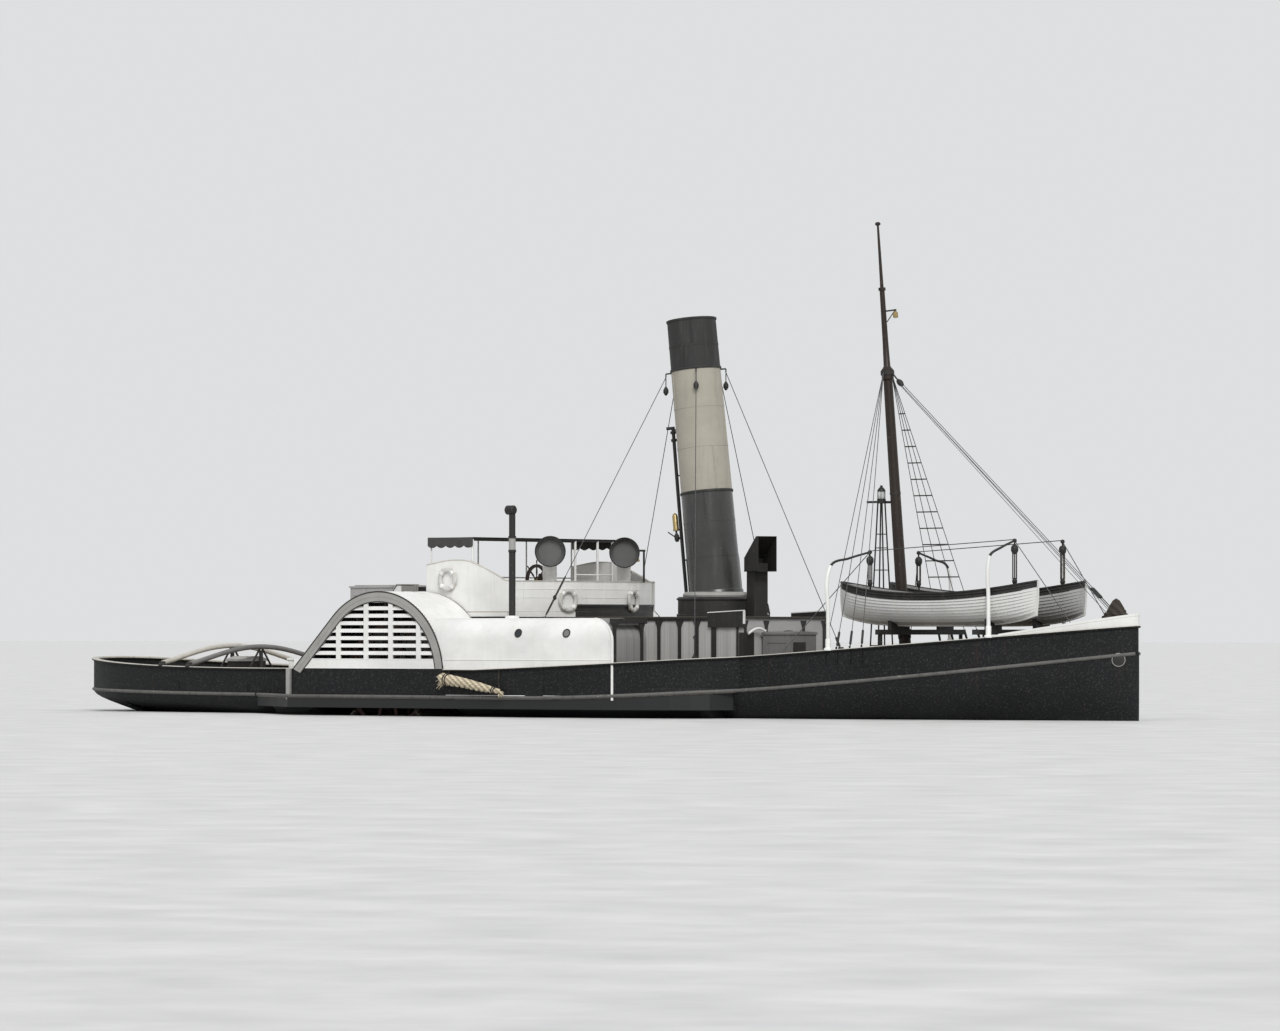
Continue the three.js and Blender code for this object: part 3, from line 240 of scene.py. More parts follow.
def swivelled(surface, degrees, pivot, start, stop):
    """The surface turned about a pivot, from the axis numbered start towards the one numbered stop."""
    a = math.radians(degrees)
    points = surface[0] - np.asarray(pivot, float)
    u, v = points[:, start].copy(), points[:, stop].copy()
    points[:, start] = u * math.cos(a) - v * math.sin(a)
    points[:, stop] = u * math.sin(a) + v * math.cos(a)
    return points + np.asarray(pivot, float), surface[1]


def leaning(surface, degrees, pivot):
    """The surface leant aft by an angle in the fore-and-aft plane, about a pivot."""
    return swivelled(surface, degrees, pivot, 0, 2)


def swung(surface, degrees, pivot=(0, 0, 0)):
    """The surface turned about an upright axis through a pivot."""
    return swivelled(surface, degrees, pivot, 0, 1)


def to_port(surface):
    """The mirror image across the centreline, with its faces still pointing out."""
    return surface[0] * [1, -1, 1], [faces[:, ::-1] for faces in surface[1]]


def spun(surface, count, centre, start=0):
    """Copies of a surface turned about an athwartships axis through a centre, by equal steps of a full turn."""
    points, groups = surface
    x, y, z = (points - np.asarray(centre)).T
    angle = (start + np.arange(count) * 2 * np.pi / count)[:, None]
    turned_x = x * np.cos(angle) + z * np.sin(angle)
    turned_z = z * np.cos(angle) - x * np.sin(angle)
    verts = np.stack([turned_x, np.broadcast_to(y, turned_x.shape), turned_z], axis=-1) + np.asarray(centre)
    starts = np.arange(count) * len(points)
    shifted = [(faces[None] + starts[:, None, None]).reshape(-1, faces.shape[1]) for faces in groups]
    return verts.reshape(-1, 3), shifted


def split_rings(surface, columns, cuts):
    """A capped skin whose quads are parted at places round its rings, each part in a group of its own."""
    points, (quads, ends) = surface
    lanes = np.split(quads.reshape(-1, columns, 4), cuts, axis=1)
    return points, [lane.reshape(-1, 4) for lane in lanes] + [ends]


def split_length(surface, columns, cuts):
    """A capped skin whose quads are parted at places along it, each part in a group of its own."""
    points, (quads, ends) = surface
    lengths = np.split(quads.reshape(-1, columns, 4), cuts, axis=0)
    return points, [length.reshape(-1, 4) for length in lengths] + [ends]


def joined(*surfaces):
    """Several surfaces as one, with their groups of faces kept apart."""
    starts = np.cumsum([0] + [len(points) for points, _ in surfaces])
    shifted = [faces + start for (_, groups), start in zip(surfaces, starts) for faces in groups]
    return np.concatenate([points for points, _ in surfaces]), shifted


def smooth_line(points, count):
    """A curve through a few points, by cubic pieces whose slopes come from each point's neighbours."""
    points = np.asarray(points, float)
    reach = np.concatenate([[0], np.cumsum(np.linalg.norm(np.diff(points, axis=0), axis=1))])
    slopes = np.gradient(points, reach, axis=0)
    t = np.linspace(0, reach[-1], count)
    i = np.clip(np.searchsorted(reach, t, side="right") - 1, 0, len(points) - 2)
    step = (reach[i + 1] - reach[i])[:, None]
    s = (t - reach[i])[:, None] / step
    first = (2 * s**3 - 3 * s**2 + 1) * points[i] + (s**3 - 2 * s**2 + s) * step * slopes[i]
    return first + (3 * s**2 - 2 * s**3) * points[i + 1] + (s**3 - s**2) * step * slopes[i + 1]


def gathered(surface):
    """One surface, from one or from a list of several."""
    return joined(*surface) if isinstance(surface, list) else surface


def changed(parts, change, *settings):
    """The parts of a piece, with the same change made to the surface of each."""
    return [(change(gathered(surface), *settings), named) for surface, named in parts]


def piece(name, parts, stands_for="", body="vessel", crease=35):
    """One mesh at the origin from (surface, finish) pairs, riding on a body in place of a solid of the frame.

    A list of finishes goes to a surface's groups of faces in turn.
    """
    points, faces, paints, materials, start = [], [], [], [], 0
    for surface, named in parts:
        verts, groups = gathered(surface)
        listed = named if isinstance(named, list) else [named] * len(groups)
        for group, material in zip(groups, listed):
            if material not in materials:
                materials.append(material)
            faces += (group + start).tolist()
            paints += [materials.index(material)] * len(group)
        points.append(verts)
        start += len(verts)
    mesh = bpy.data.meshes.new(name)
    mesh.from_pydata(np.concatenate(points).tolist(), [], faces)
    mesh.polygons.foreach_set("material_index", np.array(paints, np.int32))
    mesh.polygons.foreach_set("use_smooth", np.ones(len(faces), bool))
    for material in materials:
        mesh.materials.append(FINISHES[material])
    mesh.set_sharp_from_angle(angle=math.radians(crease))
    mesh.update()
    made = bpy.data.objects.new(name, mesh)
    bpy.context.scene.collection.objects.link(made)
    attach(made, body)
    if stands_for:
        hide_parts(stands_for)
    return made


def pair(name, parts, stands_for="", crease=35):
    """A starboard piece and its mirror image to port, each in place of its own side's solid."""
    for side, handed in (("starboard", parts), ("port", changed(parts, to_port))):
        piece(f"{name}_{side}", handed, stands_for and f"{stands_for}_{side}", crease=crease)


def finish_nodes(names, material, bevel=0):
    """Gives solids of the frame that show as they are a finish, and rounds their edges."""
    for name in names:
        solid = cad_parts[name]
        solid.data.materials.clear()
        solid.data.materials.append(FINISHES[material])
        if bevel:
            rounding = solid.modifiers.new("Rounded edges", "BEVEL")
            rounding.width = bevel
            rounding.segments = 2
            rounding.limit_method = "ANGLE"
            rounding.angle_limit = math.radians(40)


# Lines of the hull, as functions of the distance from amidships


def deck_half(x):
    """Half breadth at the deck edge: full amidships, drawn in by powers towards the stem and the stern."""
    x = np.asarray(x, float)
    u = np.clip((x - 3) / (STEM_X - 3), 0, 1)
    fore = STEM_HALF + (HALF_BEAM - STEM_HALF) * (1 - u**2.5) ** 0.85
    u = np.clip((-5 - x) / (-5 - STERN_X), 0, 1)
    aft = HALF_BEAM * (1 - u**5) ** 0.42
    return np.where(x > 0, fore, aft)


def water_half(x):
    """Half breadth at the waterline, finer than the deck at both ends."""
    x = np.asarray(x, float)
    u = np.clip(x / STEM_X, 0, 1)
    fore = STEM_HALF * 0.8 + (HALF_BEAM - 0.1) * (1 - u**2.2) ** 1.15
    u = np.clip((-4 - x) / 13.2, 0, 1)
    aft = STEM_HALF + (HALF_BEAM - 0.112) * (1 - u**2.4) ** 0.9
    return np.where(x > 0, fore, aft)


def deck_z(x):
    """Height of the deck edge, which rises by powers of the distance towards both ends."""
    x = np.asarray(x, float)
    fore = 0.014 * np.clip(x - 2, 0, None) ** 1.6
    aft = 0.12 * (np.clip(-8 - x, 0, None) / 10.5) ** 2
    return DECK_Z + fore + aft


def rail_z(x):
    """Height of the top of the bulwark."""
    x = np.asarray(x, float)
    fore = 1.36 + 0.02 * np.clip(x, 0, None) ** 1.4 - 0.03 * np.exp(-np.clip(x, 0, None))
    aft = 1.33 + 0.0011 * np.clip(-9 - x, 0, None) ** 2.5
    return np.where(x > 0, fore, aft)


def sponson_half(x):
    """Half breadth over the sponson: a quarter curve forward, straight past the wheel, slanted in aft."""
    x = np.asarray(x, float)
    fore = deck_half(x) + SPONSON_OUT * np.sqrt(1 - np.clip(x / SPONSON_LENGTH, 0, 1) ** 2.5)
    side = BOX_OUT - 0.05 + 0.05 * np.clip(-x, 0, 1)
    aft = HALF_BEAM + (BOX_OUT - HALF_BEAM) * (x - SPONSON_AFT_X) / (SPONSON_CORNER_X - SPONSON_AFT_X)
    return np.where(x > 0, fore, np.where(x >= SPONSON_CORNER_X, side, aft))


def bow_top(x):
    """Height of the white band that raises the bulwark round the bow."""
    return rail_z(x) + 0.04 + 0.078 * (np.asarray(x, float) - 15)


def slope_of(line, at):
    """How much a line of the plan changes per metre, by its values a little to either side."""
    return (line(at + 0.02) - line(at - 0.02)) / 0.04


def round_edges(xs, half, end=None):
    """Stations up one side, round the end and back down the other, with the way out at each."""
    slope = slope_of(half, xs)
    length = np.hypot(1, slope)
    at = np.column_stack([xs, -half(xs)])
    out = np.column_stack([-slope / length, -1 / length])
    if end is None:
        return at, out
    turn = [[end, 0]], [[math.copysign(1, end), 0]]
    flip = [1, -1]
    return np.concatenate([at, turn[0], at[::-1] * flip]), np.concatenate([out, turn[1], out[::-1] * flip])


def swept(at, out, section):
    """A closed section carried along stations; section gives (n, k) arrays of distance out and of height."""
    reach, height = section
    plan = at[:, None] + reach[..., None] * out[:, None]
    return capped(np.concatenate([plan, height[..., None]], axis=-1))


def rows(*columns):
    """Columns that are numbers or arrays over the stations, side by side as an (n, k) array."""
    return np.stack(np.broadcast_arrays(*[np.asarray(c, float) for c in columns]), axis=-1)


# Settings


def size_setting(label, description, default):
    """One length that a user may change."""
    return FloatProperty(name=label, description=description, default=default, unit="LENGTH", min=0.0)


def colour_setting(label, description, default):
    """One colour that a user may change, as linear red, green and blue."""
    return FloatVectorProperty(
        name=label, description=description, default=default, subtype="COLOR", size=3, min=0.0, max=1.0
    )


class TugSizes(bpy.types.PropertyGroup):
    """Sizes of the fittings that the frame leaves to the finished surfaces"""

    plank: size_setting("Deck plank", "Width of one deck plank", 0.14)
    rail: size_setting("Rail thickness", "Depth of the capping rail on the bulwarks", 0.06)
    strake: size_setting("Rubbing strake", "Height of the half-round rubbing strakes", 0.1)
    slat: size_setting("Louvre slat", "Thickness of one slat of the paddle box", 0.022)
    porthole: size_setting("Porthole", "Radius of the glass in the houses", 0.09)
    funnel_band: size_setting("Funnel band", "Height of the foot of the pale band on the funnel", 3.02)
    funnel_head: size_setting("Funnel head", "Height of the foot of the black top on the funnel", 6.52)
    valance: size_setting("Valance", "Depth of the awning's scalloped edge", 0.3)
    boat_plank: size_setting("Boat plank lap", "How far one plank of a boat stands over the next", 0.028)
    shroud: size_setting("Shroud", "Radius of the mast's wire shrouds", 0.01)
    guy: size_setting("Guy", "Radius of the funnel's wire guys", 0.011)
    ratline: size_setting("Ratline spacing", "Height between two rungs in the port shrouds", 0.45)
    boat_planks: IntProperty(name="Boat planks", description="Planks on each side of a boat", default=11, min=4)


class TugColours(bpy.types.PropertyGroup):
    """Colours of the paint, wood, canvas and metal"""

    hull: colour_setting("Hull", "Black of the hull's topsides", (0.0075, 0.008, 0.0085))
    bottom: colour_setting("Bottom", "Paint below the waterline", (0.13, 0.035, 0.025))
    white: colour_setting("White", "Paint of the houses, boats and bridge", (0.76, 0.755, 0.735))
    grey: colour_setting("Grey", "Paint of the casing's panels", (0.36, 0.355, 0.345))
    dark: colour_setting("Dark", "Paint of pilasters, roof edges and ironwork", (0.024, 0.0235, 0.0225))
    arch: colour_setting("Arch", "Paint of the paddle box's arched moulding", (0.33, 0.325, 0.31))
    buff: colour_setting("Buff", "Paint of the funnel's pale band", (0.36, 0.335, 0.28))
    funnel: colour_setting("Funnel", "Paint of the funnel's foot", (0.04, 0.039, 0.038))
    soot: colour_setting("Soot", "Funnel top", (0.03, 0.0295, 0.029))
    deck: colour_setting("Deck", "Scrubbed deck planks", (0.33, 0.27, 0.19))
    rail: colour_setting("Rail", "Worn edges of the capping rails", (0.5, 0.48, 0.43))
    strake: colour_setting("Strake", "Chipped white of the rubbing strakes", (0.12, 0.117, 0.11))
    vent: colour_setting("Cowl mouth", "Inside and lip of the cowls", (0.12, 0.12, 0.118))
    mast: colour_setting("Mast", "Varnished mast and helm", (0.026, 0.018, 0.014))
    canvas: colour_setting("Canvas", "Awning cloth", (0.034, 0.033, 0.031))
    rope: colour_setting("Rope", "New manila", (0.5, 0.43, 0.31))
    coir: colour_setting("Coir", "Dark coir and tarred rope", (0.05, 0.04, 0.03))
    brass: colour_setting("Brass", "Lamps, whistle and rims", (0.42, 0.32, 0.15))
    # The red lead is darkened far below its own tone: painted shade of the wheels inside their boxes.
    lead: colour_setting("Red lead", "Primer on the paddle wheels", (0.05, 0.028, 0.022))


class TugStage(bpy.types.PropertyGroup):
    """Camera, light and floor"""

    lens: FloatProperty(name="Lens", description="Focal length in millimetres", default=168.75, min=1.0)
    eye: FloatVectorProperty(
        name="Eye", description="Place of the camera", default=(106.68, -134.4, 2.4), subtype="TRANSLATION", size=3
    )
    heading: FloatProperty(
        name="Heading", description="Turn of the camera about Z", default=math.radians(38.0), subtype="ANGLE"
    )
    tilt: FloatProperty(
        name="Tilt", description="Rise of the view above level", default=math.radians(1.103), subtype="ANGLE"
    )
    floor: FloatProperty(name="Floor", description="Half width of the floor", default=900.0, unit="LENGTH")
    sky: FloatProperty(name="Sky", description="Strength of the light from all round", default=0.85, min=0.0)
    lamp: FloatProperty(name="Lamp", description="Strength of the soft main lamp", default=2.0, min=0.0)


# Finishes

EVEN = (1, 1, 1)
SEAM = (0.02, 0.02, 0.02)
LAP_PITCH, BUTT_PITCH = 0.56, 2.4
RIVET_PITCH, RIVET_ROW, RIVET_WIDTH = 0.09, 0.14, 0.03


def shaded(colour, factor):
    """A colour made lighter or darker by a factor."""
    return tuple(min(1, c * factor) for c in colour)


class Coat:
    """One finish in the making: its material, and the steps that lay one pattern over another."""

    def __init__(self, name):
        self.material = bpy.data.materials.new(name)
        self.material.use_nodes = True
        self.tree = self.material.node_tree
        self.shader = self.tree.nodes["Principled BSDF"]

    def put(self, socket, value):
        """Sets an input to a number or a colour, or links it to another step's output."""
        if isinstance(value, bpy.types.NodeSocket):
            self.tree.links.new(value, socket)
        elif socket.type == "RGBA":
            socket.default_value = (*value[:3], 1)
        else:
            socket.default_value = value

    def add(self, kind, inputs=(), **settings):
        """A new node with its settings and its inputs."""
        made = self.tree.nodes.new("ShaderNode" + kind)
        for key, value in settings.items():
            setattr(made, key, value)
        for key, value in dict(inputs).items():
            self.put(made.inputs[key], value)
        return made

    def maths(self, operation, *values):
        """One step of arithmetic on numbers or sockets."""
        return self.add("Math", enumerate(values), operation=operation).outputs[0]

    def along(self, axis):
        """Distance along one axis of the piece's own coordinates."""
        return self.add("SeparateXYZ", {"Vector": self.add("TexCoord").outputs["Object"]}).outputs[axis]

    def mapped(self, scale):
        """The piece's own coordinates, stretched by a factor along each axis."""
        coords = self.add("TexCoord").outputs["Object"]
        return self.add("Mapping", {"Vector": coords, "Scale": scale}).outputs["Vector"]

    def noise(self, scale, size, detail, roughness):
        """Grain of a size, stretched along the axes by scale."""
        inputs = {"Vector": self.mapped(scale), "Scale": size, "Detail": detail, "Roughness": roughness}
        return self.add("TexNoise", inputs).outputs["Fac"]

    def ramp(self, value, low, high, to_low=0, to_high=1):
        """A value carried from one range to another, and held at its ends."""
        inputs = {"Value": value, "From Min": low, "From Max": high, "To Min": to_low, "To Max": to_high}
        return self.add("MapRange", inputs).outputs["Result"]

    def blend(self, share, first, second):
        """The first colour where share is 0 and the second where it is 1."""
        mix = self.add("Mix", data_type="RGBA")
        first_socket, second_socket = [socket for socket in mix.inputs if socket.type == "RGBA"]
        for socket, value in ((mix.inputs[0], share), (first_socket, first), (second_socket, second)):
            self.put(socket, value)
        return [socket for socket in mix.outputs if socket.type == "RGBA"][0]

    def cover(self, base, colour, value, low, high, most):
        """A colour over the base where a value rises from low to high, and no more of it than the most."""
        return self.blend(self.maths("MULTIPLY", self.ramp(value, low, high), most), base, colour)

    def lines(self, axis, pitch, width):
        """1 on thin lines square to an axis at a pitch, and 0 between them."""
        share = self.maths("FRACT", self.maths("DIVIDE", self.along(axis), pitch))
        near = self.maths("ABSOLUTE", self.maths("SUBTRACT", share, 0.5))
        return self.ramp(near, width / pitch / 2, width / pitch, 1, 0)

    def done(self, colour, roughness, height, strength, distance, inputs=()):
        """The material, once its shader has its colour, roughness, relief and other inputs."""
        bump = self.add("Bump", {"Height": height, "Strength": strength, "Distance": distance})
        named = {"Base Color": colour, "Roughness": roughness, "Normal": bump.outputs["Normal"], **dict(inputs)}
        for key, value in named.items():
            self.put(self.shader.inputs[key], value)
        return self.material


def paint(name, colour, roughness=0.5, stain=0.25, stain_colour=None, fleck=0, fleck_colour=None, relief=0.3,
          gloss=0.28, foot=None):
    """Brushed paint: cloudy shade, runs of dirt, small chips and a faint grain.

    The foot, if it is set, is the colour of another coat and the height below which it lies.
    """
    coat = Coat(name)
    clouds = coat.noise((0.5, 0.5, 0.7), 1.3, 5, 0.6)
    base = coat.blend(coat.ramp(clouds, 0.3, 0.7), shaded(colour, 0.86), shaded(colour, 1.08))
    runs = coat.noise((3.2, 3.2, 0.3), 1.6, 5, 0.65)
    base = coat.cover(base, stain_colour or shaded(colour, 0.35), runs, 0.5, 0.78, stain)
    if fleck:
        chips = coat.noise(EVEN, 9, 6, 0.75)
        base = coat.cover(base, fleck_colour or shaded(colour, 2.5), chips, 0.6, 0.68, fleck)
    if foot:
        low_colour, edge = foot
        base = coat.blend(coat.ramp(coat.along("Z"), edge - 0.004, edge + 0.004), low_colour, base)
    rough = coat.ramp(clouds, 0.25, 0.75, roughness - 0.08, roughness + 0.12)
    grain = coat.noise(EVEN, 26, 3, 0.6)
    return coat.done(base, rough, grain, relief, 0.004, {"Specular IOR Level": gloss})


def plated(name, colour, bottom):
    """Riveted plates under paint: lines at the plates' edges and butts, scuffs, rust runs and a red bottom."""
    coat = Coat(name)
    clouds = coat.noise((0.6, 0.6, 0.9), 1.1, 6, 0.65)
    speckle = coat.noise(EVEN, 14, 4, 0.75)
    base = coat.blend(coat.ramp(clouds, 0.3, 0.75), shaded(colour, 0.7), shaded(colour, 1.5))
    base = coat.cover(base, shaded(colour, 3.2), speckle, 0.52, 0.75, 0.4)
    base = coat.cover(base, (0.09, 0.088, 0.085), coat.noise(EVEN, 22, 3, 0.8), 0.56, 0.66, 0.5)
    base = coat.cover(base, (0.06, 0.056, 0.052), coat.noise((0.25, 0.25, 3), 2.4, 6, 0.7), 0.6, 0.78, 0.3)
    base = coat.cover(base, (0.09, 0.045, 0.028), coat.noise((2.6, 2.6, 0.28), 1.5, 6, 0.7), 0.6, 0.8, 0.3)
    edge = coat.maths("ADD", coat.along("Z"), coat.maths("MULTIPLY", clouds, 0.04))
    below = coat.blend(coat.ramp(clouds, 0.3, 0.7), shaded(bottom, 0.6), shaded(bottom, 1.25))
    base = coat.blend(coat.ramp(edge, 0, 0.02), below, base)
    columns, levels = coat.lines("X", RIVET_PITCH, RIVET_WIDTH), coat.lines("Z", RIVET_ROW, RIVET_WIDTH)
    rivets = coat.maths("MULTIPLY", columns, levels)
    relief = coat.maths("ADD", coat.maths("MULTIPLY", rivets, 0.5), coat.maths("MULTIPLY", speckle, 0.25))
    seams = coat.maths("MAXIMUM", coat.lines("Z", LAP_PITCH, 0.016), coat.lines("X", BUTT_PITCH, 0.014))
    relief = coat.maths("SUBTRACT", relief, seams)
    rough = coat.ramp(clouds, 0.25, 0.75, 0.5, 0.75)
    return coat.done(base, rough, relief, 0.5, 0.006, {"Specular IOR Level": 0.2})


def decked_plating(name, colours, width):
    """Planks where the surface reaches the sheer, a power of the distance forward, and black plating below it."""
    coat = Coat(name)
    forward = coat.maths("MAXIMUM", coat.maths("SUBTRACT", coat.along("X"), 2), 0)
    rise = coat.maths("MULTIPLY", coat.maths("POWER", forward, 1.6), 0.014)
    on_deck = coat.maths("GREATER_THAN", coat.along("Z"), coat.maths("ADD", rise, DECK_Z - 0.006))
    clouds = coat.noise((0.6, 0.6, 0.9), 1.1, 6, 0.65)
    grain = coat.noise((0.6, 9, 9), 2.5, 6, 0.65)
    seams = coat.lines("Y", width, 0.012)
    planks = coat.blend(coat.maths("MULTIPLY", grain, 0.5), shaded(colours.deck, 0.95), shaded(colours.deck, 0.5))
    planks = coat.blend(seams, planks, SEAM)
    plates = coat.blend(coat.ramp(clouds, 0.3, 0.75), shaded(colours.hull, 0.7), shaded(colours.hull, 1.5))
    relief = coat.maths("SUBTRACT", grain, coat.maths("MULTIPLY", seams, on_deck))
    rough = coat.ramp(clouds, 0.25, 0.75, 0.5, 0.75)
    return coat.done(coat.blend(on_deck, plates, planks), rough, relief, 0.4, 0.004)


def planked(name, colour, width, axis="Y", worn=0.3, seam=SEAM):
    """Laid planks: dark caulked seams at each width, a shade of its own on each plank, and long grain."""
    coat = Coat(name)
    number = coat.maths("FLOOR", coat.maths("DIVIDE", coat.along(axis), width))
    shade = coat.add("TexWhiteNoise", {"W": number}, noise_dimensions="1D").outputs["Value"]
    grain = coat.noise((0.6, 9, 9) if axis != "X" else (9, 0.6, 9), 2.5, 6, 0.65)
    seams = coat.lines(axis, width, 0.012)
    base = coat.blend(shade, shaded(colour, 0.8), shaded(colour, 1.1))
    base = coat.blend(coat.maths("MULTIPLY", grain, 0.45), base, shaded(colour, 0.55))
    base = coat.cover(base, (0.1, 0.09, 0.08), coat.noise((0.4, 0.4, 0.4), 1.6, 4, 0.6), 0.45, 0.75, worn)
    relief = coat.maths("SUBTRACT", coat.maths("MULTIPLY", grain, 0.3), seams)
    return coat.done(coat.blend(seams, base, seam), coat.ramp(grain, 0.2, 0.8, 0.6, 0.85), relief, 0.5, 0.004)


def corded(name, colour, pitch=0.05):
    """Laid rope: slanting strands at a pitch, with loose fibre and dirt."""
    coat = Coat(name)
    inputs = {"Vector": coat.mapped((1, 0.7, 1.3)), "Scale": 0.16 / pitch, "Distortion": 1.2, "Detail": 2}
    wave = coat.add("TexWave", inputs, wave_type="BANDS", bands_direction="DIAGONAL").outputs["Fac"]
    fibre = coat.noise(EVEN, 40, 5, 0.7)
    base = coat.blend(wave, shaded(colour, 0.45), shaded(colour, 1.15))
    base = coat.blend(coat.maths("MULTIPLY", fibre, 0.4), base, shaded(colour, 0.6))
    base = coat.cover(base, shaded(colour, 0.3), coat.noise(EVEN, 3, 4, 0.6), 0.5, 0.8, 0.4)
    return coat.done(base, 0.92, coat.maths("ADD", wave, coat.maths("MULTIPLY", fibre, 0.5)), 0.8, 0.008)


def cloth(name, colour):
    """Tarred awning cloth: a fine weave, sewn seams between its widths, and faded folds."""
    coat = Coat(name)
    threads = coat.maths("ADD", coat.lines("X", 0.012, 0.005), coat.lines("Y", 0.012, 0.005))
    folds = coat.noise((2.2, 0.6, 1), 1.8, 5, 0.6)
    faded = coat.noise((0.8, 0.8, 0.8), 1.4, 5, 0.6)
    seams = coat.lines("Y", 0.66, 0.02)
    base = coat.blend(coat.ramp(faded, 0.3, 0.75), shaded(colour, 0.7), shaded(colour, 1.7))
    base = coat.blend(coat.maths("MULTIPLY", seams, 0.6), base, shaded(colour, 0.45))
    weave = coat.maths("ADD", coat.maths("MULTIPLY", threads, 0.12), folds)
    relief = coat.maths("ADD", weave, coat.maths("MULTIPLY", seams, 0.3))
    return coat.done(base, 0.9, relief, 0.5, 0.02, {"Sheen Weight": 0.15})


def metal(name, colour, roughness=0.35):
    """Bare metal with tarnish in patches."""
    coat = Coat(name)
    patches = coat.noise(EVEN, 7, 5, 0.65)
    share = coat.maths("MULTIPLY", coat.ramp(patches, 0.4, 0.7), 0.4)
    rough = coat.ramp(patches, 0.3, 0.7, roughness, roughness + 0.25)
    return coat.done(coat.blend(share, colour, shaded(colour, 0.3)), rough, patches, 0.15, 0.003, {"Metallic": 0.85})


def glass(name, colour):
    """Dark or pale lamp and window glass, seen from outside."""
    coat = Coat(name)
    smear = coat.noise(EVEN, 12, 4, 0.6)
    coat.put(coat.shader.inputs["Base Color"], coat.blend(smear, shaded(colour, 0.6), shaded(colour, 1.5)))
    coat.put(coat.shader.inputs["Roughness"], coat.ramp(smear, 0.3, 0.7, 0.05, 0.16))
    coat.put(coat.shader.inputs["Specular IOR Level"], 0.4)
    return coat.material


def mix_finishes(colours, sizes):
    """Makes every finish of the tug once, from the colour settings."""
    white, grey = colours.white, colours.grey
    yellowed, bared = (0.42, 0.39, 0.33), (0.5, 0.46, 0.4)
    soiled, chipped, dusty = (0.08, 0.07, 0.06), (0.15, 0.14, 0.12), (0.12, 0.11, 0.1)
    FINISHES.update(
        hull=plated("black plating", colours.hull, colours.bottom),
        decked=decked_plating("sponson plating and planks", colours, sizes.plank),
        box=paint("paddle box paint", white, 0.45, 0.2, yellowed, 0.25, bared, 0.2,
                  foot=(colours.hull, LOUVRES["sill"])),
        strake=paint("worn strake", colours.strake, 0.7, 0.6, (0.03, 0.03, 0.03), 0.8, (0.34, 0.33, 0.3), 0.6),
        vent=paint("cowl mouths", colours.vent, 0.5, 0.3),
        boat=paint("boat planks", shaded(white, 0.8), 0.45, 0.2, (0.4, 0.37, 0.31), 0.2, (0.45, 0.42, 0.37)),
        boat_dark=paint("boat sheer strake", shaded(colours.dark, 0.6), 0.5, 0.25, soiled, 0.2, chipped),
        boat_inside=paint("boat inside", grey, 0.6, 0.3),
        ring=paint("lifebuoy canvas", shaded(white, 0.72), 0.6, 0.3, (0.35, 0.33, 0.28), 0.2, (0.4, 0.37, 0.32)),
        white=paint("white paint", white, 0.42, 0.16, yellowed, 0.25, bared, 0.2),
        boards=planked("grey boards", shaded(grey, 1.35), 0.11, "X", 0.25, shaded(grey, 0.95)),
        boards_across=planked("grey boards across", shaded(grey, 0.7), 0.11, "Y", 0.25, shaded(grey, 0.5)),
        box_grey=paint("dull grey boxes", shaded(grey, 0.5), 0.7, 0.4, (0.08, 0.075, 0.07), 0.4, (0.3, 0.29, 0.27)),
        # The lap faces under each boat plank's edge are painted dark: painted shade under the laps.
        boat_lap=paint("boat plank edges", shaded(white, 0.3), 0.6, 0.3),
        boat_far=paint("port boat planks", shaded(white, 0.45), 0.6, 0.3),
        far_lap=paint("port boat plank edges", shaded(white, 0.18), 0.6, 0.3),
        grey=paint("grey panels", grey, 0.6, 0.4, dusty, 0.3, (0.16, 0.14, 0.12)),
        dark=paint("dark paint", colours.dark, 0.5, 0.3, (0.08, 0.06, 0.05), 0.4, (0.16, 0.14, 0.12)),
        arch=paint("arch moulding", colours.arch, 0.55, 0.3, (0.2, 0.19, 0.17), 0.3, (0.6, 0.58, 0.54)),
        buff=paint("funnel band", colours.buff, 0.45, 0.45, (0.2, 0.18, 0.15), 0.2, (0.3, 0.27, 0.22)),
        funnel=paint("funnel foot", colours.funnel, 0.26, 0.5, (0.09, 0.085, 0.08), 0.3, dusty, gloss=0.5),
        soot=paint("funnel top", colours.soot, 0.62, 0.5, (0.1, 0.095, 0.09), 0.3, (0.14, 0.12, 0.11)),
        deck=planked("deck planks", colours.deck, sizes.plank),
        roof=planked("roof boards", shaded(colours.deck, 0.55), sizes.plank * 1.2),
        rail=paint("worn rail", colours.rail, 0.7, 0.5, (0.15, 0.14, 0.13), 0.6, dusty, 0.6),
        mast=paint("varnished wood", colours.mast, 0.38, 0.4, shaded(colours.mast, 0.4), 0.3, (0.2, 0.13, 0.08)),
        canvas=cloth("awning canvas", colours.canvas),
        rope=corded("manila rope", colours.rope),
        pale_rope=corded("worn rope", shaded(colours.rope, 1.25)),
        coir=corded("coir rope", colours.coir, 0.08),
        wire=metal("wire rope", (0.12, 0.12, 0.125), 0.5),
        brass=metal("brass", colours.brass, 0.28),
        # Red lead and paddle floats are darkened beyond their own paint and wood: painted shade of the wheels inside
        # their boxes.
        lead=paint("red lead", colours.lead, 0.7, 0.5, (0.05, 0.03, 0.025), 0.6, (0.22, 0.12, 0.07), 0.7),
        floats=planked("paddle floats", shaded(colours.deck, 0.2), 0.2, "Z", 0.6),
        glass=glass("port glass", (0.02, 0.025, 0.03)),
        pale_glass=glass("lamp glass", (0.5, 0.52, 0.5)),
    )


# Stage


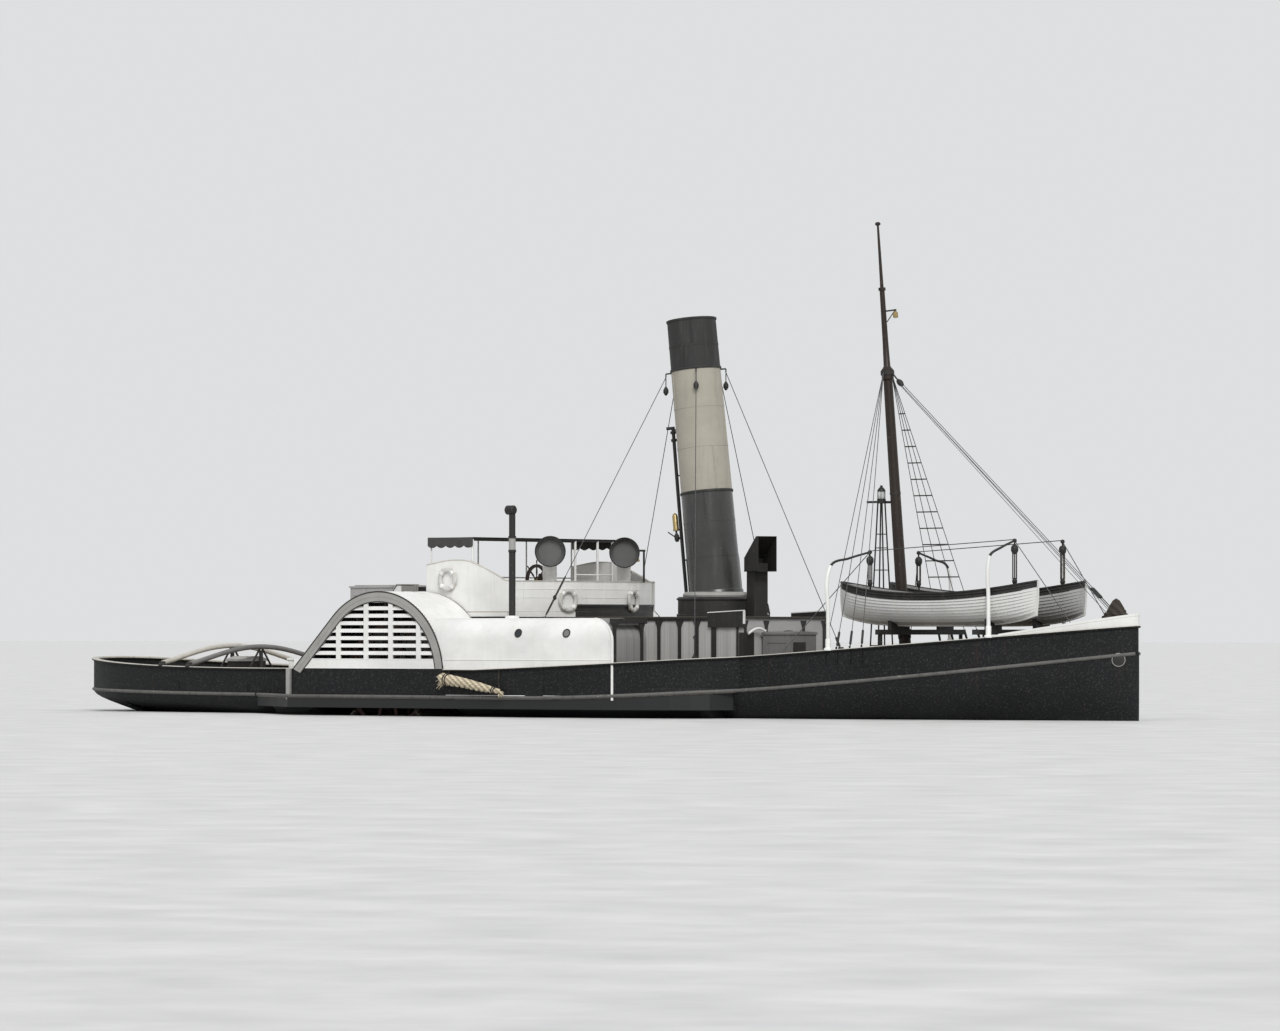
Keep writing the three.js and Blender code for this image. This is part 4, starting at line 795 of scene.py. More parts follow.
class TUG_OT_stage(bpy.types.Operator):
    """Sets the camera, the pale floor at the waterline and the soft light"""

    bl_idname = "tug.stage"
    bl_label = "Stage"

    def execute(self, context):
        settings = context.scene.tug_stage
        camera_data = bpy.data.cameras.new("Camera")
        camera_data.lens = settings.lens
        camera_data.sensor_width = 36
        camera_data.sensor_fit = "HORIZONTAL"
        camera_data.clip_end = 4000
        camera = bpy.data.objects.new("Camera", camera_data)
        camera.location = settings.eye
        camera.rotation_euler = (math.pi / 2 + settings.tilt, 0, settings.heading)
        context.scene.collection.objects.link(camera)
        context.scene.camera = camera

        reach = settings.floor
        corners = [[-reach, -reach, 0], [reach, -reach, 0], [reach, reach, 0], [-reach, reach, 0]]
        mesh = bpy.data.meshes.new("floor")
        mesh.from_pydata(corners, [], [[0, 1, 2, 3]])
        mesh.materials.append(paint("floor", (0.62, 0.62, 0.61), 0.55, 0, relief=0))
        floor = bpy.data.objects.new("floor", mesh)
        context.scene.collection.objects.link(floor)

        context.scene.view_settings.view_transform = "Standard"
        world = bpy.data.worlds.new("soft light")
        world.use_nodes = True
        background = world.node_tree.nodes["Background"]
        background.inputs["Color"].default_value = (0.86, 0.87, 0.88, 1)
        background.inputs["Strength"].default_value = settings.sky
        context.scene.world = world
        lamp_data = bpy.data.lights.new("main lamp", "SUN")
        lamp_data.energy = settings.lamp
        lamp_data.angle = math.radians(24)
        lamp = bpy.data.objects.new("main lamp", lamp_data)
        lamp.rotation_euler = Vector((0.55, -0.5, 0.66)).to_track_quat("Z", "Y").to_euler()
        context.scene.collection.objects.link(lamp)
        return {"FINISHED"}


# Hull

# Columns: distance forward, keel, fullness of the section, hollow of the section
HULL_LINES = np.array([
    [-16.7, -2.3, 0.9, 2.4],
    [-15.9, -2.3, 1.2, 1.9],
    [-14.5, -2.3, 1.8, 1.3],
    [-12.5, -2.3, 2.8, 0.9],
    [-10, -2.3, 4.2, 0.7],
    [-7, -2.3, 5.5, 0.6],
    [-2, -2.3, 6, 0.55],
    [3, -2.3, 6, 0.55],
    [5.2, -2.3, 5.4, 0.6],
    [7.4, -2.3, 4.4, 0.7],
    [9.5, -2.3, 3.4, 0.78],
    [12.5, -2.3, 2.3, 0.92],
    [14, -2.3, 2, 1.02],
    [15.2, -2.3, 1.7, 1.1],
    [16.3, -2.27, 1.6, 1.16],
    [17.2, -2.18, 1.5, 1.2],
    [17.9, -1.98, 1.4, 1.15],
    [18.33, -1.65, 1.3, 1.1],
    [18.54, -1.1, 1.2, 1],
])
# Columns: distance forward, underside of the counter
COUNTER_LINES = np.array([
    [-18.53, 0.5], [-18.42, 0.45], [-18.2, 0.35], [-17.8, 0.2], [-17.3, 0.03], [-16.7, -0.15], [-15.9, -0.25],
])
DECK_LANES = 4


def mirrored_rings(x, half, height):
    """Closed rings from (n, k) half breadths and heights: down the port side, up the starboard one, over the deck."""
    lanes = np.linspace(-1, 1, DECK_LANES + 1)[1:-1]
    edge = half[:, -1:]
    breadth = np.concatenate([half[:, ::-1], -half, edge * lanes], axis=1)
    level = np.concatenate([height[:, ::-1], height, np.repeat(height[:, -1:], DECK_LANES - 1, axis=1)], axis=1)
    along = np.broadcast_to(x[:, None], breadth.shape)
    return np.stack([along, breadth, level], axis=-1)


def hull_skin():
    """Breadth at depth share d is keel + (waterline - keel) * (1 - d^fullness)^hollow, and flares out above."""
    x = np.concatenate([np.linspace(STERN_POST_X, 17.6, 110), np.linspace(17.7, STEM_X, 14)])
    keel, fullness, hollow = (np.interp(x, HULL_LINES[:, 0], HULL_LINES[:, i])[:, None] for i in (1, 2, 3))
    d = np.array([1, 0.985, 0.95, 0.88, 0.78, 0.66, 0.54, 0.42, 0.3, 0.2, 0.1, 0])
    waterline, deck = water_half(x)[:, None], deck_half(x)[:, None]
    inner = KEEL_HALF * 0.9
    below = inner + (waterline - inner) * (1 - d**fullness) ** hollow
    t = np.array([0.12, 0.25, 0.4, 0.6, 0.8, 1])
    above = waterline + (deck - waterline) * (1 - (1 - t) ** 2.5)
    half = np.concatenate([below, above], axis=1)
    height = np.concatenate([keel * d, deck_z(x)[:, None] * t], axis=1)
    rings = mirrored_rings(x, half, height)
    return split_rings(capped(rings), rings.shape[1], [2 * half.shape[1] - 1])


def counter_skin():
    """The stern's overhang: a smooth half section scaled by the deck's breadth and the depth to its underside."""
    x = STERN_X + 2.64 * np.linspace(0.04, 1, 26) ** 2.2
    low = np.interp(x, COUNTER_LINES[:, 0], COUNTER_LINES[:, 1])[:, None]
    share = smooth_line([(0, 0), (0.12, 0), (0.55, 0.3), (0.92, 0.72), (1, 1)], 12)
    # Forward of the stern post the counter lies just inside the hull's skin
    inside = np.interp(x, [STERN_POST_X, STERN_POST_X + 0.1], [0, 0.008])[:, None]
    half = (deck_half(x)[:, None] - inside) * share[:, 0]
    height = low + (deck_z(x)[:, None] - inside - low) * share[:, 1]
    rings = mirrored_rings(x, half, height)
    return split_rings(capped(rings), rings.shape[1], [2 * half.shape[1] - 1])


class TUG_OT_hull(bpy.types.Operator):
    """Plates the hull and its counter, lays the deck and fits the sole piece under the rudder"""

    bl_idname = "tug.hull"
    bl_label = "Hull"

    def execute(self, context):
        painted = ["hull", "deck", "hull"]
        sole = block((-17.15, -0.09, -DRAUGHT - 0.001), (-16.5, 0.09, -DRAUGHT + 0.12))
        parts = [(hull_skin(), painted), (counter_skin(), painted), (sole, "hull")]
        piece("hull_plating", parts, "hull")
        finish_nodes(["sponson_starboard", "sponson_port"], "decked")
        finish_nodes(["rudder"], "hull", 0.01)
        return {"FINISHED"}


# Bulwarks, rails and strakes


def fore_half(x):
    """Line of the bulwark's plate forward of the paddle boxes."""
    return sponson_half(x) - 0.001


def aft_half(x):
    """Line of the bulwark's plate round the stern."""
    return deck_half(x) - 0.001


def bulwark(at, out):
    """Plate from the deck to the rail, and a capping rail with rounded edges, carried along the deck's edge."""
    x = at[:, 0]
    low, top = deck_z(x), rail_z(x)
    under = top - 0.06
    plate = swept(at, out, (rows(0 * x, 0, -0.05, -0.05), rows(low, under, under, low)))
    reach = rows(0 * x - 0.125, 0.05, 0.06, 0.06, 0.045, -0.12, -0.14, -0.14)
    height = rows(under, under, under + 0.015, top - 0.018, top, top, top - 0.018, under + 0.015)
    return plate, split_rings(swept(at, out, (reach, height)), 8, [3])


def stays(xs, half):
    """Slanting stays from under the rail to the deck, one to each place on both sides."""
    bars = []
    for x in xs:
        edge = half(x)
        for side in (-1, 1):
            start = (x, side * (edge - 0.07), rail_z(x) - 0.07)
            bars.append(bar(start, (x, side * (edge - 0.5), deck_z(x) + 0.02), 0.022, 6))
            foot = (x, side * (edge - 0.5), deck_z(x))
            bars.append(turned([(0.07, 0), (0.07, 0.02), (0.03, 0.03)], foot, sides=10, to_axis=False))
    return joined(*bars)


def freeing_ports(xs, half, span=0.62):
    """Plates of the freeing ports, standing just proud of the bulwark."""
    made = []
    for x in xs:
        for side in (-1, 1):
            across_x = np.linspace(x - span / 2, x + span / 2, 4)
            edge = half(across_x) * side
            low = deck_z(across_x) + 0.1
            rings = np.stack([
                np.stack([across_x, edge + side * reach, low + rise], axis=-1)
                for reach, rise in ((0, 0), (0.014, 0), (0.014, 0.3), (0, 0.3))
            ], axis=1)
            made.append(capped(rings))
    return joined(*made)


def strake(at, out, height, thick):
    """A rounded rubber: at height share s its reach is thickness * sqrt(1 - 0.85 s^2), less its seat in the plate."""
    mid = deck_z(at[:, 0]) + 0.05
    share = np.linspace(-1, 1, 9)
    reach = np.maximum(thick * np.sqrt(1 - 0.85 * share**2) - 0.02, 0)
    section = (rows(0 * mid, *[r + 0 * mid for r in reach], 0 * mid), rows(
        mid - height / 2, *[mid + s * height / 2 for s in share], mid + height / 2))
    return swept(at, out, section)


def stations(start, stop, count):
    """Distances from start to stop that crowd together towards stop, where the plan bends most."""
    return start + (stop - start) * (1 - (1 - np.linspace(0, 1, count)) ** 1.7)


def bulwark_rails(stem, stern):
    """Both bulwarks with their rails, stays and freeing ports."""
    xs = stations(BOX_FORE_X + 0.01, STEM_X - 0.05, 90)
    plate, cap = bulwark(*round_edges(xs, fore_half, stem))
    fore_stays = stays(np.arange(5.6, 17.5, 1.3), fore_half)
    ports = freeing_ports((2.1, 8.6, 11.3), fore_half)
    parts = [(plate, "hull"), (cap, ["hull", "rail", "hull"]), (fore_stays, "dark"), (ports, "hull")]
    piece("bulwark_rail_forward", parts, "bulwark_forward")
    xs = stations(BOX_AFT_X - 0.076, STERN_X + 0.02, 70)
    plate, cap = bulwark(*round_edges(xs, aft_half, stern))
    aft_stays = stays(np.arange(-8.1, -17.5, -1.3), aft_half)
    ports = freeing_ports((-10.6, -13.4), aft_half)
    parts = [(plate, "hull"), (cap, ["hull", "rail", "hull"]), (aft_stays, "dark"), (ports, "hull")]
    piece("bulwark_rail_aft", parts, "bulwark_aft")


def bow_band(stem):
    """The white band with its moulded edges, and the hawse holes with their rings."""
    at, out = round_edges(stations(15.2, STEM_X - 0.05, 40), fore_half, stem)
    low, high = rail_z(at[:, 0]) - 0.04, bow_top(at[:, 0])
    band = swept(at, out, (
        rows(0 * low, 0.012, 0.02, 0.02, 0.03, 0.03, -0.06, -0.06, 0),
        rows(low, low, low + 0.02, high - 0.07, high - 0.06, high, high, high - 0.05, high - 0.07),
    ))
    rings, plugs = [], []
    for side in (-1, 1):
        x = 18.16
        centre = (x, side * (deck_half(x) + 0.005), 1.63)
        facing = (-slope_of(deck_half, x), side, 0)
        rings.append(hoop(centre, facing, 0.17, 0.014, 36))
        plugs.append(turned([(0.17, -0.02), (0.17, 0.012), (0.09, 0.03)], centre, facing, 28))
    piece("bow_band_white", [(band, "white")], "bow_band")
    piece("hawse_rings", [(rings, "arch"), (plugs, "dark")])


def rubbing_strakes(sizes, stern):
    """The strake from the sponson's after end to the stem on each side, and the one round the stern."""
    fore_xs = np.concatenate([[SPONSON_AFT_X, SPONSON_CORNER_X, BOX_FORE_X], stations(-1, STEM_X - 0.03, 80)])
    half_strake = strake(*round_edges(fore_xs, sponson_half), sizes.strake, 0.07)
    parts = [(half_strake, "strake"), (to_port(half_strake), "strake")]
    piece("strake_forward", parts, "rubbing_strake_forward")
    at, out = round_edges(stations(-10, STERN_X + 0.02, 50), deck_half, stern)
    aft = strake(at, out, sizes.strake, 0.07)
    piece("strake_aft", [(aft, "strake")], "rubbing_strake_aft")


class TUG_OT_bulwarks(bpy.types.Operator):
    """Raises the bulwarks with their rails and stays, the white band at the bow and the rubbing strakes"""

    bl_idname = "tug.bulwarks"
    bl_label = "Bulwarks"

    def execute(self, context):
        stem, stern = STEM_X - 0.001, STERN_X + 0.001
        bulwark_rails(stem, stern)
        bow_band(stem)
        rubbing_strakes(context.scene.tug_sizes, stern)
        return {"FINISHED"}


# Paddle boxes and wheels

LOUVRES = {"rows": 8, "pitch": 0.211, "low": 1.62, "gap": 0.105, "posts": (-1.49, -0.46, 0.455, 1.48), "post": 0.075,
           "band": 0.29, "sill": 1.34}
BOX_LOW = 0.48
BOX_SKIN = 5.39
ARMS = 11
WHEEL_IN = 3.55
WHEEL_OUT = 5.1


def box_edge(inset, low, count=56):
    """Edge of the paddle box in (x, z): up its aft end, along the slant, round the wheel and down forward."""
    radius = BOX_R - inset
    tangent = radius * math.sqrt(0.5)
    x, z = SHAFT
    aft = BOX_AFT_X + inset
    slant = z + tangent - (x - tangent - aft)
    stop = math.degrees(math.asin(max(low - z, 0) / radius))
    angle = np.radians(np.linspace(135, stop, count))
    arc = np.column_stack([x + radius * np.cos(angle), z + radius * np.sin(angle)])
    start = [[aft, min(low, slant - 0.01)], [aft, slant]]
    foot = [[x + radius, low]] if low < z else np.zeros((0, 2))
    return np.concatenate([start, arc, foot])


def box_reach(inset, z):
    """Where the paddle box's edge, moved in by an inset, stands aft and forward at a height."""
    radius = BOX_R - inset
    tangent = radius * math.sqrt(0.5)
    chord = math.sqrt(max(radius**2 - (z - SHAFT[1]) ** 2, 0))
    aft = SHAFT[0] - chord
    if z < SHAFT[1] + tangent:
        aft = max(SHAFT[0] - tangent - (SHAFT[1] + tangent - z), BOX_AFT_X + inset)
    return aft, SHAFT[0] + chord


def lath(edge_out, edge_in, y_out, y_in):
    """A curved board between two edges of equally many points, and between two distances off the centreline."""
    corners = [(edge_out, y_out), (edge_out, y_in), (edge_in, y_in), (edge_in, y_out)]
    return capped(np.stack([stood(edge, -y) for edge, y in corners], axis=1))


def along_edge(edge, y, radius):
    """A thin bead along an edge of the paddle box."""
    return tube(stood(edge, -y), radius, up=(0, 1, 0))


def louvres(sizes):
    """Slats across the open face: each leans in as it rises, its section the same from end to end."""
    slats = []
    for row in range(LOUVRES["rows"]):
        z = LOUVRES["low"] + LOUVRES["gap"] + row * LOUVRES["pitch"]
        high = z + LOUVRES["pitch"] - LOUVRES["gap"]
        aft, fore = box_reach(LOUVRES["band"] - 0.05, min(z + 0.02, 3.2))
        section = [(5.388, z), (5.388, z + 0.012), (5.34, high), (5.34 - sizes.slat, high), (5.388 - sizes.slat, z)]
        slats.append(capped(np.array([[(x, -y, level) for y, level in section] for x in (aft, fore)])))
    return joined(*slats)


class TUG_OT_paddle_boxes(bpy.types.Operator):
    """Builds the paddle boxes: curved roof, arched moulding, louvres, posts, sill, black skirt and bearings"""

    bl_idname = "tug.paddle_boxes"
    bl_label = "Paddle boxes"

    def execute(self, context):
        sill, band, post = LOUVRES["sill"], LOUVRES["band"], LOUVRES["post"]
        x, z = SHAFT
        roof = lath(box_edge(0, BOX_LOW), box_edge(BOX_WALL, BOX_LOW), BOX_SKIN - 0.005, BOX_IN)
        face = lath(box_edge(0, sill), box_edge(band, sill), BOX_OUT, 5.345)
        inner = prism(box_edge(0, BOX_LOW), -BOX_IN - 0.07, -BOX_IN)
        skirt = block((BOX_AFT_X + 0.004, -BOX_SKIN, BOX_LOW), (BOX_FORE_X - 0.004, 0.055 - BOX_SKIN, sill))
        ledge_aft, ledge_fore = box_reach(0, sill + 0.03)
        ledge = block((ledge_aft, -BOX_SKIN - 0.004, sill), (ledge_fore, 0.055 - BOX_SKIN, LOUVRES["low"]))
        lips = []
        for level in (sill, 1.59):
            aft, fore = box_reach(band, level)
            lips.append(block((aft, -BOX_OUT, level), (fore, -BOX_SKIN, level + 0.03)))
        posts = []
        for dx in LOUVRES["posts"]:
            top = z + math.sqrt((BOX_R - band + 0.05) ** 2 - dx**2)
            posts.append(block((x + dx - post, -5.396, 1.6), (x + dx + post, -5.35, top)))
        edge = along_edge(box_edge(0.008, sill), 5.395, 0.02)
        bead = along_edge(box_edge(band, sill), 5.398, 0.016)
        middle = along_edge(box_edge(band * 0.5, sill), 5.398, 0.012)
        bearing = block((x - 0.33, -5.34, 0.5), (x + 0.33, -5.16, 1.3))
        gland = turned([(0.33, 3.42), (0.33, 3.46), (0.22, 3.48)], (x, 0, z), (0, -1, 0))
        angle_iron = block((BOX_AFT_X + 0.02, -BOX_OUT, 0.62), (BOX_FORE_X - 0.02, -BOX_SKIN, 0.68))
        seams = [lath(box_edge(-0.006, 1.5), box_edge(0.01, 1.5), y + 0.03, y) for y in (3.5, 4.1, 4.7, 5.25)]
        parts = [
            (split_rings(roof, 4, [2, 3]), ["box", "dark", "box", "box"]), (face, "arch"), (inner, "boards"),
            (skirt, "hull"), (ledge, "white"),
            (lips, "white"), (posts, "white"), (louvres(context.scene.tug_sizes), "white"),
            (edge, "dark"), (bead, "dark"), (middle, "arch"), (bearing, "dark"), (gland, "dark"),
            (angle_iron, "hull"), (seams, "box"),
            (block((-6.97, -5.385, 0.45), (-6.83, -5.3, sill - 0.01)), "arch"),
        ]
        pair("paddle_box_boards", parts, "paddle_box", crease=30)
        return {"FINISHED"}


class TUG_OT_paddle_wheels(bpy.types.Operator):
    """Builds the paddle wheels: shaft, hubs, arms, rims, floats of three boards and their bolted plates"""

    bl_idname = "tug.paddle_wheels"
    bl_label = "Paddle wheels"

    def execute(self, context):
        x, z = SHAFT
        centre = (x, 0, z)
        shaft = turned([(0.13, 3.491), (0.13, 5.159)], centre, (0, -1, 0), 28)
        parts = [(shaft, "dark")]
        for y in (WHEEL_IN + 0.15, WHEEL_OUT - 0.15):
            hub = turned([(0.2, y - 0.1), (0.22, y - 0.04), (0.36, y - 0.03), (0.36, y + 0.03),
                          (0.22, y + 0.04), (0.2, y + 0.1)], centre, (0, -1, 0))
            arm = block((x - 0.045, -y - 0.022, z + 0.25), (x + 0.045, -y + 0.022, z + 2.06))
            rim = collar(1.37, 1.47, y - 0.02, y + 0.02, centre, (0, -1, 0), 66)
            bolts = [turned([(0.03, y + 0.02), (0.02, y + 0.05)],
                            (x + dx, 0, z + r), (0, -1, 0), 6) for dx, r in ((0, 0.29), (0, 1.42))]
            parts += [(hub, "lead"), (spun(arm, ARMS, centre), "lead"), (rim, "lead"),
                      (spun(joined(*bolts), ARMS, centre), "dark")]
        boards = [block((x - 0.026, -WHEEL_OUT, z + low), (x + 0.026, -WHEEL_IN, z + low + 0.2))
                  for low in (1.5, 1.708, 1.916)]
        plates = [block((at - 0.012, -y - 0.06, z + 1.52), (at + 0.012, -y + 0.06, z + 2.08))
                  for y in (WHEEL_IN + 0.15, WHEEL_OUT - 0.15) for at in (x - 0.03, x + 0.03)]
        parts += [(spun(joined(*boards), ARMS, centre), "floats"), (spun(joined(*plates), ARMS, centre), "lead")]
        for side in ("starboard", "port"):
            handed = parts if side == "starboard" else changed(parts, to_port)
            name = f"paddle_wheel_{side}"
            piece(f"wheel_floats_{side}", handed, name, body=name)
        return {"FINISHED"}


# Sponson houses

STOVE = (0.7, -4.55)


def house_skin():
    """Section of straight side and quarter-round shoulder, from the arc of the paddle box to a rounded fore end.

    Along the house the share s runs 0 to 1 between the two ends, which depend on height; past them the ring
    closes level onto the inboard wall.
    """
    turn = np.radians(np.linspace(0, 90, 12))
    low = DECK_Z + 0.02
    inset = np.concatenate([np.zeros(8), HOUSE_ROUND * (1 - np.cos(turn))])
    shoulder = HOUSE_TOP - HOUSE_ROUND
    z = np.concatenate([np.linspace(low, shoulder, 9)[:-1], HOUSE_TOP - HOUSE_ROUND * (1 - np.sin(turn))])
    arc = SHAFT[0] + np.sqrt(np.clip(BOX_R**2 - (z - SHAFT[1]) ** 2, 0, None)) + 0.002
    start = np.where(z < SHAFT[1], BOX_FORE_X + 0.002, arc)
    above = np.clip(z - shoulder, 0, HOUSE_ROUND)
    stop = HOUSE_SHELL - END_ROUND * (1 - np.sqrt(1 - (above / HOUSE_ROUND) ** 2))
    s = np.linspace(0, 1, 44)[:, None]
    x = start + (stop - start) * s
    out = sponson_half(x) - 0.015 - inset
    wall = np.stack([x, -out, np.broadcast_to(z, x.shape)], axis=-1)
    inboard = wall.copy()
    inboard[..., 1] = -HOUSE_IN
    rings = np.concatenate([wall, inboard[:, ::-1]], axis=1)
    flat_start = np.concatenate([inboard[:1], inboard[:1, ::-1]], axis=1)
    flat_stop = np.concatenate([inboard[-1:], inboard[-1:, ::-1]], axis=1)
    points, quads = grid(np.concatenate([flat_start, rings, flat_stop]), close_v=True)
    return outward(points, [quads[:-rings.shape[1]], quads[-rings.shape[1]:]])


def facing_forward(surface):
    """A shape made in the fore-and-aft plane, turned to stand across the ship: its x and y change places."""
    return surface[0][:, [1, 0, 2]], [faces[:, ::-1] for faces in surface[1]]


def flared_post(at, low, high, near, far, half=0.055):
    """A post and the head that widens in two steps above it, between two planes near and far."""
    head = [(half, high - 0.22), (half + 0.02, high - 0.14), (half + 0.06, high - 0.06), (half + 0.08, high)]
    outline = [(-half, low), (half, low), *head, *[(-x, z) for x, z in reversed(head)]]
    return prism(np.array(outline) + [at, 0], near, far)


def house_line(x0, x1, z, radius, inset=0):
    """A bead along the house's outer wall at a height."""
    x = np.linspace(x0, x1, 40)
    path = np.column_stack([x, -(sponson_half(x) - 0.015 - inset), np.full(len(x), z)])
    return tube(path, radius)


def port_light(centre, axis, radius):
    """Rim and glass of a round window."""
    axis = unit(axis)
    rim = hoop(centre, axis, radius + 0.02, 0.018, 36, 8)
    pane = turned([(radius + 0.015, -0.02), (radius + 0.015, 0.004)], centre, axis)
    return rim, pane


def glazed(lights):
    """Rims and glass of several round windows, as parts of a piece."""
    rims, panes = zip(*lights)
    return [(list(rims), "brass"), (list(panes), "glass")]


def house_walls(sizes):
    """The house's skin, its posts and beam, round windows, beads, seams and inner door."""
    posts = [facing_forward(flared_post(y, DECK_Z + 0.02, 2.62, HOUSE_SHELL - 0.01, HOUSE_SHELL + 0.03))
             for y in (-4.89, -3.68)]
    beam = block((HOUSE_SHELL - 0.25, -4.78, 2.6), (HOUSE_SHELL + 0.03, -HOUSE_IN, 2.745))
    skin = house_skin()
    edge = skin[0].reshape(-1, 40, 3)[-2, :20] + [0, 0, -0.03]
    parts = [(skin, ["white", "boards_across"]), ([*posts, beam], "dark"),
             (tube(edge, 0.04, up=AHEAD), "white")]
    for x, pane_finish in ((1.52, "glass"), (3.15, "box_grey")):
        centre = (x, -sponson_half(x) + 0.043, 2.34)
        rim, pane = port_light(centre, (-slope_of(sponson_half, x), -0.954, 0.3), sizes.porthole)
        parts += [(rim, "dark"), (pane, pane_finish)]
    parts.append((house_line(BOX_FORE_X + 0.02, HOUSE_SHELL - 0.02, 1.6, 0.016), "white"))
    parts.append((house_line(BOX_FORE_X + 0.1, HOUSE_SHELL - 0.02, 0.6, 0.02), "white"))
    for x in (0.35, 2.4, 4.5):
        y = -sponson_half(x) + 0.015
        parts.append((block((x - 0.014, y - 0.008, 0.6), (x + 0.014, y + 0.02, 2.15)), "white"))
    inner_door = block((0.9, -HOUSE_IN - 0.01, 0.62), (1.6, -HOUSE_IN + 0.03, 2.35))
    parts.append((inner_door, "mast"))
    pair("house_walls", parts, "sponson_house", crease=30)


def stove_pipe():
    """The stove's pipe on its pad, banded, with a level drum as its head."""
    foot = (*STOVE, 0)
    pad = turned([(0.2, HOUSE_TOP), (0.19, HOUSE_TOP + 0.05), (0.13, HOUSE_TOP + 0.07)], foot, sides=28)
    pipe = turned([(0.093, 2.8), (0.093, 4.6), (0.11, 4.6), (0.11, 4.66), (0.096, 4.67), (0.096, 4.98),
                   (0.11, 4.99), (0.11, 5.05), (0.09, 5.06), (0.09, 5.66)], foot, sides=28)
    pipe = split_length(pipe, 28, [5, 7])
    head = turned([(0.1, -0.2), (0.13, -0.17), (0.13, 0.06), (0.1, 0.09)],
                  (*STOVE, 5.78), AHEAD, 24)
    parts = [(pad, "white"), (pipe, ["dark", "arch", "dark", "dark"]), (head, "dark")]
    piece("stove_pipe_turned", parts, "stove_pipe")


class TUG_OT_sponson_houses(bpy.types.Operator):
    """Builds the white houses ahead of the paddle boxes, with their windows, seams and the stove's pipe"""

    bl_idname = "tug.sponson_houses"
    bl_label = "Sponson houses"

    def execute(self, context):
        house_walls(context.scene.tug_sizes)
        stove_pipe()
        return {"FINISHED"}


# Casing, skylight and companions


def framed(x0, x1, y, z0, z1, side, border=0.06, proud=0.014):
    """Four flat laths round a panel on a fore-and-aft wall."""
    y0, y1 = y, y + side * proud
    laths = [
        block((x0, y0, z0), (x1, y1, z0 + border)),
        block((x0, y0, z1 - border), (x1, y1, z1)),
        block((x0, y0, z0 + border), (x0 + border, y1, z1 - border)),
        block((x1 - border, y0, z0 + border), (x1, y1, z1 - border)),
    ]
    return joined(*laths)


def cabin(x0, x1, y0, y1, z0, top, lip=0.04, camber=0):
    """Walls, and a lid of the same plan and a lip more, its top cambered as a parabola across."""
    walls = block((x0, y0, z0), (x1, y1, top - 0.06))
    y = np.linspace(y0 - lip, y1 + lip, 13)
    share = (2 * (y - y0 + lip) / (y1 - y0 + 2 * lip) - 1) ** 2
    crown = top + camber * (1 - share)
    upper = np.column_stack([y, crown])
    lower = np.array([[y1 + lip, top - 0.06], [y0 - lip, top - 0.06]])
    section = np.concatenate([upper, lower])
    rings = [np.column_stack([np.full(len(section), x), section]) for x in (x0 - lip, x1 + lip)]
    return walls, capped(np.stack(rings))


# Columns: distance forward, half width
PILASTERS = ((6.59, 0.03), (5.77, 0.08), (5.18, 0.05), (4.57, 0.05), (3.84, 0.05), (3.19, 0.05), (2.54, 0.05),
             (1.89, 0.05), (1.24, 0.05), (-0.06, 0.05), (-1.36, 0.05), (-2.66, 0.05), (-3.96, 0.05), (-5.26, 0.05),
             (-6.56, 0.05), (-7.86, 0.05))
HIDDEN_BAYS = (-5.9, -4.6, -3.3, -2, -0.7)


class TUG_OT_casing(bpy.types.Operator):
    """Builds the engine and boiler casing: boarded walls, flared posts, roof, doors and sidelight boards"""

    bl_idname = "tug.casing"
    bl_label = "Casing"

    def execute(self, context):
        low, high, top, half = CASING_LOW, CASING_HIGH, CASING_TOP, CASING_HALF
        x0, x1 = low.x + 0.05, high.x - 0.05
        walls = block((x0, -half, DECK_Z), (x1, half, top - 0.06))
        roof = block((low.x, -half - 0.05, top - 0.06), (high.x, half + 0.05, top - 0.012))
        cloth_top = block((low.x + 0.03, -half - 0.02, top - 0.012), (high.x - 0.03, half + 0.02, top))
        parts = [(walls, "boards"), (roof, "dark"), (cloth_top, "roof")]
        posts, doors, panes = [], [], []
        for side in (-1, 1):
            wall = side * half
            near, far = wall - side * 0.01, wall + side * 0.03
            posts += [block((x0, near, low_z), (x1, far, high_z))
                      for low_z, high_z in ((top - 0.12, top - 0.06), (DECK_Z, DECK_Z + 0.16))]
            posts += [flared_post(x, DECK_Z, top - 0.11, near, far, half_width) for x, half_width in PILASTERS]
            for x in HIDDEN_BAYS:
                panes.append(port_light((x, wall, 1.85), (0, side, 0), 0.11))
            for x in (-7.2, 0.6):
                doors.append(block((x - 0.34, wall, 0.68), (x + 0.34, wall + side * 0.024, 2.4)))
        ends = [facing_forward(flared_post(y, DECK_Z, top - 0.11, x - 0.02, x + 0.02))
                for y in (-1.84, -0.87, 0.87, 1.84) for x in (x0, x1)]
        # A dark slab over the casing's fore starboard corner is painted shade on the fore end of the casing.
        painted_shade_slab = block((6.66, -half - 0.035, 0.7), (x1 + 0.03, -1.46, 2.36))
        parts += [([*posts, *ends], "dark"), (doors, "mast"), (painted_shade_slab, "dark"), *glazed(panes)]
        for side in (-1, 1):
            y0, y1 = side * (half + 0.01), side * (half + 0.07)
            screen = prism([(5.6, 2.5), (6.85, 2.5), (6.85, 2.96), (5.6, 2.9)], y0, y1)
            cap = prism([(5.6, 2.9), (6.85, 2.96), (6.85, 2.985), (5.6, 2.925)], y0, y1 + side * 0.02)
            edge = block((6.83, y0 - side * 0.01, 2.6), (6.855, y1 + side * 0.01, 2.96))
            parts += [(screen, "dark"), ([cap, edge], "white")]
        piece("casing_walls", parts, "casing")
        return {"FINISHED"}


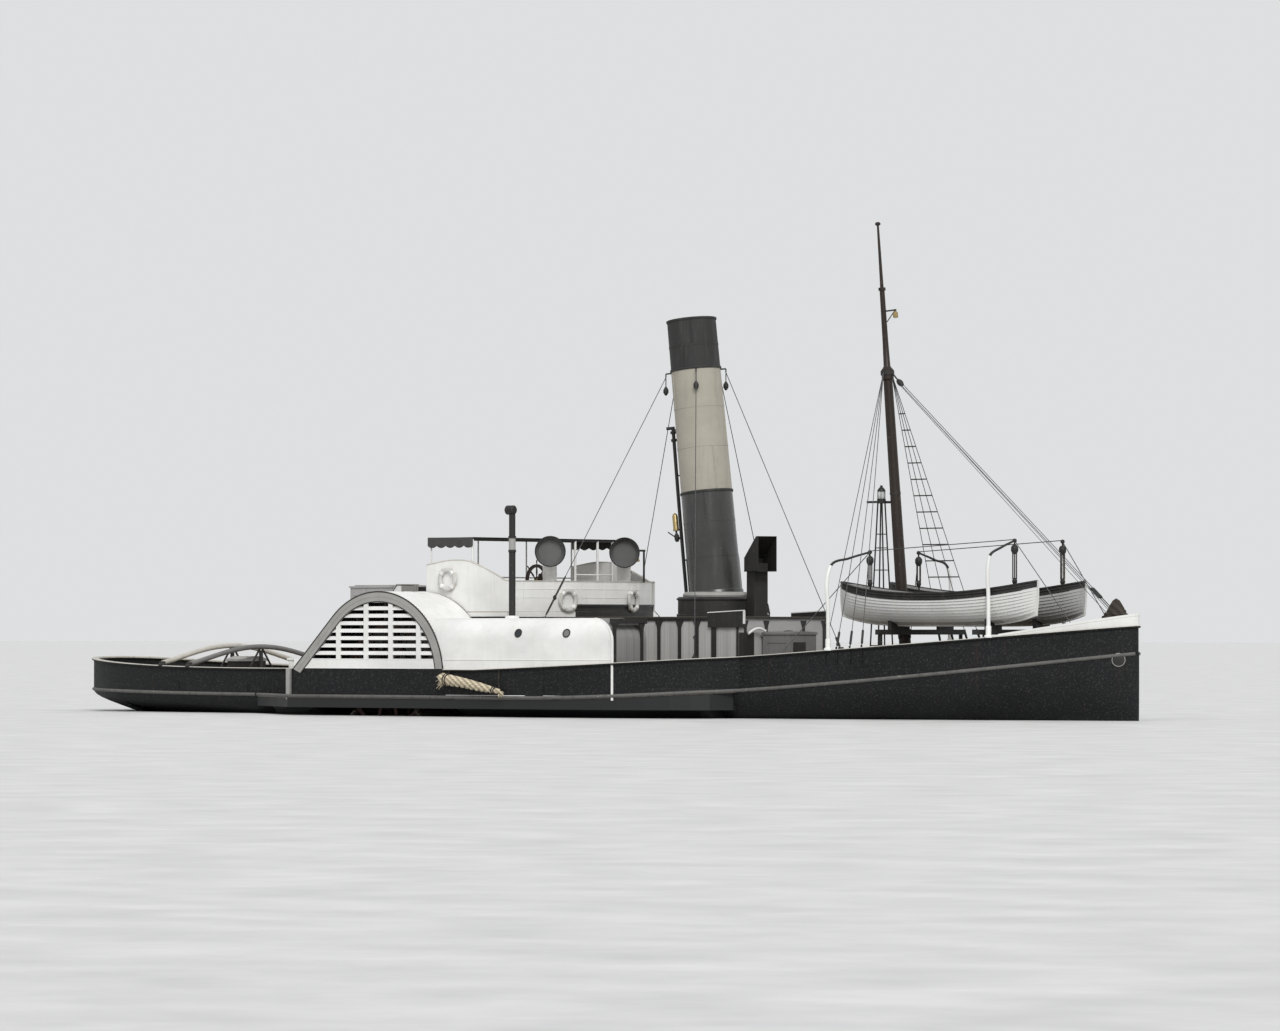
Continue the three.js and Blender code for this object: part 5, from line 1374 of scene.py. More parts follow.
def engine_skylight():
    """The skylight's two boxes with their round windows, panels and lids, and the sloped locker."""
    low = CASING_TOP + 0.001
    after = block((-7.8, -1.6, low), (-6.2, 1.6, 3.66))
    cover = block((-7.83, -1.63, 3.66), (-6.17, 1.63, 3.71))
    body = block((-6.21, -1, low), (-4.4, 1, 3.56))
    ridge = block((-5.78, -0.98, 3.5), (-4.5, 0.98, 3.68))
    parts = [(after, "grey"), (cover, "grey"), (body, "grey"), (ridge, "dark")]
    panes = []
    for x, y in ((-7.4, 1.6), (-6.6, 1.6), (-5.7, 1), (-4.95, 1)):
        for side in (-1, 1):
            panes.append(port_light((x, side * y, 3.2), (0, side, 0), 0.12))
            parts.append((framed(x - 0.3, x + 0.3, side * y, 2.92, 3.48, side, 0.045), "grey"))
    parts += glazed(panes)
    lids = [block((x, y, 3.71), (x + 0.7, y + 1.4, 3.74)) for x in (-7.72, -6.98) for y in (-1.5, 0.1)]
    parts.append((lids, "grey"))
    slope = prism([(-6.14, low), (-5.735, low), (-5.735, 3.72), (-5.886, 3.72), (-6.14, 3.42)], -1.745, -0.99)
    boards = [block((-5.74, y, low + 0.02), (-5.722, y + 0.085, 3.72)) for y in np.arange(-1.74, -1, 0.095)]
    lid = prism([(-6.16, 3.42), (-5.9, 3.735), (-5.71, 3.735), (-5.71, 3.76), (-5.91, 3.76), (-6.16, 3.46)],
                -1.77, -0.97)
    parts += [(slope, "white"), (boards, "arch"), (lid, "grey")]
    piece("skylight_and_locker", parts, "engine_skylight")


def forward_companion():
    """The dull grey box ahead of the casing, with its window, crown and pipe."""
    walls, roof = cabin(6.9, 7.85, -1.15, 0.05, DECK_Z, 2.36, 0.03, 0.03)
    window = block((7.845, -1.02, 1.78), (7.875, -0.47, 2.09))
    panels = [framed(7, 7.75, -1.15, 0.75, 2.12, -1, 0.05), framed(7, 7.75, 0.05, 0.75, 2.12, 1, 0.05)]
    crown = turned([(0.17, 0), (0.19, 0.05), (0.12, 0.1), (0, 0.11)], (7.3, -0.5, 2.31), sides=24)
    path = smooth_line([(6.92, -1.84, 2.33), (6.93, -1.6, 2.44), (6.95, -1.36, 2.47), (6.98, -1.13, 2.4)], 16)
    hood = tube(path, 0.035)
    parts = [(walls, "box_grey"), (roof, "box_grey"), (panels, "box_grey"), (window, "dark"),
             (crown, "dark"), (hood, "white")]
    piece("companion_forward_box", parts, "companion_forward")


def aft_companion():
    """The dark companion on the after deck, with its slide and door."""
    walls, roof = cabin(-13.6, -12.95, -0.5, 0.5, DECK_Z, 1.56, 0.04, 0.09)
    slide = [block((-13.56, y, 1.6), (-12.98, y + 0.04, 1.65)) for y in (-0.3, 0.26)]
    door = block((-13.625, -0.34, 0.72), (-13.6, 0.34, 1.5))
    parts = [(walls, "dark"), (roof, "grey"), (slide, "rail"), (door, "mast")]
    piece("companion_aft_box", parts, "companion_aft")


def aft_locker():
    """The white locker near the casing's after end."""
    walls, roof = cabin(-9, -8.15, -2.95, -2.25, DECK_Z, 1.62)
    battens = [block((x, -2.965, 0.55), (x + 0.08, -2.95, 1.54)) for x in (-8.95, -8.6, -8.28)]
    parts = [(walls, "white"), (roof, "white"), (battens, "white")]
    piece("deck_locker_aft", parts, "aft_locker")


class TUG_OT_skylights(bpy.types.Operator):
    """Builds the engine skylight with its windows and lids, the lockers and the two companions"""

    bl_idname = "tug.skylights"
    bl_label = "Skylights and companions"

    def execute(self, context):
        engine_skylight()
        forward_companion()
        aft_companion()
        aft_locker()
        return {"FINISHED"}


# Bridge

# The front's foot is dark from DARK_FRONT to port; the awning lies on spars at AFT_SPAR and FORE_SPAR
BRIDGE_AFT = -3.45
BRIDGE_HALF = 3.34
SCREEN_TOP = 3.81
SCREEN_WALL = 0.06
AWNING = {"aft": -3.45, "fore": -1.78, "half": 3.272, "z": 5.062}
AFT_SPAR, FORE_SPAR, SPAR_Y, SPAR_Z = -3.38, -1.85, 3.2, 5.02
DARK_FRONT = -1.2
HELM = (-2.1003, 0, 3.84)
BRIDGE_FLOOR = BRIDGE_Z + 0.001


def front_x(y):
    """The bridge's fore edge, a parabola across the ship."""
    return -0.45 + 0.83 * (1 - (np.asarray(y, float) / BRIDGE_HALF) ** 2)


def front_wall(inset, z0, z1, proud=0, start=0.012 - BRIDGE_HALF, stop=BRIDGE_HALF - 0.012):
    """A curved board between two heights, following the bridge's fore edge from start to stop."""
    y = np.linspace(start, stop, 33)
    x = front_x(y)
    rings = [np.stack([x + dx, y, np.full(33, z)], axis=-1) for dx, z in
             ((proud, z0), (proud, z1), (-inset, z1), (-inset, z0))]
    return capped(np.stack(rings, axis=1))


def screen_crest(count=40):
    """Top edge of the side screens in (x, z), from forward to aft."""
    return smooth_line([(-0.38, SCREEN_TOP), (-0.5, SCREEN_TOP), (-0.8, 3.95), (-1.41, 4.21), (-1.85, 4.36),
                        (-2.46, 4.4), (BRIDGE_AFT, 4.27)], count)


def bridge_screens():
    """Side screens under their curved crest, the bowed front, rails, posts, seams and fascia."""
    z = BRIDGE_FLOOR
    crest = screen_crest()
    floor = np.column_stack([crest[:, 0], np.full(len(crest), z)])
    outside, inside = -BRIDGE_HALF, -BRIDGE_HALF + SCREEN_WALL
    side = split_rings(lath(crest, floor, -outside, -inside), 4, [1, 2])
    side_rail = tube(stood(crest, (outside + inside) / 2), 0.032, 10, up=(0, 1, 0))
    posts = []
    for x in (-3.4, -2.45, -1.85, -0.95):
        top = float(np.interp(-x, -crest[:, 0], crest[:, 1]))
        posts.append(block((x - 0.025, outside - 0.012, z), (x + 0.025, inside + 0.012, top - 0.01)))
    front = front_wall(SCREEN_WALL, z, SCREEN_TOP)
    ledge_z = 3.1
    base = front_wall(0, z, ledge_z, 0.006, start=DARK_FRONT)
    ledge = front_wall(0.03, ledge_z, ledge_z + 0.06, 0.05, start=DARK_FRONT)
    seams = [front_wall(0, level, level + 0.018, 0.008) for level in (3.34, 3.58)]
    front_rail = front_wall(0.075, SCREEN_TOP - 0.01, SCREEN_TOP + 0.02, 0.015)
    fascia = front_wall(0, BRIDGE_Z - 0.15, BRIDGE_Z - 0.005, 0.012, start=DARK_FRONT)
    white_fascia = front_wall(0, BRIDGE_Z - 0.15, BRIDGE_Z - 0.005, 0.012, stop=DARK_FRONT)
    side_fascia = block((BRIDGE_AFT, outside - 0.01, BRIDGE_Z - 0.14), (-0.45, outside, BRIDGE_Z - 0.02))
    uprights = []
    for y in np.linspace(-2.9, 2.9, 7):
        x = front_x(y)
        uprights.append(block((x - 0.09, y - 0.02, ledge_z + 0.07), (x + 0.006, y + 0.02, SCREEN_TOP)))
    both = joined(side, to_port(side))
    parts = [
        (both, "white"), ([side_rail, to_port(side_rail)], "rail"),
        (posts, "white"), (to_port(joined(*posts)), "white"), (front, "white"), (seams, "white"),
        (front_rail, "rail"), ([fascia, base, ledge], "dark"),
        ([side_fascia, to_port(side_fascia)], "white"),
        ([*uprights, white_fascia], "white"),
        # A grey sheet just inside the port screen is painted shade on that screen's inner face; the dark upright
        # block marks its after edge.
        (prism([(-1.25, 3.7), (-1.25, 4.13), (-0.8, 3.95), (-0.45, 3.8), (-0.45, 3.7)], 3.25, 3.27), "grey"),
        (block((-1.3, 3.24, 3.7), (-1.2, 3.275, 4.14)), "dark"),
    ]
    piece("bridge_screens_boards", parts, "bridge_screens")


def awning_frame():
    """Posts and spars that the awning lies on, and the rails of the bridge's after edge."""
    z = BRIDGE_FLOOR
    posts = []
    for x, y in ((AFT_SPAR, -SPAR_Y), (FORE_SPAR, -SPAR_Y), (AFT_SPAR, SPAR_Y), (FORE_SPAR, SPAR_Y),
                 (AFT_SPAR, -1.1), (AFT_SPAR, 1.1), (FORE_SPAR, 1.46), (FORE_SPAR, 2.5), (FORE_SPAR, -1.46)):
        r = 0.024 if x == AFT_SPAR else 0.038
        posts.append(turned([(0.06, 0), (0.06, 0.03), (r, 0.05), (r, 2.08)],
                            (x, y, z), sides=12))
    spars = [bar((x, -SPAR_Y - 0.04, SPAR_Z), (x, SPAR_Y + 0.04, SPAR_Z), r, 10)
             for x, r in ((AFT_SPAR, 0.026), (FORE_SPAR, 0.04))]
    spars += [bar((AFT_SPAR - 0.02, y, SPAR_Z), (FORE_SPAR + 0.02, y, SPAR_Z), 0.026, 10)
              for y in (-SPAR_Y, -1.1, 1.1, SPAR_Y)]
    levels = (3.95, 3.6, 3.28)
    rails = [bar((AFT_SPAR, -SPAR_Y, level), (AFT_SPAR, SPAR_Y, level), 0.02) for level in levels]
    rails += [bar((AFT_SPAR, y, z), (AFT_SPAR, y, levels[0]), 0.016) for y in np.linspace(-2.4, 2.4, 5)]
    rails += [bar((FORE_SPAR, 1.46, 4.03), (FORE_SPAR, SPAR_Y, 4.03), 0.022)]
    parts = [(posts, "white"), (spars, "dark"), (rails, "white")]
    piece("awning_stanchions", parts, "awning_frame")


def bridge_bell():
    """The brass bell on its arm."""
    bell = turned([(0.1, 0), (0.11, 0.03), (0.08, 0.12), (0.06, 0.18), (0, 0.2)],
                  (-0.05, 2.02, 4.4), sides=24)
    arm = joined(bar((0.1, 2.2, 3.8), (0.1, 2.2, 4.72), 0.03), bar((0.12, 2.24, 4.72), (-0.09, 1.98, 4.72), 0.03),
                 bar((-0.05, 2.02, 4.72), (-0.05, 2.02, 4.58), 0.014))
    piece("bridge_bell", [(bell, "brass"), (arm, "dark")])


class TUG_OT_bridge(bpy.types.Operator):
    """Builds the bridge: planked deck with a fascia, screens with rails and seams, awning stanchions and bell"""

    bl_idname = "tug.bridge"
    bl_label = "Bridge"

    def execute(self, context):
        finish_nodes(["bridge_deck"], "deck")
        bridge_screens()
        awning_frame()
        bridge_bell()
        return {"FINISHED"}


class TUG_OT_awning(bpy.types.Operator):
    """Stretches the awning over its frame as one cloth, with a scalloped edge hanging at either side"""

    bl_idname = "tug.awning"
    bl_label = "Awning"

    def execute(self, context):
        sizes = context.scene.tug_sizes
        u = np.linspace(0, 1, 81)[:, None]
        x = AWNING["aft"] + (AWNING["fore"] - AWNING["aft"]) * u
        scallop = np.abs(np.sin(5 * np.pi * u))
        depth = sizes.valance * (0.8 + 0.2 * scallop)
        across_y = np.linspace(-AWNING["half"], AWNING["half"], 61)[None]
        # The cloth dips a little between the spars it is laced to
        bay = np.abs(np.sin(np.pi * (across_y + 3.2) / 2.15))
        dip = 0.035 * np.sin(np.pi * u) * bay
        top = np.stack([x + 0 * across_y, across_y + 0 * u, AWNING["z"] - dip], axis=-1)
        hang = np.linspace(1, 0, 9)[None]
        drops = []
        for side in (-1, 1):
            share = hang if side < 0 else hang[:, ::-1]
            wave = 0.012 * np.sin(10 * np.pi * u) * share
            out = side * (AWNING["half"] + 0.004 + wave)
            drop = np.stack([x + 0 * share, out, AWNING["z"] - depth * share], axis=-1)
            drops.append(drop[:, :-1] if side < 0 else drop[:, 1:])
        surface = grid(np.concatenate([drops[0], top, drops[1]], axis=1))
        made = piece("awning_cloth", [((surface[0], [surface[1]]), "canvas")], "awning")
        thickness = made.modifiers.new("Cloth", "SOLIDIFY")
        thickness.thickness = 0.006
        thickness.offset = 0
        return {"FINISHED"}


def helm_wheel():
    """The steering wheel: rim, banded edges, eight turned spokes with handles, and a brass hub."""
    centre = np.array(HELM)
    rim = turned([(0.4, -0.035), (0.48, -0.035), (0.485, -0.02), (0.485, 0.02), (0.48, 0.035), (0.4, 0.035),
                  (0.395, 0.02), (0.395, -0.02)], centre, AHEAD, 48, closed=True)
    bands = [hoop(centre + [dx, 0, 0], AHEAD, r, 0.008, 48, 6) for dx in (-0.036, 0.036) for r in (0.41, 0.47)]
    hub = turned([(0.05, -0.06), (0.08, -0.045), (0.085, 0.045), (0.06, 0.06), (0, 0.09)],
                 centre, AHEAD, 24)
    profile = [(0.026, 0.05), (0.03, 0.12), (0.016, 0.15), (0.028, 0.24), (0.024, 0.33), (0.018, 0.4),
               (0.018, 0.48), (0.013, 0.5), (0.02, 0.55), (0.017, 0.6), (0, 0.618)]
    spokes = []
    for number in range(8):
        a = number * math.pi / 4
        spokes.append(turned(profile, centre, (0, math.cos(a), math.sin(a)), 12))
    parts = [(rim, "mast"), (spokes, "mast"), (bands, "mast"), (hub, "brass")]
    piece("helm_wheel", parts, "steering_wheel", body="steering_wheel")


def helm_stand():
    """The grating, the pedestal with its axle bearing, and the binnacle ahead of it."""
    floor_z = BRIDGE_FLOOR
    grating = [block((-2.7, y, floor_z), (-0.95, y + 0.05, floor_z + 0.06)) for y in np.arange(-0.45, 0.4, 0.1)]
    grating += [block((x, -0.45, floor_z + 0.01), (x + 0.05, 0.45, floor_z + 0.05))
                for x in np.arange(-2.7, -0.95, 0.17)]
    box_x = -1.95
    pedestal = prism([(box_x, floor_z + 0.05), (box_x + 0.26, floor_z + 0.05), (box_x + 0.22, 3.9),
                      (box_x + 0.13, 4.05), (box_x + 0.04, 4.05), (box_x, 3.9)], -0.15, 0.15)
    axle = turned([(0.09, -0.06), (0.09, 0.01)], (box_x, 0, HELM[2]), AHEAD, 24)
    stand = turned([(0.19, 0), (0.19, 0.06), (0.12, 0.1), (0.1, 0.3), (0.12, 0.46), (0.19, 0.51),
                    (0.19, 0.56)], (-1.25, 0, floor_z + 0.05))
    dome = turned([(0.18, 0.56), (0.17, 0.65), (0.12, 0.71), (0.05, 0.745), (0, 0.75)],
                  (-1.25, 0, floor_z + 0.05))
    parts = [(grating, "roof"), (pedestal, "mast"), (axle, "brass"), (stand, "mast"), (dome, "dark")]
    piece("helm_stand", parts, "wheel_pedestal")


class TUG_OT_helm(bpy.types.Operator):
    """Builds the steering wheel with its turned spokes, and the grating, pedestal and binnacle it stands by"""

    bl_idname = "tug.helm"
    bl_label = "Helm"

    def execute(self, context):
        helm_wheel()
        helm_stand()
        return {"FINISHED"}


def cowls():
    """Rings carried from a level foot to an upright mouth and back inside; both cowls are turned to starboard."""
    # Columns: distance along the facing, height, radius, turn of the ring from level to upright in radians
    lines_of_cowl = smooth_line([
        (0, 0, 0.2, 0), (0, 0.5, 0.2, 0), (0, 1, 0.2, 0), (0.02, 1.26, 0.205, 0.3), (0.1, 1.5, 0.22, 0.76),
        (0.24, 1.65, 0.25, 1.2), (0.4, 1.7, 0.29, 1.48), (0.52, 1.7, 0.34, 1.57), (0.62, 1.7, 0.4, 1.57),
        (0.71, 1.7, 0.43, 1.57),
    ], 44)
    mouth_x, mouth_z = lines_of_cowl[-1, :2]
    inner_lines = lines_of_cowl[:15:-1].copy()
    inner_lines[:, 2] -= 0.018
    for side, y in (("starboard", -1.7), ("port", 1.7)):
        base = (-0.25, y, BRIDGE_FLOOR)
        skins = []
        for table in (lines_of_cowl, inner_lines):
            reach, rise, radius, lean = (table[:, i][:, None] for i in range(4))
            a = full_turn(40)[None]
            px = reach + radius * np.cos(a) * np.cos(lean)
            pz = rise - radius * np.cos(a) * np.sin(lean)
            skins.append(np.stack([px, radius * np.sin(a) + 0 * px, pz], axis=-1))
        shell = split_length(capped(np.concatenate(skins)), 40, [len(lines_of_cowl)])
        lip = hoop((mouth_x, 0, mouth_z), AHEAD, 0.425, 0.016, 40, 8)
        bands = [collar(0.2, 0.212, level, level + 0.05, sides=40) for level in (0.02, 1.05)]
        gauze = turned([(0.415, 0.5), (0.415, 0.52)], (0, 0, mouth_z), AHEAD, 40)
        whole = [(shell, ["white", "vent", "vent"]), (lip, "dark"), (gauze, "vent"), (bands, "white")]
        parts = changed(changed(whole, swung, -50), moved, base)
        piece(f"cowl_{side}", parts, f"cowl_vent_{side}", crease=50)


def square_vent():
    """The square shaft and its hood, a bent back between two cheeks, turned a little to starboard."""
    foot = (5.84, 0, 0)
    shaft = block((-0.217, -0.217, CASING_TOP + 0.001), (0.217, 0.217, 4.3))
    coaming = block((-0.26, -0.26, CASING_TOP + 0.001), (0.26, 0.26, CASING_TOP + 0.06))
    outer_back = [(0.58, 5.048), (0.47, 5.048), (-0.217, 4.45), (-0.217, 4.06)]
    inner_back = [(0.58, 4.06), (0.58, 4.08), (-0.2, 4.08), (-0.2, 4.44), (0.475, 5.03), (0.58, 5.03)]
    back = prism([*inner_back, *outer_back], -0.3, 0.3)
    cheek = [(0.58, 4.06), *outer_back]
    cheeks = [prism(cheek, side * 0.285, side * 0.3) for side in (-1, 1)]
    made = joined(shaft, coaming, back, *cheeks)
    piece("square_vent_hood", [(moved(swung(made, -24), foot), "dark")], "square_vent")


class TUG_OT_vents(bpy.types.Operator):
    """Builds the two cowl ventilators on the bridge and the square one with its hood, ahead of the funnel"""

    bl_idname = "tug.vents"
    bl_label = "Ventilators"

    def execute(self, context):
        cowls()
        square_vent()
        return {"FINISHED"}


# Funnel and its pipes

FUNNEL_FOOT = (FUNNEL["x"], 0, FUNNEL["z"])


def funnel_r(z):
    """Radius of the funnel at a height above its foot."""
    return FUNNEL["base"] + (FUNNEL["top"] - FUNNEL["base"]) * z / FUNNEL["length"]


def on_funnel(surface):
    """A shape made upright about the funnel's foot, moved there and leant aft with it."""
    return leaning(moved(surface, FUNNEL_FOOT), FUNNEL["rake"], FUNNEL_FOOT)


def funnel_point(degrees, z, proud=0):
    """A place on the funnel's skin: bearing from forward round to port, and height above its foot."""
    a = math.radians(degrees)
    r = funnel_r(z) + proud
    point = np.array([[r * math.cos(a), r * math.sin(a), z]])
    return on_funnel((point, []))[0][0]


def bottlescrew(start, end, reach, length=0.34):
    """Screw body, lock nuts and shackle of a wire, at a reach from its start towards its end."""
    start, end = np.asarray(start, float), np.asarray(end, float)
    along = unit(end - start)
    low = start + along * reach
    barrel = turned([(0.022, 0), (0.034, 0.03), (0.034, length - 0.03), (0.022, length)],
                    low, along, 10)
    return joined(barrel, bar(start, low, 0.013, 6))


GUY_Z = 6.47
# Columns: bearing of the lug on the funnel in degrees, foot forward and to port, what stretches the guy
FUNNEL_GUYS = ((-142, 1.23, -3.75, "rod"), (-52, 6.75, -4.07, "link"), (38, 10.74, -2.75, "screw"),
               (75, 3.3, 4, "screw"), (168, -1.8, 4.25, "screw"))


def guy_parts(radius):
    """Lugs of the funnel's upper hoop, and from each a wire with its purchase and a block on a short strop."""
    wires, irons, blocks = [], [], []
    for bearing, x, y, purchase in FUNNEL_GUYS:
        lug = funnel_point(bearing, GUY_Z, 0.15)
        eye = lug - [0, 0, 0.1]
        on_house = abs(y) > HOUSE_IN and x < HOUSE_FORE_X
        low = HOUSE_TOP + 0.001 if on_house else rail_z(x) - 0.04
        foot = np.array([x, y, low + 0.03])
        way = unit(eye - foot)
        wires.append(bar(foot, eye, radius))
        irons.append(block((x - 0.055, y - 0.055, low), (x + 0.055, y + 0.055, low + (0.04 if on_house else 0.09))))
        irons += [bar(funnel_point(bearing, GUY_Z), lug, 0.022), bar(lug, eye, 0.018)]
        blocks.append(turned([(0, 0), (0.03, 0.02), (0.075, 0.09), (0.075, 0.17), (0.03, 0.25), (0, 0.27)],
                             lug - [0, 0, 0.62], sides=14))
        blocks.append(bar(lug - [0, 0, 0.36], eye, 0.014, 6))
        if purchase == "rod":
            irons.append(turned([(0, 0), (0.02, 0.02), (0.028, 0.1), (0.028, 1.15), (0.018, 1.25), (0, 1.27)],
                                foot + way * 0.05, way, 12))
            irons.append(hoop(foot + way * 0.62, AHEAD, 0.05, 0.022, 20, 8))
        elif purchase == "link":
            irons += [hoop(foot + way * reach, AHEAD, 0.045, 0.016, 20, 8) for reach in (0.1, 0.66)]
            irons.append(bar(foot + way * 0.14, foot + way * 0.62, 0.02))
        else:
            irons.append(bottlescrew(foot, eye, 0.1))
    return [(wires, "wire"), (irons, "dark"), (blocks, "dark")]


def funnel_plates(sizes):
    """The funnel's shell in three paints, its two hoops, the laps round it and the seams down it."""
    length = FUNNEL["length"]
    sides = 72
    breaks = [0, 0.23, sizes.funnel_band, sizes.funnel_head, length]
    profile = [(funnel_r(0) - 0.03, 0), (funnel_r(0) + 0.04, 0.001), (funnel_r(0) + 0.04, 0.2),
               (funnel_r(0) + 0.02, 0.23)]
    for low, high in zip(breaks[1:-1], breaks[2:]):
        profile += [(funnel_r(z), z) for z in np.linspace(low + 0.001, high, 6)]
    profile += [(funnel_r(length) + 0.012, length - 0.07), (funnel_r(length) + 0.025, length - 0.05),
                (funnel_r(length) + 0.025, length - 0.01), (funnel_r(length) + 0.01, length),
                (funnel_r(length) - 0.025, length), (funnel_r(length) - 0.04, length - 0.05)]
    profile += [(funnel_r(z) - 0.04, z) for z in np.linspace(length - 0.4, 0.6, 5)]
    skin = split_length(turned(profile, sides=sides, to_axis=False), sides, [3, 9, 15])
    named = ["funnel", "funnel", "buff", "soot", "soot"]
    hoops = []
    for z in (sizes.funnel_band, sizes.funnel_head):
        r = funnel_r(z)
        hoops.append(turned([(r - 0.01, z - 0.035), (r + 0.02, z - 0.035), (r + 0.028, z - 0.02),
                             (r + 0.028, z + 0.02), (r + 0.02, z + 0.035), (r - 0.01, z + 0.035)],
                            sides=sides, closed=True))
    laps = []
    for z in (1.15, 2.15, 4.27, 5.4, 7.15):
        r = funnel_r(z)
        lap = [(r - 0.004, z), (r + 0.006, z + 0.003), (r + 0.006, z + 0.07), (r - 0.004, z + 0.073)]
        laps.append(turned(lap, sides=sides, closed=True))
    lap_paint = ["funnel", "funnel", "buff", "buff", "soot"]
    parts = [(on_funnel(skin), named), (on_funnel(joined(*hoops)), "soot")]
    parts += [(on_funnel(lap), paint_name) for lap, paint_name in zip(laps, lap_paint)]
    for z0, z1, paint_name in ((0.25, 1.15, "funnel"), (1.22, 2.15, "funnel"), (2.22, 2.97, "funnel"),
                               (3.07, 4.27, "buff"), (4.34, 5.4, "buff"), (5.47, 6.47, "buff"),
                               (6.57, 7.15, "soot"), (7.22, 7.86, "soot")):
        turn = 37 * (z0 + 1) % 180
        for degrees in (turn - 180, turn):
            a = math.radians(degrees)
            foot, head = ([(funnel_r(z) + 0.004) * math.cos(a), (funnel_r(z) + 0.004) * math.sin(a), z]
                          for z in (z0, z1))
            parts.append((on_funnel(bar(foot, head, 0.018, 6)), paint_name))
    piece("funnel_plates", parts, "funnel")


def funnel_plinth():
    """The funnel's round casing on the roof, its ring of bolts and the pale ledge on top."""
    floor = CASING_TOP + 0.001
    plinth = turned([(1.115, floor), (1.115, floor + 0.06), (1.08, floor + 0.08), (1.08, 3.26),
                     (1.12, 3.28), (1.12, 3.31), (1.05, 3.36)], (FUNNEL["x"], 0, 0), sides=56)
    bolts = []
    for a in np.radians(np.arange(0, 360, 20)):
        foot = (FUNNEL["x"] + 1.1 * math.cos(a), 1.1 * math.sin(a), floor + 0.055)
        bolts.append(turned([(0.02, 0), (0.016, 0.02), (0, 0.025)], foot, sides=6))
    ledge = turned([(0.72, 3.36), (0.93, 3.36), (0.945, 3.41), (0.92, 3.46), (0.84, 3.5), (0.72, 3.5)],
                   (FUNNEL["x"], 0, 0), sides=48, closed=True)
    piece("funnel_casing", [(plinth, "dark"), (bolts, "dark"), (ledge, "arch")], "funnel_plinth")


def steam_pipe():
    """The pipe abaft the funnel with its clips and collars, and the whistle with its valve and lever."""
    pipe_x, y = -funnel_r(0) - 0.155, -0.18
    head = np.array([pipe_x + 0.05, y, 4.98])
    path = smooth_line([(pipe_x, y, -0.02), (pipe_x + 0.006, y, 1.5), (pipe_x + 0.02, y, 3), head], 24)
    pipe = tube(path, 0.05, 16, up=(0, 1, 0))
    collars = [collar(0.045, 0.085, z, z + 0.07, (pipe_x + 0.045, y, 0), sides=20) for z in (4.58, 4.8)]
    cross = bar(head + [0.04, 0.03, -0.02], head + [-0.15, -0.12, -0.02], 0.045, 10)
    at = (pipe_x - 0.1, y - 0.08, 0)
    whistle = turned([(0.085, 2.05), (0.088, 2.09), (0.08, 2.12), (0.08, 2.46), (0.06, 2.52),
                      (0.025, 2.55), (0, 2.56)], at, sides=24)
    valve = joined(turned([(0.04, 1.74), (0.07, 1.8), (0.07, 1.92), (0.03, 1.98), (0.03, 2.05)], at, sides=16),
                   bar((pipe_x + 0.01, y, 1.84), (at[0], at[1], 1.84), 0.035),
                   bar((at[0], at[1], 1.84), (at[0] - 0.22, at[1] - 0.1, 2.04), 0.018))
    clips = [block((pipe_x, y - 0.02, z - 0.02), (0.05 - funnel_r(z), y + 0.02, z + 0.02))
             for z in (1.2, 3.6, 4.9)]
    flange = turned([(0.09, 0), (0.09, 0.03)], (pipe_x, y, 0.07), sides=20)
    parts = [(pipe, "dark"), (whistle, "brass"), ([*clips, *collars, cross, valve, flange], "dark")]
    piece("steam_pipe_and_whistle", changed(parts, on_funnel),
          "steam_pipe")


class TUG_OT_funnel(bpy.types.Operator):
    """Builds the funnel: plated foot, pale band and black top, hoops, plinth, guys, steam pipe and whistle"""

    bl_idname = "tug.funnel"
    bl_label = "Funnel"

    def execute(self, context):
        sizes = context.scene.tug_sizes
        funnel_plates(sizes)
        funnel_plinth()
        piece("funnel_guy_wires", guy_parts(sizes.guy), "funnel_guys")
        steam_pipe()
        return {"FINISHED"}


# Mast and rigging

MAST_FOOT = (MAST["x"], 0, deck_z(MAST["x"]))
SHROUD_XS = (10.3, 10.65, 11.05, 11.4)
PORT_SHROUD_XS = (10.1, 10.6, 11.15, 11.65)


def on_mast(surface):
    """A shape made upright about the mast's foot, moved there and leant aft with it."""
    return leaning(moved(surface, MAST_FOOT), MAST["rake"], MAST_FOOT)


def mast_point(z):
    """Centre of the mast at a height above its foot."""
    a = math.radians(MAST["rake"])
    return np.array([MAST_FOOT[0] - z * math.sin(a), 0, MAST_FOOT[2] + z * math.cos(a)])


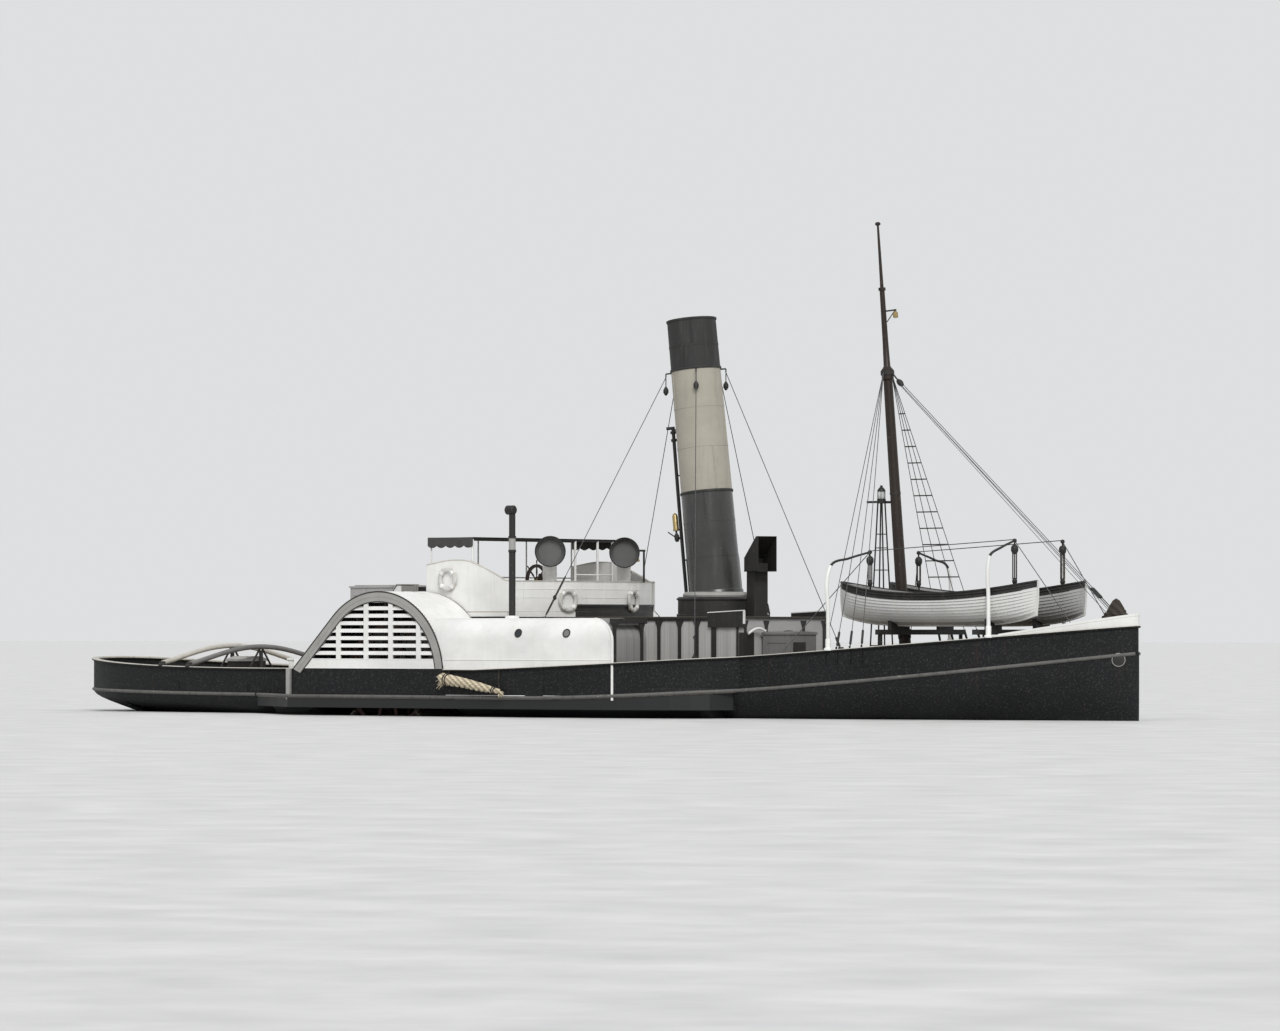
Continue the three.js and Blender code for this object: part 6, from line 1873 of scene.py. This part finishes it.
def mast_pole():
    """The tapered pole in one profile, with bands, cleats and the lamp on its bracket."""
    base, mid, top, hounds, length = (MAST[key] for key in ("base", "mid", "top", "hounds", "length"))
    profile = [(base + 0.06, 0), (base + 0.05, 0.12), (base, 0.14), (base * 0.94, 3), (mid, 6.5),
               (mid - 0.012, hounds - 0.6), (mid + 0.03, hounds - 0.56), (mid + 0.03, hounds - 0.3),
               (mid - 0.01, hounds - 0.25), (0.095, hounds - 0.2), (0.08, hounds + 0.5),
               (top + 0.02, hounds + 1.9), (top + 0.05, hounds + 1.9), (top + 0.05, hounds + 1.98),
               (top, hounds + 1.98), (top - 0.02, length - 0.1), (top + 0.02, length - 0.08),
               (top + 0.03, length - 0.04), (top, length)]
    pole = turned(profile, sides=36)
    bands = []
    for z in (0.9, 2.4, 5.2):
        r = float(np.interp(z, [0.14, 3, 6.5], [base, base * 0.94, mid])) + 0.008
        bands.append(collar(r - 0.02, r, z, z + 0.07))
    cleat_z = 1.35
    cleats = [bar((dx, dy, cleat_z - 0.12), (dx, dy, cleat_z + 0.12), 0.02) for dx, dy in
              ((0.195, 0), (-0.195, 0), (0, 0.195), (0, -0.195))]
    arm = joined(block((0, -0.02, hounds + 1.3), (0.43, 0.02, hounds + 1.34)),
                 bar((0.38, 0, hounds + 1.3), (0.1, 0, hounds + 1.02), 0.014))
    lamp = turned([(0.06, 0), (0.07, 0.02), (0.07, 0.14), (0.04, 0.18), (0, 0.2)],
                  (0.4, 0, hounds + 1.1), sides=20)
    parts = [(on_mast(pole), "mast"), (on_mast(joined(*bands)), "dark"), (on_mast(joined(*cleats)), "dark"),
             (on_mast(arm), "dark"), (on_mast(lamp), "brass")]
    piece("mast_pole", parts, "mast")


def lamp_stand():
    """Four legs that draw together, rungs between them, a slatted platform and the lamp on it."""
    x = 10.12
    low, high = deck_z(x), 5.95
    legs = [bar((x + dx * 0.29, dy * 0.22, low), (x + dx * 0.07, dy * 0.07, high), 0.022, 10)
            for dx in (-1, 1) for dy in (-1, 1)]
    feet = [turned([(0.07, 0), (0.07, 0.02), (0, 0.03)], (x + dx * 0.29, dy * 0.22, low), sides=12)
            for dx in (-1, 1) for dy in (-1, 1)]
    rungs = []
    for z in (1.4, 2, 2.7, 3.4, 4.08, 4.69, 5.07):
        reach = 0.22 - 0.15 * (z - low) / (high - low)
        span = 0.29 - 0.22 * (z - low) / (high - low)
        rungs += [bar((x - span, dy * reach, z), (x + span, dy * reach, z), 0.013) for dy in (-1, 1)]
        rungs.append(bar((x - span, -reach, z), (x - span, reach, z), 0.013))
    slats = [block((x - 0.29, y, high - 0.01), (x + 0.29, y + 0.05, high + 0.03))
             for y in np.arange(-0.27, 0.22, 0.08)]
    edge = [block((x - 0.3, -0.28, high - 0.03), (x + 0.3, -0.25, high + 0.03)),
            block((x - 0.3, 0.25, high - 0.03), (x + 0.3, 0.28, high + 0.03))]
    body = turned([(0.12, 0.02), (0.125, 0.06), (0.11, 0.1)], (x, 0, high), sides=28)
    lens = turned([(0.09, 0.1), (0.105, 0.16), (0.105, 0.24), (0.09, 0.3)], (x, 0, high),
                  sides=28)
    cover = turned([(0.115, 0.3), (0.11, 0.34), (0.06, 0.4), (0.035, 0.42), (0.04, 0.46), (0, 0.468)],
                   (x, 0, high), sides=28)
    guards = [bar((x + 0.115 * math.cos(a), 0.115 * math.sin(a), high + 0.08),
                  (x + 0.115 * math.cos(a), 0.115 * math.sin(a), high + 0.31), 0.006, 6)
              for a in np.radians(np.arange(0, 360, 60))]
    parts = [(legs, "dark"), ([*feet, *rungs], "dark"), ([*slats, *edge], "dark"),
             (body, "dark"), (lens, "pale_glass"), (cover, "dark"), (guards, "dark")]
    piece("lamp_stand_ladder", parts, "lamp_stand")


class TUG_OT_mast(bpy.types.Operator):
    """Builds the mast with its collars, truck and lamp bracket, and the lamp stand abaft it"""

    bl_idname = "tug.mast"
    bl_label = "Mast"

    def execute(self, context):
        mast_pole()
        lamp_stand()
        return {"FINISHED"}


class TUG_OT_rigging(bpy.types.Operator):
    """Sets up the taut rigging: shrouds with bottlescrews, ratlines to port and the forestays"""

    bl_idname = "tug.rigging"
    bl_label = "Rigging"

    def execute(self, context):
        sizes = context.scene.tug_sizes
        shroud_z = MAST["hounds"] - 0.38
        hold = mast_point(shroud_z)
        wires, irons, rungs, chains = [], [], [], []
        irons.append(on_mast(collar(0.14, 0.19, -0.06, 0.06, (0, 0, shroud_z))))
        for side in (-1, 1):
            feet = []
            head = hold + [0, side * 0.19, 0]
            for x in SHROUD_XS if side < 0 else PORT_SHROUD_XS:
                foot = np.array([x, side * (fore_half(x) + 0.012), rail_z(x) - 0.02])
                feet.append(foot)
                wires.append(bar(foot, head, sizes.shroud))
                irons.append(bottlescrew(foot, head, 0.12, 0.4))
                outside = foot[1] + side * 0.012
                chains.append(block((x - 0.025, outside, foot[2] - 0.4),
                                    (x + 0.025, outside - side * 0.02, foot[2] + 0.08)))
            if side > 0:
                for z in np.arange(3, hold[2] - 1, sizes.ratline):
                    at = [foot + (head - foot) * (z - foot[2]) / (head[2] - foot[2]) for foot in feet]
                    rungs.append(bar(at[0], at[-1], 0.019, 6))
        stem_hold = np.array([17.92, 0, bow_top(17.92) + 0.02])
        stay_block = mast_point(MAST["hounds"] - 0.66) + [0.4, 0, 0]
        way = unit(stem_hold - stay_block)
        irons.append(bar(hold + [0.17, 0, -0.02], stay_block, 0.022))
        irons.append(turned([(0, -0.12), (0.05, -0.1), (0.08, -0.03), (0.08, 0.05), (0.05, 0.12), (0, 0.14)],
                            stay_block, way, 16))
        for y in (-0.06, 0.06):
            wires.append(bar(stay_block + way * 0.1 + [0, y, 0], stem_hold + [0, y, 0], sizes.shroud))
            wires.append(bar(stay_block + way * 0.1 + [0, y * 0.5, -0.05], stem_hold + [-0.2, y * 2, 0],
                             sizes.shroud * 0.8))
            irons.append(bottlescrew(stem_hold + [0, y, 0], stay_block, 0.75, 0.4))
        parts = [(wires, "wire"), (irons, "dark"), (rungs, "coir"),
                 (chains, "hull")]
        piece("mast_shrouds", parts, "mast_rigging")
        return {"FINISHED"}


# Lifeboats, skids and davits


def boat_half(u):
    """Half breadth of a boat at a share of its length."""
    return np.maximum(BOAT["beam"] * (1 - np.abs(u) ** 2.6) ** 0.75, 0.012)


def boat_line(u):
    """Heights of the keel and of the sheer of a boat at a share of its length."""
    return BOAT["rise"] * 0.9 * np.abs(u) ** 4, BOAT["depth"] + BOAT["rise"] * np.abs(u) ** 2.2


def boat_skin(planks, lap, inset=0):
    """Breadth share at height share t is (1 - (1 - t)^3)^0.7; each plank stands out by a lap that fades upward."""
    u = np.sin(np.linspace(-np.pi / 2, np.pi / 2, 49))[:, None]
    step = np.repeat(np.arange(planks), 2)
    t = ((step + np.tile([0, 1], planks)) / planks)[None]
    proud = lap * np.tile([1, 0], planks)[None]
    keel, sheer = boat_line(u)
    b = boat_half(u)
    fade = np.clip(b / 0.3, 0, 1)
    y = np.maximum(b * np.maximum(1 - (1 - t) ** 3, 0) ** 0.7 + proud * fade - inset * fade, 0.004)
    z = keel + (sheer - keel) * t + inset * (1 - t)
    x = (BOAT["half"] - inset) * u + 0 * t
    return x, y, z


class TUG_OT_boats(bpy.types.Operator):
    """Builds the two clinker lifeboats: lapped planks, dark sheer strake, gunwales, thwarts, keel and posts"""

    bl_idname = "tug.boats"
    bl_label = "Lifeboats"

    def execute(self, context):
        sizes = context.scene.tug_sizes
        planks = sizes.boat_planks
        x, y, z = boat_skin(planks, sizes.boat_plank)
        ix, iy, iz = boat_skin(planks, 0, 0.03)
        ring = [np.stack([x, -y, z], axis=-1)[:, ::-1], np.stack([x, y, z], axis=-1),
                np.stack([ix, iy, iz], axis=-1)[:, ::-1], np.stack([ix, -iy, iz], axis=-1)]
        rings = np.concatenate(ring, axis=1)
        m = rings.shape[1]
        outer = 4 * planks - 1
        skin = split_rings(capped(rings), m, list(range(1, outer + 1)))
        # The lap faces between planks take the dark lap paint, which is painted shade under each lap; the sheer
        # strakes are dark paint.
        named = [["boat", "boat_lap"][lane % 2] if 4 <= lane < outer - 4 else "boat_dark" for lane in range(outer)]
        named += ["boat_inside", "boat"]
        u = np.linspace(-0.995, 0.995, 60)
        keel, sheer = boat_line(u)
        rails = []
        for side in (-1, 1):
            path = np.column_stack([BOAT["half"] * u, side * boat_half(u), sheer])
            rails.append(tube(path, 0.032, 10))
            path = np.column_stack([BOAT["half"] * u, side * (boat_half(u) + 0.012), sheer - 0.17])
            rails.append(tube(path[3:-3], 0.014))
        path = np.column_stack([BOAT["half"] * u, 0 * u, keel - 0.012])
        keel_bar = tube(path, 0.03)
        posts = []
        for side in (-1, 1):
            low = np.array([side * BOAT["half"] * 0.985, 0, boat_line(0.95)[0]])
            path = smooth_line([low, (side * BOAT["half"] * 1, 0, 0.62), (side * BOAT["half"] * 1.002, 0, 1.2)], 14)
            posts.append(tube(path, 0.032, 10, up=(0, 1, 0)))
        thwarts, knees = [], []
        for share in (-0.7, -0.38, 0, 0.38, 0.7):
            reach = boat_half(share) * 0.94
            at = share * BOAT["half"]
            level = 0.58 + 0.2 * share**2
            thwarts.append(block((at - 0.11, -reach, level), (at + 0.11, reach, level + 0.03)))
            for side in (-1, 1):
                start = (at, side * (reach - 0.2), level + 0.03)
                knees.append(bar(start, (at, side * reach, level + 0.24), 0.018, 6))
        oars = [bar((-2.2 + dx, dy, 0.8), (2.1 + dx, dy + 0.05, 0.84), 0.022, 8, 0.018) for dx, dy in
                ((0, -0.3), (0.1, -0.22), (-0.1, 0.28))]
        stretch = [bar((share * BOAT["half"], 0, boat_line(share)[1] - 0.3),
                       (share * BOAT["half"], 0, boat_line(share)[1] + 0.08), 0.022)
                   for share in (-0.7, 0.77)]
        parts = [(skin, named), (rails, "boat_dark"), ([keel_bar, *posts], "boat"),
                 ([*thwarts, *knees], "boat_inside"), (oars, "mast"), (stretch, "dark")]
        for side, y_side in (("starboard", -BOAT["y"]), ("port", BOAT["y"])):
            place = (BOAT["x"], y_side, BOAT["z"] + 0.001)
            if side == "port":
                # The port boat lies in shade in the photograph, so its planks have a darker paint
                shade = {"boat": "boat_far", "boat_lap": "far_lap"}
                parts[0] = (skin, [shade.get(finish, finish) for finish in named])
            piece(f"clinker_boat_{side}", changed(parts, moved, place), f"lifeboat_{side}", crease=25)
        finish_nodes(["boat_skids_aft", "boat_skids_forward"], "dark", 0.015)
        return {"FINISHED"}


# Columns: name, foot forward, head forward, head height
DAVITS = (("davit_aft", 10.4, 10.56, 4.56), ("davit_forward", 14.95, 15.35, 4.83))


class TUG_OT_davits(bpy.types.Operator):
    """Builds the four davits with their falls, blocks and guys, and a line between their heads"""

    bl_idname = "tug.davits"
    bl_label = "Davits"

    def execute(self, context):
        heads = {}
        for name, x, head_x, head_z in DAVITS:
            y = fore_half(x) + 0.01
            reach = y - BOAT["y"]
            rail = rail_z(x)
            head = np.array([head_x, -BOAT["y"], head_z])
            path = smooth_line([(x, -y, rail - 0.01), (x, -y, rail + 1), (x, -y, head_z - 0.6),
                                (x + (head_x - x) * 0.06, -y + reach * 0.06, head_z - 0.4),
                                (x + (head_x - x) * 0.5, -y + reach * 0.5, head_z - 0.18), head], 44)
            radius = np.interp(path[:, 2], [head_z - 0.6, head_z - 0.35, head_z], [0.054, 0.036, 0.028])
            bend = int(np.searchsorted(path[:, 2], head_z - 0.45))
            arm = split_length(tube(path, radius, 16, up=AHEAD), 16, [bend])
            shoe = turned([(0.12, -0.02), (0.12, 0.03), (0.075, 0.06), (0.075, 0.28), (0.06, 0.3)], (x, -y, rail),
                          sides=24)
            ball = turned([(0, -0.06), (0.05, -0.04), (0.06, 0), (0.05, 0.04), (0, 0.06)], head, sides=20)
            share = (head_x - BOAT["x"]) / BOAT["half"]
            eye = np.array([head_x, -BOAT["y"], BOAT["z"] + boat_line(share)[1] + 0.06])
            top_block = turned([(0, -0.17), (0.06, -0.16), (0.1, -0.07), (0.1, 0.02), (0.06, 0.08), (0, 0.1)],
                               head - [0, 0, 0.2], sides=20)
            low_block = turned([(0, -0.09), (0.045, -0.08), (0.07, -0.02), (0.07, 0.03), (0.04, 0.09), (0, 0.1)],
                               eye + [0, 0, 0.08], sides=20)
            falls = [bar(head + [dx, dy, -0.26], eye + [dx, dy, 0.14], 0.018)
                     for dx, dy in ((-0.06, 0), (-0.02, 0.03), (0.02, -0.03), (0.06, 0))]
            hook = bar(eye, eye - [0, 0, 0.08], 0.016)
            link = bar(head - [0, 0, 0.05], head - [0, 0, 0.12], 0.022)
            parts = [(arm, ["white", "dark", "white"]), (shoe, "white"), ([ball, top_block, low_block], "dark"),
                     (falls, "coir"), ([hook, link], "dark")]
            heads[name] = head
            pair(f"{name}_arm", parts, name, crease=40)
        span = bar(heads["davit_aft"] + [0, 0, 0.03], heads["davit_forward"] + [0, 0, 0.03], 0.012)
        fore_x, aft_x = 17, 8.9
        fore_foot = (fore_x, 0.05 - fore_half(fore_x), bow_top(fore_x) + 0.02)
        fore_guy = bar(heads["davit_forward"], fore_foot, 0.012)
        aft_foot = (aft_x, 0.05 - fore_half(aft_x), rail_z(aft_x))
        aft_guy = bar(heads["davit_aft"], aft_foot, 0.012)
        pair("davit_guys", [([span, fore_guy, aft_guy], "wire")])
        return {"FINISHED"}


# Deck gear


class TUG_OT_deck_gear(bpy.types.Operator):
    """Finishes the bitts, windlass and towing gear, and builds the tow beams with their shoes, posts and stays"""

    bl_idname = "tug.deck_gear"
    bl_label = "Deck gear"

    def execute(self, context):
        finish_nodes(["bitts_forward_starboard", "bitts_forward_port", "bitts_aft_starboard", "bitts_aft_port",
                      "windlass_frame", "windlass_barrel", "tow_post", "tow_hook"], "dark", 0.012)
        for name, x in (("forward", -12.7), ("aft", -13.85)):
            half = deck_half(x) - 0.04
            u = np.linspace(-1, 1, 41)
            height = rail_z(x) + 0.075 + 0.5 * np.cos(u * np.pi / 2) ** 1.2
            beam = tube(np.column_stack([0 * u + x, u * half, height]), 0.073, 16)
            shoes = [turned([(0.13, -0.02), (0.13, 0.03), (0.09, 0.07), (0.09, 0.12)],
                            (x, side * half, rail_z(x)), sides=20) for side in (-1, 1)]
            post = turned([(0.12, 0), (0.12, 0.04), (0.07, 0.07), (0.062, 0.3), (0.062, 1.28), (0, 1.3)],
                          (x, 0, deck_z(x)), sides=20)
            crown = height[20] - 0.05
            stay = [bar((x, side * 0.05, crown), (x, side * 1.1, deck_z(x)), 0.03) for side in (-1, 1)]
            parts = [(beam, "box_grey" if name == "forward" else "rail"), (shoes, "dark"), (post, "dark"),
                     (stay, "dark")]
            piece(f"tow_arch_{name}", parts, f"tow_beam_{name}")
        return {"FINISHED"}


# Fenders and lifebuoys

BUOY_R = 0.275
BECKET_R = 0.345


def lifebuoy(centre, axis):
    """A cork ring, its four canvas bands, and the beckets that hang in bights between them."""
    centre, axis = np.asarray(centre, float), unit(axis)
    side, lift = across(axis)
    ring = hoop(centre, axis, BUOY_R, 0.068, 56, 16, 0.75)
    bands, beckets = [], []
    for number in range(4):
        a = np.radians(45 + 90 * number)
        out = math.cos(a) * side + math.sin(a) * lift
        along = -math.sin(a) * side + math.cos(a) * lift
        bands.append(collar(0.05, 0.071, -0.05, 0.05, centre + BUOY_R * out, along, 20))
        b = np.radians(45 + 90 * number + np.linspace(0, 90, 16))[:, None]
        reach = BECKET_R - 0.03 * np.abs(np.sin(np.linspace(0, np.pi, 16)))[:, None]
        path = centre + reach * (np.cos(b) * side + np.sin(b) * lift) + axis * 0.03
        beckets.append(tube(path, 0.009, 6, up=axis))
    return [(ring, "ring"), (bands, "white"), (beckets, "rope")]


def laid_rope(path, reach, strand, turns, count=3):
    """Strands wound round a path: strand k stands off it by the reach, at an angle of turns * s + k / count."""
    side, lift = beside(path)
    s = np.linspace(0, 1, len(path))[:, None]
    made = []
    for number in range(count):
        a = 2 * np.pi * (turns * s + number / count)
        made.append(tube(path + reach * (np.cos(a) * side + np.sin(a) * lift), strand))
    return joined(*made)


def frayed_end(tip, way, spread, seed):
    """Loose yarns that leave a rope's end in a brush, each bent by a little of its own."""
    rng = np.random.default_rng(seed)
    yarns = []
    for _ in range(18):
        bend = rng.normal(0, spread, 3)
        last = np.asarray(tip) + np.asarray(way) * rng.uniform(0.1, 0.24) + bend
        middle = (np.asarray(tip) + last) / 2 + bend * 0.3
        yarns.append(tube([tip, middle, last], [0.016, 0.012, 0.006], 5))
    return joined(*yarns)


def sponson_fender():
    """A rope of three strands that thins as it runs forward, its ends frayed, hung by two lanyards."""
    # Columns: distance forward, height, as the solid's own path
    points = np.array([[-1, 1.06], [-0.3, 0.96], [0.4, 0.83], [1.04, 0.72]])
    path = smooth_line(np.column_stack([points[:, 0], -sponson_half(points[:, 0]) - 0.175, points[:, 1]]), 60)
    thick = np.interp(np.linspace(0, 1, 60), [0, 0.08, 0.7, 1], [1.25, 1, 0.75, 0.4])
    ends = [frayed_end(path[0] + [0, 0, dz], (-0.5, 0, -0.3), 0.05, seed)
            for dz, seed in ((0.1, 5), (0, 6), (-0.1, 7))]
    ends.append(frayed_end(path[-1], (0.5, -0.05, -0.6), 0.04, 8))
    lanyards = [bar((x, -sponson_half(x) - 0.036, 0.8 - x * 0.15),
                    (x, -sponson_half(x) - 0.036, rail_z(x) - 0.03), 0.016) for x in (-0.86, 0.9)]
    ties = [hoop(path[i], path[i + 1] - path[i - 1], 0.17 * thick[i], 0.016, 24, 6) for i in (4, 6, 52, 54)]
    parts = [(laid_rope(path, 0.08 * thick[:, None], 0.088 * thick, 4), "pale_rope"), (ends, "pale_rope"),
             ([*lanyards, *ties], "coir")]
    piece("sponson_rope_fender", parts, "rope_fender")


def bow_fender():
    """Oval turns of rope that shrink as they rise round a core, each a little uneven."""
    low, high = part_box("bow_fender")
    centre_x = (low.x + high.x) / 2
    turns = []
    for number, z in enumerate(np.arange(low.z + 0.06, high.z - 0.05, 0.085)):
        share = (z - low.z) / (high.z - low.z)
        reach = 1 - 0.85 * share**1.3
        a = full_turn(64)
        wave = 0.012 * np.sin(9 * a + number * 2.1)
        along = (high.x - low.x) / 2 * reach - 0.05 + wave
        athwart = (high.y - low.y) / 2 * reach - 0.05 + wave
        ring = np.column_stack([centre_x + along * np.cos(a), athwart * np.sin(a),
                                z + 0.03 * np.cos(a - number) * (1 - share)])
        section = full_turn(9)
        outward_way = np.column_stack([np.cos(a), np.sin(a), 0 * a])
        skin = ring[:, None] + 0.05 * (np.cos(section)[None, :, None] * outward_way[:, None]
                                       + np.sin(section)[None, :, None] * np.array([0, 0, 1]))
        points, quads = grid(skin, close_u=True, close_v=True)
        turns.append(outward(points, [quads]))
    tip = high.z - low.z + 0.12
    core = turned([(0.24, 0), (0.2, tip * 0.4), (0.13, tip * 0.7), (0.06, tip * 0.93), (0, tip)],
                  (0, 0, low.z + 0.02), sides=24)
    core = (core[0] * [1.8, 1, 1] + [centre_x, 0, 0], core[1])
    piece("bow_fender_rope", [(turns, "coir"), (core, "coir")], "bow_fender")


def lifebuoys():
    """The lifebuoy of the side screen and the two of the bridge's front."""
    side_low, side_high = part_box("lifebuoy_side")
    side_centre = (side_low + side_high) / 2
    piece("lifebuoy_side_cork", lifebuoy(side_centre, (0, -1, 0)), "lifebuoy_side")
    for side in ("starboard", "port"):
        front_low, front_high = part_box(f"lifebuoy_front_{side}")
        centre = (front_low + front_high) / 2
        piece(f"lifebuoy_front_{side}_cork", lifebuoy(centre, (1, -slope_of(front_x, centre.y), 0)),
              f"lifebuoy_front_{side}")


class TUG_OT_fenders(bpy.types.Operator):
    """Builds the rope fenders at the sponson and on the stem, and hangs the lifebuoys on the bridge"""

    bl_idname = "tug.fenders"
    bl_label = "Fenders and lifebuoys"

    def execute(self, context):
        sponson_fender()
        bow_fender()
        lifebuoys()
        return {"FINISHED"}


# Add-on


class TUG_PT_panel(bpy.types.Panel):
    """Sizes, colours and stage of the tug, and its building steps in order"""

    bl_idname = "TUG_PT_panel"
    bl_label = "Paddle tug"
    bl_space_type = "VIEW_3D"
    bl_region_type = "UI"
    bl_category = "Paddle tug"

    def draw(self, context):
        scene = context.scene
        for settings in (scene.tug_sizes, scene.tug_colours, scene.tug_stage):
            box = self.layout.box()
            for name in settings.bl_rna.properties.keys():
                if name not in ("rna_type", "name"):
                    box.prop(settings, name)
        for step in STEPS:
            self.layout.operator(step.bl_idname)


class TUG_OT_finishes(bpy.types.Operator):
    """Mixes the paints, woods, metals, ropes and cloths from the colour settings"""

    bl_idname = "tug.finishes"
    bl_label = "Finishes"

    def execute(self, context):
        mix_finishes(context.scene.tug_colours, context.scene.tug_sizes)
        return {"FINISHED"}


STEPS = (
    TUG_OT_stage, TUG_OT_finishes, TUG_OT_hull, TUG_OT_bulwarks, TUG_OT_paddle_boxes, TUG_OT_paddle_wheels,
    TUG_OT_sponson_houses, TUG_OT_casing, TUG_OT_skylights, TUG_OT_bridge, TUG_OT_awning, TUG_OT_helm, TUG_OT_vents,
    TUG_OT_funnel, TUG_OT_mast, TUG_OT_rigging, TUG_OT_boats, TUG_OT_davits, TUG_OT_deck_gear, TUG_OT_fenders,
)
CLASSES = (TugSizes, TugColours, TugStage, *STEPS, TUG_PT_panel)


def register():
    for made in CLASSES:
        bpy.utils.register_class(made)
    bpy.types.Scene.tug_sizes = PointerProperty(type=TugSizes)
    bpy.types.Scene.tug_colours = PointerProperty(type=TugColours)
    bpy.types.Scene.tug_stage = PointerProperty(type=TugStage)


def unregister():
    for name in ("tug_stage", "tug_colours", "tug_sizes"):
        delattr(bpy.types.Scene, name)
    for made in reversed(CLASSES):
        bpy.utils.unregister_class(made)


def main():
    """Registers the add-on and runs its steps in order."""
    register()
    for step in STEPS:
        group, name = step.bl_idname.split(".")
        getattr(getattr(bpy.ops, group), name)()


if __name__ == "__main__":
    main()
